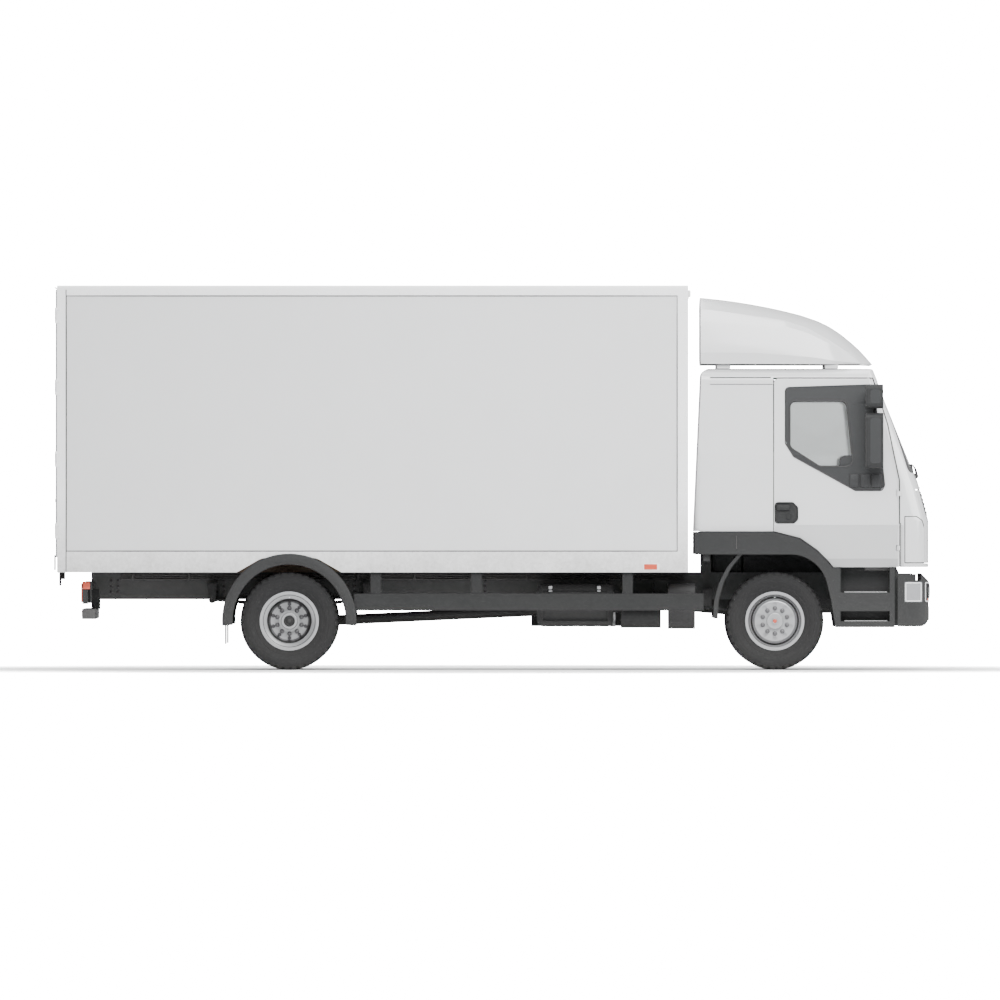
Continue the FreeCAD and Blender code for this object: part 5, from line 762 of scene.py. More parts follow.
def lathe(name, profile, centre, way=(0, 1, 0), steps=48):
    """Turned piece from a profile of (distance along the axle, radius)."""
    piece = ring_of_points(name, [(radius, 0, along) for along, radius in profile])
    bpy.ops.mesh.select_all(action="SELECT")
    bpy.ops.mesh.spin(steps=steps, angle=math.tau, center=(0, 0, 0), axis=(0, 0, 1))
    bpy.ops.mesh.select_all(action="SELECT")
    bpy.ops.mesh.remove_doubles(threshold=0.00001)
    bpy.ops.mesh.normals_make_consistent(inside=False)
    bpy.ops.object.mode_set(mode="OBJECT")
    piece.rotation_euler = Vector((0, 0, 1)).rotation_difference(Vector(way)).to_euler()
    piece.location = centre
    settle(piece)
    return piece


def slab(name, outline, place, across, thick, bevel=0.0):
    """Upright plate: an outline in (across, z), given thickness along across x up."""
    across, up, place = Vector(across), Vector((0, 0, 1)), Vector(place)
    piece = ring_of_points(name, [place + across * u + up * v for u, v in outline])
    bpy.ops.mesh.select_all(action="SELECT")
    bpy.ops.mesh.edge_face_add()
    push = across.cross(up).normalized() * thick
    bpy.ops.mesh.extrude_region_move(TRANSFORM_OT_translate={"value": push})
    bpy.ops.mesh.select_all(action="SELECT")
    bpy.ops.mesh.normals_make_consistent(inside=False)
    bpy.ops.object.mode_set(mode="OBJECT")
    if bevel:
        modify(piece, "BEVEL", width=bevel, segments=2, limit_method="ANGLE")
    return piece


ALONG, ACROSS = (1, 0, 0), (0, 1, 0)


def at(x=0.0, y=0.0, z=0.0):
    """Matrix that moves a copy."""
    return Matrix.Translation((x, y, z))


# %% [markdown]
# A truck tyre has four grooves round its crown, short cuts across the shoulders that grip in the
# wet, and fine rings on the sidewall. The crown is a spun profile; then every third face of the
# shoulders and every fourth of the middle ribs is picked by its angle and pushed in, which cuts
# the tread into blocks.

# %% Tyres
TREAD_STEPS = 120
GROOVE_DEPTH = 0.011
CROWN_FALL = 0.028
SIDEWALL = [(0.092, 0.2482), (0.0985, 0.262), (0.1085, 0.279), (0.1095, 0.2805), (0.1165, 0.297),
            (0.1180, 0.3015), (0.1172, 0.3045), (0.1262, 0.323), (0.1310, 0.3385), (0.1325, 0.350),
            (0.1308, 0.3535), (0.1322, 0.3570), (0.1306, 0.374), (0.1250, 0.395), (0.1212, 0.4005),
            (0.1218, 0.4050), (0.1175, 0.4155), (0.1110, 0.4250), (0.1040, 0.4292)]
GROOVES = ((-0.078, -0.068), (-0.030, -0.021), (0.021, 0.030), (0.068, 0.078))


def tyre_profile():
    """Closed section of the tyre: (distance from its middle, radius)."""
    line = []
    for first, second in GROOVES:
        top = tyre_radius - abs(first + second) * 0.5 * CROWN_FALL
        foot = top - GROOVE_DEPTH
        line += [(first, top), (first + 0.002, foot), (second - 0.002, foot), (second, top)]
    return [(-y, r) for y, r in SIDEWALL] + line + SIDEWALL[::-1]


def sector(place):
    """Number of the spin step that a place round the axle is in."""
    return int((math.atan2(place.z, place.x) / math.tau + 1) * TREAD_STEPS + 0.001)


def shoulder(place, normal):
    """Every third face of the shoulders."""
    radius = math.hypot(place.x, place.z)
    return 0.079 < abs(place.y) < 0.1225 and radius > 0.408 and sector(place) % 3 == 0


def ribs(place, normal):
    """Every fourth face of the middle rib and of the ribs beside it."""
    off, radius = abs(place.y), math.hypot(place.x, place.z)
    cut = off < 0.02 and sector(place) % 4 == 1 or 0.031 < off < 0.067 and sector(place) % 4 == 3
    return radius > tyre_radius - 0.006 and cut


TWIN = 0.145
tyre = lathe("tread_pattern", tyre_profile(), (0, 0, 0), steps=TREAD_STEPS)
for test, depth in ((shoulder, -0.0085), (ribs, -0.006)):
    select_faces(tyre, test)
    bpy.ops.mesh.extrude_region_shrink_fatten(TRANSFORM_OT_shrink_fatten={"value": depth})
    bpy.ops.object.mode_set(mode="OBJECT")
for side_name, side in SIDES:
    for node, body, name, shares in (
            ("front_tyre_", "wheel_front_", "front_tyre_tread_", (0,)),
            ("rear_tyres_", "wheels_rear_", "rear_tyre_treads_", (-1, 1))):
        centre = middle_of(node + side_name)
        treads = [copied(tyre, "tread", at(*centre) @ at(y=TWIN * share)) for share in shares]
        treads = join(name + side_name, treads)
        fit(treads, body + side_name, tyre_rubber, 32)
        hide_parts(node + side_name)
print("one tyre has", len(tyre.data.polygons), "faces")
bpy.data.objects.remove(tyre)

# %% [markdown]
# Each wheel is clamped by ten nuts with a captive washer, on studs that stick out a little. One
# nut is modelled, and copied round the bolt circle. Thin dark rings that follow the wheel's face
# are painted shade: in the gap behind the rim's edge, along the rim's steps, and over the rear
# wheel's dished disc. The hub has a small cap with a plug, and each rim a valve.

# %% Wheel nuts, caps and valves
NUT_CIRCLE, NUT_COUNT = 0.1125, 10
# Rim gap and rim line rings are painted shade, dark where the rim's gap and steps fall in shade; the rear
# disc ring paints the dished disc darker.
RINGS = (("front_rim_gap", 0.199, 0.2135, cast_black), ("front_rim_line", 0.2275, 0.2310, cast_black),
         ("rear_rim_gap", 0.180, 0.199, cast_black), ("rear_rim_line", 0.2275, 0.2315, cast_black),
         ("rear_disc_shade", 0.128, 0.1795, nut_steel))
CAP = [(-0.003, 0), (-0.003, 0.026), (0.006, 0.026), (0.009, 0.022), (0.007, 0.0175), (0.010, 0.013),
       (0.012, 0)]
PLUG = [(0.004, 0), (0.004, 0.017), (0.0125, 0.017), (0.015, 0.013), (0.016, 0)]


def make_nut():
    """Hexagon nut with a washer and its stud, standing on the origin and looking along +Y."""
    section = [(0, 0), (0, 0.0205), (0.0035, 0.0205), (0.006, 0.0185), (0.006, 0)]
    washer = lathe("washer", section, (0, 0, 0), steps=16)
    nut = drum("nut", (0, 0.015, 0), 0.0165, 0.019, ACROSS, sides=6, bevel=0.0018)
    stud = drum("stud", (0, 0.02, 0), 0.0095, 0.034, ACROSS, sides=12, bevel=0.0012)
    return join("nut", [washer, nut, stud])


def ring_cover(name, node, side, inner, outer):
    """Thin ring that follows a wheel's face between two radii."""
    axle = middle_of(node)
    angle = math.tau * 0.05
    faces = []
    for k in range(6):
        radius = inner + (outer - inner) * k / 5
        seat = side_skin(node, side, axle.x + math.cos(angle) * radius,
                         axle.z + math.sin(angle) * radius)
        faces.append((abs(seat.y), radius))
    profile = [(y + 0.0009, r) for y, r in faces] + [(y - 0.001, r) for y, r in reversed(faces)]
    return lathe(name, profile, (axle.x, 0, axle.z), (0, side, 0), 72)


nut = make_nut()
for side_name, side in SIDES:
    for node, body, name in (("front_wheel_", "wheel_front_", "front"),
                             ("rear_wheels_", "wheels_rear_", "rear")):
        node, body = node + side_name, body + side_name
        axle, look = middle_of(node), (0, side, 0)
        for ring_name, inner, outer, paint in RINGS:
            if ring_name.startswith(name):
                ring = ring_cover("%s_%s" % (ring_name, side_name), node, side, inner, outer)
                fit(ring, body, paint, 35)
        turns = [math.tau * (i + 0.5) / NUT_COUNT for i in range(NUT_COUNT)]
        places = [Vector((math.cos(a), 0, math.sin(a))) * NUT_CIRCLE for a in turns]
        first = side_skin(node, side, axle.x + places[0].x, axle.z + places[0].z)
        centre = Vector((axle.x, first.y, axle.z))
        flip = Matrix.Rotation(math.pi if side < 0 else 0.0, 4, "X")
        nuts = [copied(nut, "nut", at(*(centre + place)) @ Matrix.Rotation(-a, 4, "Y") @ flip)
                for a, place in zip(turns, places)]
        nuts = join("%s_nuts_%s" % (name, side_name), nuts)
        fit(nuts, body, nut_steel, 35)
        hub = side_skin(node, side, axle.x, axle.z)
        size = 1.0 if name == "front" else 1.9
        cap = lathe("%s_hub_cap_%s" % (name, side_name), [(y, r * size) for y, r in CAP], hub, look, 40)
        fit(cap, body, chassis_black if name == "rear" else wheel_silver, 30)
        dot = lathe("%s_hub_plug_%s" % (name, side_name), PLUG, hub, look, 24)
        fit(dot, body, amber_lens if name == "front" else cast_black, 30)
        edge = side_skin(node, side, axle.x, axle.z + 0.215)
        stem = [edge + Vector((0, side * t, 0.004 - t * 0.25)) for t in (-0.004, 0.012, 0.026, 0.036)]
        valve = tube("%s_valve_%s" % (name, side_name), stem, 0.0042, resolution=4)
        fit(valve, body, chrome)
bpy.data.objects.remove(nut)
print(piece_count, "pieces after the wheels")

# %% [markdown]
# Each cab door has a dark plastic surround for its window, which hides the glass run and the
# mirror's foot. It follows the door's curved skin, so it is a skin patch of the door, whose own
# opening keeps the glass free. Rubber seals finish the edge.

# %% Window surrounds and seals
SURROUND = [(2.597, 2.501), (3.343, 2.525), (3.403, 2.323), (3.478, 1.635), (3.455, 1.588),
            (3.217, 1.588), (2.672, 1.888), (2.597, 2.007)]
GLASS_EDGE = [(2.636, 1.971), (2.636, 2.383), (3.137, 2.383), (3.199, 1.802), (2.898, 1.802)]
GLASS_NOTCH = [(3.075, 1.80), (3.20, 1.80), (3.196, 1.915), (3.118, 1.900), (3.083, 1.868)]

patch_both("window_surround_left", "door_left", ACROSS, rounded(SURROUND, 0.035), 0.005,
           "cab_door_left", grey_plastic)
patch_both("glass_corner_left", "door_glass_left", ACROSS, rounded(GLASS_NOTCH, 0.012), 0.004,
           "cab_door_left", grey_plastic)
for name, outline, corner, radius, out in (("window_seal_left", GLASS_EDGE, 0.05, 0.0055, 0.005),
                                           ("surround_edge_left", SURROUND, 0.035, 0.0045, 0.0045)):
    line = along_outline(rounded(outline, corner), 0.03)
    seal_line = [side_skin("door_left", 1, x, z) + Vector((0, out, 0)) for x, z in line]
    rubber_both(name, seal_line, radius, "cab_door_left", closed=True)
print(piece_count, "pieces with the window surrounds")

# %% [markdown]
# Below the mirror, the surround widens into three shallow pockets. They are rounded blocks half
# sunk in the plastic, as a moulding has them.

# %% Pockets of the surround
cells = []
for x0, x1 in ((3.165, 3.252), (3.260, 3.352), (3.360, 3.452)):
    skin_y = side_skin("door_left", 1, (x0 + x1) / 2, 1.67).y
    cells.append(block("cell", (x0, skin_y - 0.004, 1.615), (x1, skin_y + 0.017, 1.735), 0.014, 3))
fit_both(join("surround_pockets_left", cells), "cab_door_left", grey_plastic, 40)
print("pockets at y", round(skin_y, 3))

# %% [markdown]
# The door handle is a dark cup at the door's rear edge, with a flap to pull and a round lock
# barrel. The cup is a plate whose face is inset and pushed in.

# %% Door handles
HANDLE = [(2.503, 1.296), (2.675, 1.296), (2.712, 1.330), (2.712, 1.440), (2.668, 1.486),
          (2.503, 1.486)]
LOCK = [(0, 0), (0, 0.024), (0.010, 0.024), (0.013, 0.021), (0.012, 0.012), (0.015, 0.010), (0.015, 0)]
handle_y = side_skin("door_left", 1, 2.60, 1.39).y
cup = slab("handle_cup_left", rounded(HANDLE, 0.03)[::-1], (0, handle_y - 0.002, 0), ALONG, -0.012)
press_in(cup, lambda centre, normal: normal.y > 0.9, (0.007, 0), (0.006, -0.008))
fit_both(cup, "cab_door_left", dark_plastic, 30)
flap = block("flap", (2.518, handle_y, 1.412), (2.640, handle_y + 0.026, 1.462), 0.011, 3)
lock = lathe("lock", LOCK, (2.628, handle_y, 1.358), steps=32)
fit_both(join("handle_flap_left", [flap, lock]), "cab_door_left", dark_plastic, 35)
print("handles at y", round(handle_y, 3))

# %% [markdown]
# The lower door skin turns in towards the road, and its shade is painted on in two thin darker
# bands, which the cab's cheek carries on. The cab's corner behind the lamp is a separate panel with
# a visible seam all round: a dark patch under a slightly smaller painted one. A drip rail, with a
# painted shadow line under it, and a waist crease cross the cab's side.

# %% Door skirts in painted shade, corner panels and creases
CORNER = [(3.652, 0.945), (3.838, 0.945), (3.838, 1.24), (3.815, 1.325), (3.762, 1.362),
          (3.652, 1.362)]
CORNER_IN = [(3.660, 0.953), (3.830, 0.953), (3.830, 1.238), (3.807, 1.318), (3.757, 1.354),
             (3.660, 1.354)]
CHEEK_LOOK = (0.45, 0.9, 0)
SIDE_PATCHES = (
    # The three skirt patches are painted shade: darker bands of the same paint on the lower door and
    # cheek.
    ("upper_skirt_left", "door_left", ACROSS, rectangle(2.506, 0.985, 3.594, 1.283), 0.0030, painted_shade_paint),
    ("lower_skirt_left", "door_left", ACROSS, rectangle(2.506, 0.912, 3.594, 0.985), 0.0015, painted_deep_shade_paint),
    ("cheek_skirt_left", "cab_front", CHEEK_LOOK, rectangle(3.614, 0.912, 3.645, 1.283), 0.0015,
     painted_shade_paint),
    ("cheek_seam_left", "cab_front", CHEEK_LOOK, rectangle(3.6145, 0.912, 3.622, 1.30), 0.0022,
     seal_rubber),
    ("corner_seam_left", "cab_front", CHEEK_LOOK, CORNER, 0.0012, seal_rubber),
    ("corner_panel_left", "cab_front", CHEEK_LOOK, CORNER_IN, 0.0025, cab_paint),
    ("drip_line_left", "cab_sides", ACROSS, rectangle(1.93, 2.532, 2.489, 2.543), 0.006, cab_paint))
for name, node, look, outline, lift, paint in SIDE_PATCHES:
    body = "cab_door_left" if node == "door_left" else "cab"
    slot = "dark_plastic" if paint == seal_rubber else "cab_paint"
    patch_both(name, node, look, outline, lift, body, paint)
# A dark rubber line just under the drip rail is a painted shadow of the rail.
drip_shadow_points = [side_skin("cab_sides", 1, 1.93 + 0.0925 * k, 2.529) for k in range(7)]
rubber_both("drip_seal_left", drip_shadow_points, 0.003, "cab")
patch_both("waist_crease_left", "cab_sides", ACROSS, rectangle(1.93, 1.268, 2.489, 1.277), 0.003,
           "cab", cab_paint)
print(piece_count, "pieces with the side patches")

# %% [markdown]
# Mirrors: the heads are solids already. Each gets its silvered glass on the side that the driver
# sees, set in a thin bezel, and a smooth cover panel on the outer side.

# %% Mirror glass
for name, low_z, high_z in (("main", 1.80, 2.262), ("wide", 2.33, 2.512)):
    middle_z = (low_z + high_z) / 2
    back = skin("mirror_left", (2.8, 1.29, middle_z), ALONG)[0].x
    outline = rounded(rectangle(1.195, low_z, 1.385, high_z), 0.03)
    pane = slab("%s_mirror_left" % name, outline, (back + 0.001, 0, 0), ACROSS, -0.004, 0.001)
    fit_both(pane, "cab_door_left", mirror_face, 30)
    bezel = [(back - 0.001, y, z) for y, z in along_outline(outline, 0.04)]
    rubber_both("%s_mirror_rim_left" % name, bezel, 0.004, "cab_door_left", closed=True)
    outer = side_skin("mirror_left", 1, 3.39, middle_z).y
    outline = rounded(rectangle(3.347, low_z + 0.03, 3.440, high_z - 0.03), 0.025)
    cover = slab("%s_mirror_cover_left" % name, outline, (0, outer - 0.002, 0), ALONG, -0.0023)
    fit_both(cover, "cab_door_left", grey_plastic, 30)
print(piece_count, "pieces with the mirrors")

# %% [markdown]
# The windscreen is bonded, so its edge is a black printed band. Three long wipers rest along its
# foot, each a spindle, an arm, and a blade held by a rail and a claw.

# %% Windscreen band and wipers
SCREEN_LOOK = (0.9, 0, 0.4)
SPINDLE = [(-0.004, 0), (-0.004, 0.024), (0.014, 0.022), (0.026, 0.012), (0.028, 0)]
bands = [skin_patch("band", "windscreen", SCREEN_LOOK, rectangle(*corners), 0.0012, ("y", "z"))
         for corners in ((-0.96, 2.49, 0.96, 2.58), (-0.97, 1.73, 0.97, 1.80),
                         (0.875, 1.80, 0.97, 2.49), (-0.97, 1.80, -0.875, 2.49))]
fit(join("screen_band", bands), "cab", seal_rubber, 40)


def on_screen(y, z, out):
    """Point in front of the windscreen or of the panel below it."""
    for node in ("windscreen", "cab_front"):
        hit, place, normal, face = nodes[node].ray_cast(Vector((AHEAD_X, y, z)), Vector((-1, 0, 0)))
        if hit:
            return place + normal * out
    raise ValueError("no skin at %.2f %.2f" % (y, z))


wipers = []
for pivot in (-0.24, 0.36, 0.84):
    foot = on_screen(pivot, 1.715, 0.0)
    wipers.append(lathe("spindle", SPINDLE, foot, SCREEN_LOOK, 20))
    elbow = on_screen(pivot - 0.30, 1.80, 0.026)
    arm = [foot + Vector((0.018, 0, 0.008)), on_screen(pivot - 0.10, 1.765, 0.034), elbow]
    blade = [on_screen(pivot - 0.56 + 0.52 * k / 8, 1.815 - 0.006 * k / 8, 0.010) for k in range(9)]
    rail = [on_screen(pivot - 0.50 + 0.40 * k / 6, 1.813, 0.019) for k in range(7)]
    claw = [elbow, elbow + Vector((-0.008, 0.02, -0.004)), rail[2]]
    for name, points, radius in (("arm", arm, 0.0065), ("blade", blade, 0.0062),
                                 ("rail", rail, 0.0038), ("claw", claw, 0.005)):
        wipers.append(tube(name, points, radius))
fit(join("wipers", wipers), "cab", seal_rubber)
print(len(bands), "bands and 3 wipers")

# %% [markdown]
# The lid below the windscreen carries the grille: dark slats in a shallow frame, over a fine
# gauze that keeps insects off the radiator. It sits where the nose leans back, so the slats stay
# behind the cab's foremost line.

# %% Grille and lid trim
GRILLE = [(-0.74, 1.372), (0.74, 1.372), (0.78, 1.570), (-0.78, 1.570)]
gauze_patch = skin_patch("grille_gauze", "front_panel", ALONG, rounded(GRILLE, 0.03), 0.0015, ("y", "z"))
fit(gauze_patch, "front_lid", gauze, 30)
slats = []
for k in range(5):
    z, half = 1.383 + 0.038 * k, 0.728 + 0.007 * k
    slats.append(skin_patch("slat", "front_panel", ALONG, rectangle(-half, z, half, z + 0.019), 0.007,
                            ("y", "z")))
slats = join("grille_slats", slats)
modify(slats, "BEVEL", width=0.0025, segments=2, limit_method="ANGLE")
fit(slats, "front_lid", dark_plastic, 35)
LID_LINES = (
    ("grille_frame", GRILLE, 0.03, 0.05, 0.0, 0.006, 3, grey_plastic, "dark_plastic"),
    ("lid_pressing", [(-0.84, 1.02), (0.84, 1.02), (0.86, 1.335), (-0.86, 1.335)], 0.05, 0.05, -0.0045,
     0.0040, 2, cab_paint, "cab_paint"),
    ("lid_seam", rectangle(-0.920, 0.953, 0.920, 1.585), 0.01, 0.06, -0.0025, 0.0025, 2, seal_rubber,
     "dark_plastic"))
for name, corners, corner, spacing, out, radius, resolution, paint, slot in LID_LINES:
    points = [front_skin("front_panel", y, z)[0] + Vector((out, 0, 0))
              for y, z in along_outline(rounded(corners, corner), spacing)]
    fit(tube(name, points, radius, True, resolution), "front_lid", paint)
print(piece_count, "pieces with the grille")

# %% [markdown]
# Rubber shows as a dark line in the gap round each door and along the roof. The line follows the
# door's own edge, a few millimetres inside the gap.

# %% Door gaps
DOOR_EDGE = [(2.494, 1.235), (2.494, 2.585), (3.372, 2.585), (3.504, 2.180), (3.609, 1.677),
             (3.609, 1.295)]
DOOR_MIDDLE = Vector((3.0, 1.7))
gap_line = []
for a, b in zip(DOOR_EDGE, DOOR_EDGE[1:]):
    start, end = Vector(a), Vector(b)
    count = max(2, round((end - start).length / 0.06))
    gap_line += [start.lerp(end, k / count) for k in range(count)]
gap_line.append(Vector(DOOR_EDGE[-1]))
places = []
for point in gap_line:
    inside = point + (DOOR_MIDDLE - point).normalized() * 0.035
    skin_y = side_skin("door_left", 1, inside.x, inside.y).y
    places.append((point.x, skin_y - 0.0035, point.y))
rubber_both("door_gap_left", places, 0.0055, "cab")
roof_line = [(x, side_skin("cab_sides", 1, x, 2.57).y - 0.004, 2.588)
             for x in (1.93 + 0.09 * k for k in range(7))]
rubber_both("roof_gap_left", roof_line, 0.0055, "cab")
arch_seam = [side_skin("wheel_arches", 1, 2.164, 1.07 + 0.02 * k) for k in range(7)]
rubber_both("arch_seam_left", arch_seam, 0.0045, "chassis")
print(len(places), "points round the door")

# %% [markdown]
# The cab tilts away from the wheel arches, so a rubber strip on the chassis side closes the gap
# above the arch, and dark plastic closes the joint between the steps and the bumper.

# %% Gap strips
for name, low, high, bevel, look in (
        ("arch_strip_left", (1.850, 1.060, 1.198), (2.575, 1.085, 1.232), 0.004, seal_rubber),
        ("sill_strip_left", (3.30, 1.020, 0.880), (3.565, 1.042, 0.916), 0.004, seal_rubber),
        ("step_closer_left", (3.535, 0.990, 0.392), (3.600, 1.060, 0.880), 0.006, dark_plastic)):
    fit_both(block(name, low, high, bevel), "chassis", look, 35)
print(piece_count, "pieces after the cab's outside")

# %% [markdown]
# Lamps. A headlamp is a bright reflector behind a clear cover: here the solid is the pale body,
# with two round units, an amber strip for the indicator and a thin white frame, as seen from the
# side. The fog lamps sit in the bumper.

# %% Front lamps
LAMP_RING = [(-0.002, 0.056), (-0.002, 0.069), (0.006, 0.069), (0.008, 0.065), (0.003, 0.058)]
LAMP_EYE = [(-0.002, 0), (-0.002, 0.057), (0.0022, 0.057), (0.0008, 0.045), (0.0022, 0.026),
            (0.009, 0.018), (0.011, 0)]
FOG_RING = [(-0.002, 0.044), (-0.002, 0.062), (0.008, 0.062), (0.010, 0.056), (0.004, 0.045)]
FOG_EYE = [(-0.002, 0), (-0.002, 0.046), (0.003, 0.046), (0.007, 0.030), (0.009, 0)]
for label, y in (("inner", 0.79), ("outer", 0.93)):
    seat, look = front_skin("headlamps", y, 0.70)
    bezel = lathe("lamp_ring_%s_left" % label, LAMP_RING, seat, look, 40)
    eye = lathe("lamp_eye_%s_left" % label, LAMP_EYE, seat, look, 40)
    fit_both(bezel, "chassis", dark_plastic, 40)
    fit_both(eye, "chassis", lamp_glass, 40)
patch_both("indicator_left", "headlamps", ALONG, rectangle(0.73, 0.612, 0.98, 0.632), 0.002, "chassis",
           amber_lens, 40, ("y", "z"))
outline = along_outline(rounded(rectangle(0.700, 0.608, 1.010, 0.772), 0.012), 0.03)
front_frame = [front_skin("headlamps", y, z)[0] + Vector((0.001, 0, 0)) for y, z in outline]
outline = along_outline(rounded(rectangle(3.664, 0.610, 3.800, 0.770), 0.012), 0.03)
side_frame = [side_skin("headlamps", 1, x, z) for x, z in outline]
frames = join("lamp_frame_left", [tube("front", front_frame, 0.006, True),
                                  tube("side", side_frame, 0.007, True)])
fit_both(frames, "chassis", cab_paint)
patch_both("lamp_cheek_left", "headlamps", (0.4, 0.9, 0), rectangle(3.810, 0.600, 3.868, 0.780), 0.002,
           "chassis", dark_plastic)
seat, look = front_skin("bumper", 0.56, 0.50)
fog_ring = lathe("fog_ring_left", FOG_RING, seat, look, 36)
fit_both(fog_ring, "chassis", grey_plastic, 40)
fit_both(lathe("fog_lens_left", FOG_EYE, seat, look, 36), "chassis", lamp_glass, 40)
print(piece_count, "pieces with the front lamps")

# %% [markdown]
# The bumper gets a gauze and three bars in its intake, a blank plate, and a dark tread on top.

# %% Bumper
PLATE = rounded(rectangle(-0.26, 0.0, 0.26, 0.11), 0.008)
intake = slab("intake_gauze", rectangle(-0.345, 0.555, 0.345, 0.735), (3.834, 0, 0), ACROSS, 0.006)
fit(intake, "chassis", gauze, 30)
bars = [block("bar", (3.838, -0.345, z), (3.862, 0.345, z + 0.016), 0.004)
        for z in (0.592, 0.637, 0.682)]
fit(join("intake_bars", bars), "chassis", dark_plastic, 35)
plate_x = front_skin("bumper", 0.0, 0.48)[0].x
front_plate = slab("front_plate", PLATE, (plate_x - 0.002, 0, 0.425), ACROSS, 0.005, 0.001)
fit(front_plate, "chassis", plate_blank, 30)
step = skin_patch("bumper_tread", "bumper", (0, 0, 1), rectangle(3.70, -0.60, 3.85, 0.60), 0.004,
                  ("x", "y"))
fit(step, "chassis", dark_plastic, 30)
print("front plate at x", round(plate_x, 3))

# %% [markdown]
# The rear: each lamp unit has four lenses, with an amber one that also shows at the side. The
# plate hangs under the sill between two brackets, and the underrun bar carries red reflectors.

# %% Rear lamps and plate
LENSES = (("fog", 0.728, 0.808, red_lens), ("reverse", 0.812, 0.892, white_lens),
          ("stop", 0.896, 1.000, red_lens), ("indicator", 1.004, 1.092, amber_lens))
for name, y0, y1, glass in LENSES:
    back = rear_skin("tail_lamps", (y0 + y1) / 2, 0.68)[0].x
    cover = block("%s_lens_left" % name, (back - 0.012, y0, 0.598), (back + 0.004, y1, 0.768), 0.004)
    fit_both(cover, "chassis", glass, 35)
end_y = side_skin("tail_lamps", 1, -3.585, 0.74).y
marker = block("lamp_end_left", (-3.622, end_y - 0.004, 0.715), (-3.560, end_y + 0.006, 0.778), 0.003)
fit_both(marker, "chassis", amber_lens, 35)
bar_x = rear_skin("underrun_bar", 0.9, 0.495)[0].x
reflector = block("reflector_left", (bar_x - 0.006, 0.93, 0.475), (bar_x + 0.003, 1.09, 0.520), 0.003)
fit_both(reflector, "chassis", red_lens, 35)
holder = [block("holder", (-3.842, -0.275, 0.742), (-3.834, 0.275, 0.868), 0.002)]
holder += [block("bracket", (-3.836, y - 0.02, 0.80), (-3.800, y + 0.02, 0.868), 0.002)
           for y in (-0.2, 0.2)]
holder.append(block("plate_lamp", (-3.862, -0.05, 0.856), (-3.836, 0.05, 0.872), 0.003))
fit(join("plate_holder", holder), "chassis", dark_plastic, 35)
rear_plate = slab("rear_plate", PLATE, (-3.842, 0, 0.745), ACROSS, -0.005, 0.001)
fit(rear_plate, "chassis", plate_blank, 30)
tip = block("bar_end_left", (-3.632, 1.126, 0.449), (-3.510, 1.158, 0.541), 0.012, 3)
fit_both(tip, "chassis", seal_rubber, 40)
print(piece_count, "pieces with the rear lamps")

# %% [markdown]
# The load box is held together by lines of dome rivets along its rails and posts. One rivet has
# a few dozen faces and is copied along each line.

# %% Rivets
RIVET = [(-0.0005, 0), (-0.0005, 0.0075), (0.0012, 0.0070), (0.0030, 0.0045), (0.0036, 0)]
RAIL_X, RAIL_STEPS = (-3.70, 1.70), 46
POST_Z, POST_STEPS = (1.10, 3.28), 20
side_y = box_high.y
rear_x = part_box("box_rear_frame")[0][0]
rivet = lathe("rivet", RIVET, (0, 0, 0), steps=8)
spots = []
for k in range(RAIL_STEPS):
    x = RAIL_X[0] + (RAIL_X[1] - RAIL_X[0]) * k / (RAIL_STEPS - 1)
    spots += [(x, 3.335), (x, 1.035)]
    if abs(x - rear_wheels.x) > 0.52:
        spots.append((x, 0.900))
for k in range(POST_STEPS):
    z = POST_Z[0] + (POST_Z[1] - POST_Z[0]) * k / (POST_STEPS - 1)
    spots += [(1.665, z), (1.718, z)]
rivets = join("box_rivets_left", [copied(rivet, "rivet", at(x, side_y - 0.0003, z)) for x, z in spots])
fit_both(rivets, "chassis", rail_alloy, 40)
turn = Matrix.Rotation(math.radians(90), 4, "Z")
header = [copied(rivet, "rivet", at(rear_x + 0.0003, -1.15 + 2.3 * k / 21, 3.385) @ turn)
          for k in range(22)]
fit(join("header_rivets", header), "chassis", rail_alloy, 40)
bpy.data.objects.remove(rivet)
print(len(spots), "rivets on a side and 22 on the header")

# %% [markdown]
# A dark line of sealant runs round each side panel and down the rear post. A framed amber marker
# sits low at the side, and a small white one high on the front corner.

# %% Sealant and side markers
panel_edge = along_outline(rectangle(-3.768, 1.0515, 1.6395, 3.3115), 0.5)
sealant = [(x, side_y - 0.0028, z) for x, z in panel_edge]
rubber_both("panel_sealant_left", sealant, 0.0052, "chassis", closed=True)
post_line = [(-3.7695, side_y - 0.0005, 0.866 + 0.5 * k) for k in range(6)]
rubber_both("post_line_left", post_line, 0.0040, "chassis")
rim = slab("marker_frame_left", rounded(rectangle(1.335, 0.880, 1.483, 0.944), 0.010)[::-1],
           (0, side_y - 0.001, 0), ALONG, -0.005, 0.0015)
fit_both(rim, "chassis", white_lens, 30)
lamp = block("side_marker_left", (1.346, side_y + 0.001, 0.888), (1.461, side_y + 0.013, 0.937), 0.005, 3)
fit_both(lamp, "chassis", amber_lens, 35)
front_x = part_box("box_front_wall")[1][0]
lamp = block("top_marker_left", (front_x - 0.002, 1.165, 3.300), (front_x + 0.022, 1.215, 3.362),
             0.008, 3)
fit_both(lamp, "chassis", white_lens, 40)
print(piece_count, "pieces with the markers")

# %% [markdown]
# Over the rear wheels the side rave has a cut-out. A dark moulded lip with a round edge covers it
# and joins the mudguard inside. Its outline is two arcs about the axle.

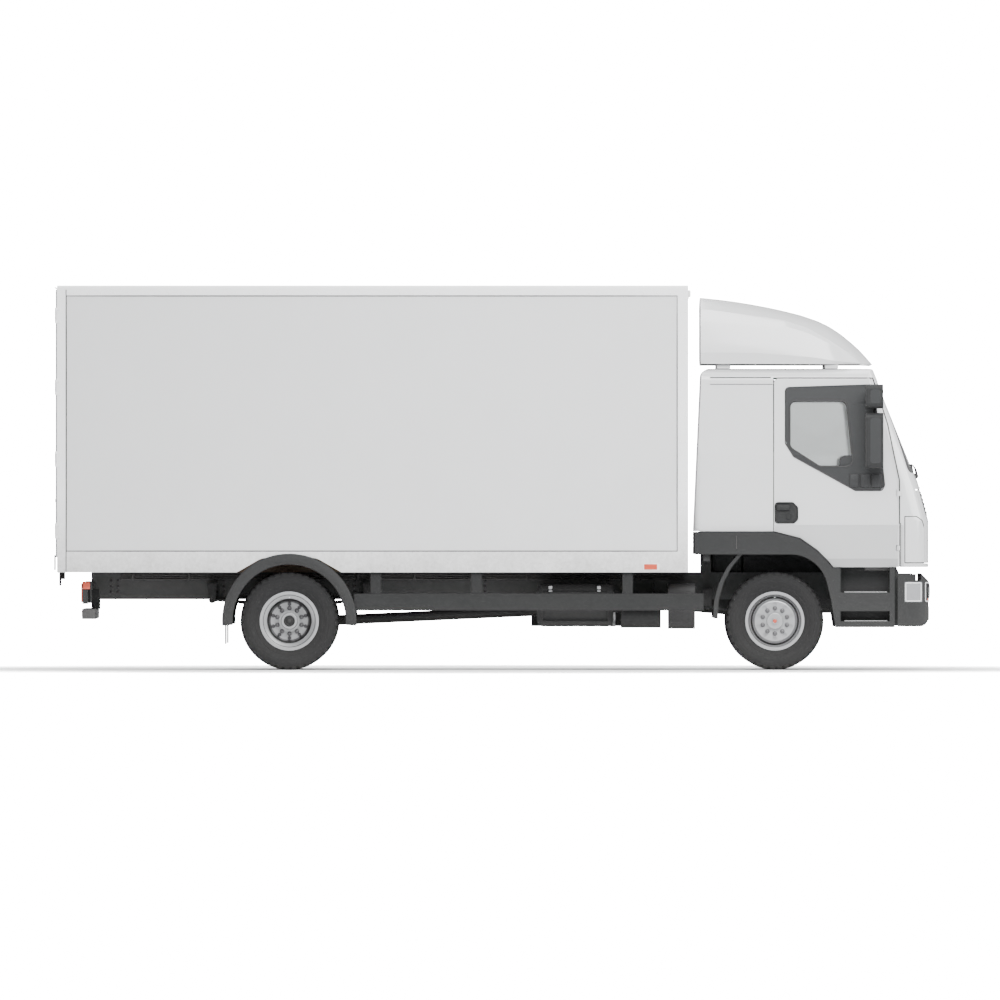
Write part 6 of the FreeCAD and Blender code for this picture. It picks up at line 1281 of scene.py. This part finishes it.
# %% Rear arch lips
LIP_OUTER, LIP_INNER = 0.596, 0.500
lip_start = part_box("rear_mudguards")[1][1] - 0.02
lip_end = side_y + 0.012
arc = [math.radians(-4 + 188 * k / 40) for k in range(41)]
lip_outline = [(rear_wheels.x + math.cos(t) * radius, rear_wheels.z + math.sin(t) * radius)
               for radius, turns in ((LIP_OUTER, arc), (LIP_INNER, arc[::-1])) for t in turns]
lip = slab("rear_arch_lip_left", lip_outline, (0, lip_start, 0), ALONG, lip_start - lip_end, 0.008)
fit_both(lip, "chassis", dark_plastic, 35)
print("lip between", round(lip_start, 3), "and", round(lip_end, 3))

# %% [markdown]
# The load doors seal on black rubber all round, and each leaf has a pressed outline. The strap
# hinges are bolted through the leaf, and rubber buffers sit at the sill.

# %% Load doors
BOLT = [(-0.001, 0), (-0.001, 0.013), (0.0015, 0.013), (0.006, 0.011), (0.007, 0)]
HINGE_LOW, HINGE_HIGH = 1.05, 3.32
leaf_x = rear_skin("rear_door_left", 0.8, 2.0)[0].x
edge = along_outline(rounded(rectangle(0.016, 1.068, 1.150, 3.302), 0.03), 0.08)
leaf_seal = [(leaf_x - 0.0015, y, z) for y, z in edge]
rubber_both("leaf_seal_left", leaf_seal, 0.008, "load_door_left", closed=True)
edge = along_outline(rounded(rectangle(0.075, 1.13, 1.09, 3.24), 0.03), 0.08)
press = tube("leaf_pressing_left", [(leaf_x + 0.001, y, z) for y, z in edge], 0.004, closed=True)
fit_both(press, "load_door_left", panel_coat)
bolt = lathe("bolt", BOLT, (0, 0, 0), (-1, 0, 0), 10)
hinge_z = [HINGE_LOW + (HINGE_HIGH - HINGE_LOW) * share for share in (0.08, 0.36, 0.64, 0.92)]
seats = [rear_skin("rear_door_left", y, z + dz)[0]
         for z in hinge_z for y in (1.10, 1.15, 1.20) for dz in (-0.022, 0.022)]
bolts = join("hinge_bolts_left", [copied(bolt, "bolt", at(*seat)) for seat in seats])
fit_both(bolts, "load_door_left", galvanised, 40)
buffer = block("sill_buffer_left", (rear_x - 0.007, 0.86, 0.885), (rear_x + 0.004, 1.16, 1.015), 0.003)
select_faces(buffer, lambda centre, normal: normal.x < -0.9)
bpy.ops.mesh.subdivide(number_cuts=1)
bpy.ops.mesh.inset(thickness=0.006, depth=-0.003, use_individual=True)
bpy.ops.object.mode_set(mode="OBJECT")
fit_both(buffer, "chassis", seal_rubber, 35)
print(len(seats), "hinge bolts on a leaf")

# %% [markdown]
# Inside, the load space has two perforated lashing rails along each wall, a kick board at the
# floor and a strip light under the roof.

# %% Load space
INSIDE_X = (-3.70, 1.68)
RAIL_HEIGHT, HOLE_STEP = 0.13, 0.131
wall_y = skin("box_sides", (0.0, 0.0, 2.0), ACROSS)[0].y


def wall_board(name, low_z, high_z, thick):
    """Long board on the left wall."""
    return block(name, (INSIDE_X[0], wall_y - thick, low_z), (INSIDE_X[1], wall_y + 0.001, high_z), 0.004)


for label, z in (("low", 1.62), ("high", 2.45)):
    rail = wall_board("lashing_rail_%s_left" % label, z, z + RAIL_HEIGHT, 0.014)
    select_faces(rail, lambda centre, normal: normal.y < -0.9)
    bpy.ops.mesh.subdivide(number_cuts=40)
    bpy.ops.object.mode_set(mode="OBJECT")
    select_faces(rail, lambda centre, normal: normal.y < -0.9 and abs(centre.z - z - 0.065) < 0.02
                 and int((centre.x + 4) / HOLE_STEP) % 2 == 0)
    bpy.ops.mesh.extrude_region_move(TRANSFORM_OT_translate={"value": (0, 0.006, 0)})
    bpy.ops.object.mode_set(mode="OBJECT")
    fit_both(rail, "chassis", galvanised, 35)
kick = wall_board("kick_board_left", 1.050, 1.33, 0.016)
fit_both(kick, "chassis", floor_ply, 35)
strip_light = block("load_light", (-1.9, -0.05, 3.352), (-0.3, 0.05, 3.376), 0.010, 3)
fit(strip_light, "chassis", white_lens, 40)
print(piece_count, "pieces after the load box")

# %% [markdown]
# The roof deflector is one moulded shell, open behind and below. Its solid has the right place
# and size but a flatter nose, so a smooth shell stands for it: a flat grid is bent to shape, one
# direction along the side view's curve and the other over the roof from flank to flank. The flank
# folds into the crown along one soft line and tucks in towards the roof below another.

# %% Shape of the roof deflector
CROWN_LINE = [(1.838, 3.306), (2.000, 3.290), (2.150, 3.271), (2.300, 3.247), (2.450, 3.219),
              (2.600, 3.186), (2.750, 3.148), (2.900, 3.096), (3.000, 3.048), (3.100, 2.982),
              (3.200, 2.900), (3.275, 2.830), (3.325, 2.774), (3.360, 2.733), (3.381, 2.708)]
FOLD_LINE = [(1.838, 3.205), (2.566, 3.105), (2.793, 3.030), (2.996, 2.915), (3.166, 2.800),
             (3.278, 2.718), (3.381, 2.707)]
TUCK_LINE = [(1.838, 2.812), (2.340, 2.806), (2.800, 2.772), (3.100, 2.730), (3.381, 2.7065)]
FOOT_Z, HALF_WIDTH = 2.706, 1.058
REAR_X, BEND_X, NOSE_X = 1.842, 2.50, 3.380
FOLD_SHARE, TUCK_SHARE = 0.54, 0.895
FOLD_WIDTH, PLAN_POWER = 0.955, 4.5
ROW_SHARES = [0.0, 0.12, 0.24, 0.36, 0.46, 0.54, 0.60, 0.65, 0.70, 0.75, 0.80, 0.85, 0.895, 0.93,
              0.965, 1.0]


def height_on(line, x):
    """Height of a measured line at x, never below the foot."""
    for (x0, z0), (x1, z1) in zip(line, line[1:]):
        if x <= x1:
            return max(FOOT_Z, z0 + (z1 - z0) * max(0.0, (x - x0) / (x1 - x0)))
    return max(FOOT_Z, line[-1][1])


def deflector_point(x, side_share):
    """Side and height of the shell at x; the share is 0 in the middle and 1 at the foot."""
    ahead = max(0.0, (x - BEND_X) / (NOSE_X - BEND_X))
    half = HALF_WIDTH * max(0.0, 1 - ahead ** PLAN_POWER) ** (1 / PLAN_POWER)
    crown, fold, low = [height_on(line, x) for line in (CROWN_LINE, FOLD_LINE, TUCK_LINE)]
    if side_share <= FOLD_SHARE:
        s = side_share / FOLD_SHARE
        return half * FOLD_WIDTH * s, crown - (crown - fold) * s ** 2.6
    if side_share <= TUCK_SHARE:
        s = (side_share - FOLD_SHARE) / (TUCK_SHARE - FOLD_SHARE)
        return half * (FOLD_WIDTH + (1 - FOLD_WIDTH) * s), fold + (low - fold) * s
    s = (side_share - TUCK_SHARE) / (1 - TUCK_SHARE)
    return half * (1.0 - 0.022 * s), low + (FOOT_Z - low) * s


print("half width at the nose's bend", round(deflector_point(BEND_X, 1.0)[0], 3))

# %% [markdown]
# Now the grid's points are put in their places, closer together towards the nose, and the sheet
# is smoothed and thickened. Four feet and a rubber lip join it to the roof.

# %% Roof deflector
HALF_ROWS = len(ROW_SHARES) - 1
fresh()
bpy.ops.mesh.primitive_grid_add(x_subdivisions=54, y_subdivisions=2 * HALF_ROWS, size=1)
shell = bpy.context.object
shell.name = "deflector_shell"
for vertex in shell.data.vertices:
    along = vertex.co.x + 0.5
    row = round((vertex.co.y + 0.5) * 2 * HALF_ROWS) - HALF_ROWS
    x = REAR_X + (NOSE_X - REAR_X) * math.sin(along * math.pi / 2)
    y, z = deflector_point(x, ROW_SHARES[abs(row)])
    vertex.co = (x, math.copysign(y, row), z)
active(shell)
bpy.ops.object.mode_set(mode="EDIT")
bpy.ops.mesh.select_all(action="SELECT")
bpy.ops.mesh.remove_doubles(threshold=0.0004)
bpy.ops.mesh.normals_make_consistent(inside=False)
bpy.ops.object.mode_set(mode="OBJECT")
top_face = max(shell.data.polygons, key=lambda face: face.center.z)
if top_face.normal.z < 0:
    shell.data.flip_normals()
modify(shell, "SMOOTH", factor=0.4, iterations=2)
modify(shell, "SOLIDIFY", thickness=0.012, offset=-1.0)
fit(shell, "cab", cab_paint, 14)
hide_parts("roof_deflector")
feet = [block("foot", (x, y - 0.045, 2.6675), (x + 0.12, y + 0.045, 2.722), 0.008)
        for x in (1.992, 2.948) for y in (-0.955, 0.955)]
fit(join("deflector_feet", feet), "cab", cab_paint, 35)
foot_line = [(x, deflector_point(x, 1.0)[0] - 0.007, FOOT_Z + 0.002)
             for x in (REAR_X + 0.01 + (3.30 - REAR_X) * k / 30 for k in range(31))]
rubber_both("deflector_seal_left", foot_line, 0.005, "cab")
print("the deflector has", len(shell.data.polygons), "faces")

# %% [markdown]
# Underneath: the frame rails are bolted at each cross member, air pipes and a cable run along
# them in clips, the tank is held by straps, and the battery box has a lid with catches.

# %% Frame bolts and air lines
RAIL_Y, FRAME_SHARES = 0.43, (0.02, 0.15, 0.31, 0.47, 0.62, 0.80)
frame_low, frame_high = [Vector(corner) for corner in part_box("frame")]
bolt.data.transform(Matrix.Rotation(math.radians(-90), 4, "Z"))
spots = [skin("frame", (frame_low.x + (frame_high.x - frame_low.x) * share + dx, 0.56, z), (0, -1, 0))[0]
         for share in FRAME_SHARES for dx in (0.03, 0.09) for z in (0.69, 0.74, 0.79)]
bolts = [copied(bolt, "bolt", at(*seat)) for seat in spots if abs(seat.y - RAIL_Y) < 0.002]
fit_both(join("rail_bolts_left", bolts), "chassis", cast_black, 40)
bpy.data.objects.remove(bolt)
lines = []
for k, (z, radius) in enumerate(((0.838, 0.006), (0.822, 0.006), (0.804, 0.008))):
    points = [(x, 0.4315 + radius + 0.002 * math.sin(x * 3 + k), z - 0.004 * math.cos(x * 5 + k))
              for x in (-3.3 + 0.25 * i for i in range(21))]
    lines.append(tube("line", points, radius))
for x in (-3.2 + 0.5 * i for i in range(10)):
    lines.append(block("clip", (x, 0.429, 0.792), (x + 0.02, 0.450, 0.850), 0.003))
fit_both(join("air_lines_left", lines), "chassis", seal_rubber, 40)
print(len(bolts), "bolts on a rail")

# %% [markdown]
# A tank strap is a ring of points along the tank's section, extruded to the strap's width and
# then thickened. The battery box's lid is a plate whose face is inset and pushed in.


# %% Tank and battery box
def strap(name, outline, x0, x1, thick):
    """Band round a tank: a ring along its section, extruded to its width and thickened."""
    piece = ring_of_points(name, [(x0, y, z) for y, z in outline])
    bpy.ops.mesh.select_mode(type="EDGE")
    bpy.ops.mesh.select_all(action="SELECT")
    bpy.ops.mesh.extrude_edges_move(TRANSFORM_OT_translate={"value": (x1 - x0, 0, 0)})
    bpy.ops.mesh.select_all(action="SELECT")
    bpy.ops.mesh.normals_make_consistent(inside=False)
    bpy.ops.object.mode_set(mode="OBJECT")
    modify(piece, "SOLIDIFY", thickness=thick, offset=0.0)
    print(name, "has", len(piece.data.polygons), "faces")
    return piece


TANK = rounded(rectangle(0.499, 0.379, 1.021, 0.811), 0.07, 8)
TANK_CAP = [(-0.004, 0), (-0.004, 0.048), (0.012, 0.048), (0.020, 0.044), (0.024, 0.030), (0.020, 0.026),
            (0.022, 0)]
straps = [strap("strap", TANK, x, x + 0.05, 0.006) for x in (0.50, 1.05)]
fit(join("tank_straps", straps), "chassis", galvanised, 35)
cap = lathe("tank_cap", TANK_CAP, top_skin("fuel_tank", 1.18, 0.92, 2.0), (0, 0, 1), 40)
fit(cap, "chassis", dark_plastic, 35)
face_y = side_skin("battery_box", -1, 0.70, 0.58).y
lid = slab("battery_lid", rounded(rectangle(0.425, 0.41, 1.049, 0.73), 0.03), (0, face_y + 0.002, 0),
           ALONG, 0.014, 0.003)
press_in(lid, lambda centre, normal: normal.y < -0.9, (0.03, 0), (0.008, -0.006))
fit(lid, "chassis", dark_plastic, 35)
catches = [block("catch", (x, face_y - 0.024, 0.690), (x + 0.035, face_y + 0.002, 0.745), 0.006)
           for x in (0.50, 0.93)]
fit(join("battery_catches", catches), "chassis", galvanised, 40)
print("battery box's face at y", round(face_y, 3))

# %% [markdown]
# Brake chambers push the rear brakes: two pressed cups clamped by a ring, behind the axle. Step
# treads of chequer plate lie in the cab's two steps.

# %% Brakes and treads
CHAMBER = [(0, 0), (0, 0.052), (0.012, 0.068), (0.052, 0.072), (0.056, 0.080), (0.070, 0.080),
           (0.074, 0.072), (0.128, 0.066), (0.146, 0.045), (0.148, 0)]
chamber = lathe("chamber", CHAMBER, (-1.872, 0.285, 0.455), (-1, 0, 0), 40)
bracket = block("bracket", (-1.885, 0.245, 0.425), (-1.840, 0.325, 0.485), 0.004)
chamber = join("brake_chamber_left", [chamber, bracket])
fit_both(chamber, "chassis", cast_black, 35)
for label, above_z in (("upper", 0.86), ("lower", 0.50)):
    z = top_skin("wheel_arches", 3.30, 1.08, above_z).z
    tread = block("%s_tread_left" % label, (3.12, 0.985, z - 0.001), (3.50, 1.110, z + 0.008), 0.003)
    fit_both(tread, "chassis", tread_plate, 35)
print(piece_count, "pieces with the treads")

# %% [markdown]
# Behind the engine stands the air filter: a ribbed plastic box between the rails, under the cab
# floor.

# %% Air filter box
filter_box = block("filter", (1.940, -0.34, 0.835), (2.230, 0.34, 1.185), 0.02, 3)
press_in(filter_box, lambda centre, normal: abs(normal.y) > 0.9, (0.03, 0.012))
ribs = [block("rib", (1.933, -0.31 + 0.12 * k, 0.865), (2.237, -0.295 + 0.12 * k, 1.17), 0.004)
        for k in range(6)]
fit(join("air_filter_box", [filter_box] + ribs), "chassis", dark_plastic, 35)
print(piece_count, "pieces after the chassis")

# %% [markdown]
# The cab's inside shows through its glass and when a door is open. Doors get moulded cards with
# an armrest and a pocket; the dashboard gets a hooded cluster with two dials, vents and a dark
# screen; a lever stands on the floor.

# %% Door cards
CARD = rounded([(2.57, 1.05), (3.16, 1.05), (3.16, 1.66), (2.90, 1.70), (2.60, 1.86), (2.57, 1.86)], 0.05)
SPEAKER = [(0, 0), (0, 0.075), (0.010, 0.075), (0.013, 0.068), (0.009, 0.060), (0.012, 0)]
card_y = skin("door_left", (2.95, 0.2, 1.50), ACROSS)[0].y
card = [slab("card", CARD, (0, card_y + 0.001, 0), ALONG, 0.014, 0.004),
        block("rest", (2.64, card_y - 0.062, 1.395), (3.05, card_y - 0.008, 1.445), 0.018, 3),
        block("pocket", (2.66, card_y - 0.050, 1.085), (3.08, card_y - 0.008, 1.215), 0.014, 3),
        lathe("speaker", SPEAKER, (2.98, card_y - 0.012, 1.30), (0, -1, 0), 36)]
fit_both(join("door_card_left", card), "cab_door_left", trim_plastic, 35)
print("door cards at y", round(card_y, 3))

# %% [markdown]
# The dashboard's pieces are seated on its skin, and the lever's boot on the floor.

# %% Dashboard and gear lever
DIAL = [(0, 0), (0, 0.046), (0.004, 0.046), (0.007, 0.042), (0.003, 0.038), (0.003, 0)]
BOOT = [(-0.002, 0), (-0.002, 0.062), (0.012, 0.058), (0.030, 0.040), (0.050, 0.030), (0.085, 0.018),
        (0.09, 0)]
KNOB = [(0, 0), (0.002, 0.014), (0.018, 0.024), (0.045, 0.026), (0.062, 0.018), (0.066, 0)]
dash_x = skin("dashboard", (2.9, 0.60, 1.66), ALONG)[0].x
trim = [block("hood", (dash_x - 0.012, 0.43, 1.685), (dash_x + 0.10, 0.77, 1.730), 0.016, 3),
        block("cluster", (dash_x - 0.006, 0.45, 1.565), (dash_x + 0.03, 0.75, 1.695), 0.010, 3)]
vents = [block("vent", (dash_x - 0.004, y - 0.055, 1.62), (dash_x + 0.03, y + 0.055, 1.68), 0.008, 3)
         for y in (-0.85, -0.15, 0.22)]
trim.append(block("screen", (dash_x - 0.006, -0.08, 1.50), (dash_x + 0.03, 0.16, 1.61), 0.008, 3))
fit(join("dash_trim", trim + vents), "cab", chassis_black, 35)
for label, y in (("left", 0.675), ("right", 0.525)):
    dial = lathe("dial_" + label, DIAL, (dash_x - 0.005, y, 1.632), (-1, 0, 0), 40)
    fit(dial, "cab", grey_plastic, 30)
LEVER_X, LEVER_Y = 2.95, 0.25
deck_z = top_skin("cab_floor", LEVER_X, LEVER_Y, 2.4).z
boot = lathe("boot", BOOT, (LEVER_X, LEVER_Y, deck_z), (0, 0, 1), 32)
stick = tube("stick", [(x, LEVER_Y, deck_z + z) for x, z in ((2.95, 0.06), (2.955, 0.20), (2.935, 0.33))],
             0.008, resolution=4)
knob = lathe("knob", KNOB, (2.936, LEVER_Y, deck_z + 0.315), (0, 0, 1), 28)
fit(join("gear_lever", [boot, stick, knob]), "cab", seal_rubber, 40)
print(piece_count, "pieces with the cab's trim")

# %% [markdown]
# The seats are sprung: a moulded plinth, a cushion and a leaning back, both in woven cloth. The
# pads start a little small and are inflated by a short cloth simulation, with the movement of
# each point capped, so that they swell between their edges as foam under cloth does.

# %% Seats
PRESSURE = 4.0
CLOTH_FRAMES = 20
SWELL_CAP = 0.022
SEAT_PITCH = 1.2


def swell(piece):
    """Remesh, inflate with a short cloth run, cap the movement and smooth."""
    modify(piece, "REMESH", mode="VOXEL", voxel_size=0.012)
    start = [vertex.co.copy() for vertex in piece.data.vertices]
    active(piece)
    cloth = piece.modifiers.new("Cloth", "CLOTH")
    cloth.settings.use_pressure = True
    cloth.settings.uniform_pressure_force = PRESSURE
    cloth.settings.effector_weights.gravity = 0
    cloth.point_cache.frame_end = CLOTH_FRAMES
    for step_number in range(1, CLOTH_FRAMES + 1):
        bpy.context.scene.frame_set(step_number)
    bpy.ops.object.modifier_apply(modifier=cloth.name)
    for vertex, before in zip(piece.data.vertices, start):
        move = vertex.co - before
        if move.length > SWELL_CAP:
            vertex.co = before + move.normalized() * SWELL_CAP
    bpy.context.scene.frame_set(1)
    modify(piece, "SMOOTH", factor=0.5, iterations=4)
    active(piece)
    bpy.ops.object.shade_smooth()


def lean(piece, low_z, high_z, amount):
    """Lean a piece back, more the higher a point is."""
    for vertex in piece.data.vertices:
        share = (vertex.co.z - low_z) / (high_z - low_z)
        vertex.co.x -= amount * share


cushion = block("seat_cushion_left", (2.375, 0.375, 1.492), (2.775, 0.825, 1.572), 0.03, 3)
press_in(cushion, lambda centre, normal: normal.z > 0.9, (0.07, -0.012))
back = block("seat_back_left", (2.345, 0.385, 1.560), (2.415, 0.815, 2.015), 0.028, 3)
press_in(back, lambda centre, normal: normal.x > 0.9, (0.075, -0.012))
lean(back, 1.56, 2.22, 0.085)
rest_pad = block("head_rest_left", (2.300, 0.475, 2.055), (2.365, 0.725, 2.195), 0.028, 3)
lean(rest_pad, 2.05, 2.22, 0.018)
for pad in (cushion, back, rest_pad):
    swell(pad)
    twin = copied(pad, pad.name.replace("left", "right"), at(y=-SEAT_PITCH))
    for piece in (pad, twin):
        fit(piece, "cab", seat_cloth)
plinth = [block("plinth", (2.36, 0.40, 1.277), (2.74, 0.80, 1.478), 0.02, 3),
          block("shell", (2.30, 0.37, 1.455), (2.78, 0.83, 1.500), 0.018, 3)]
plinth += [tube("post", [(2.325, y, 2.00), (2.318, y, 2.07)], 0.007, resolution=4) for y in (0.55, 0.65)]
plinth = join("seat_plinth_left", plinth)
for piece in (plinth, copied(plinth, "seat_plinth_right", at(y=-SEAT_PITCH))):
    fit(piece, "cab", dark_plastic, 40)
    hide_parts("seats")
print(piece_count, "pieces in all")

# %% Finish
print(piece_count, "pieces fitted")
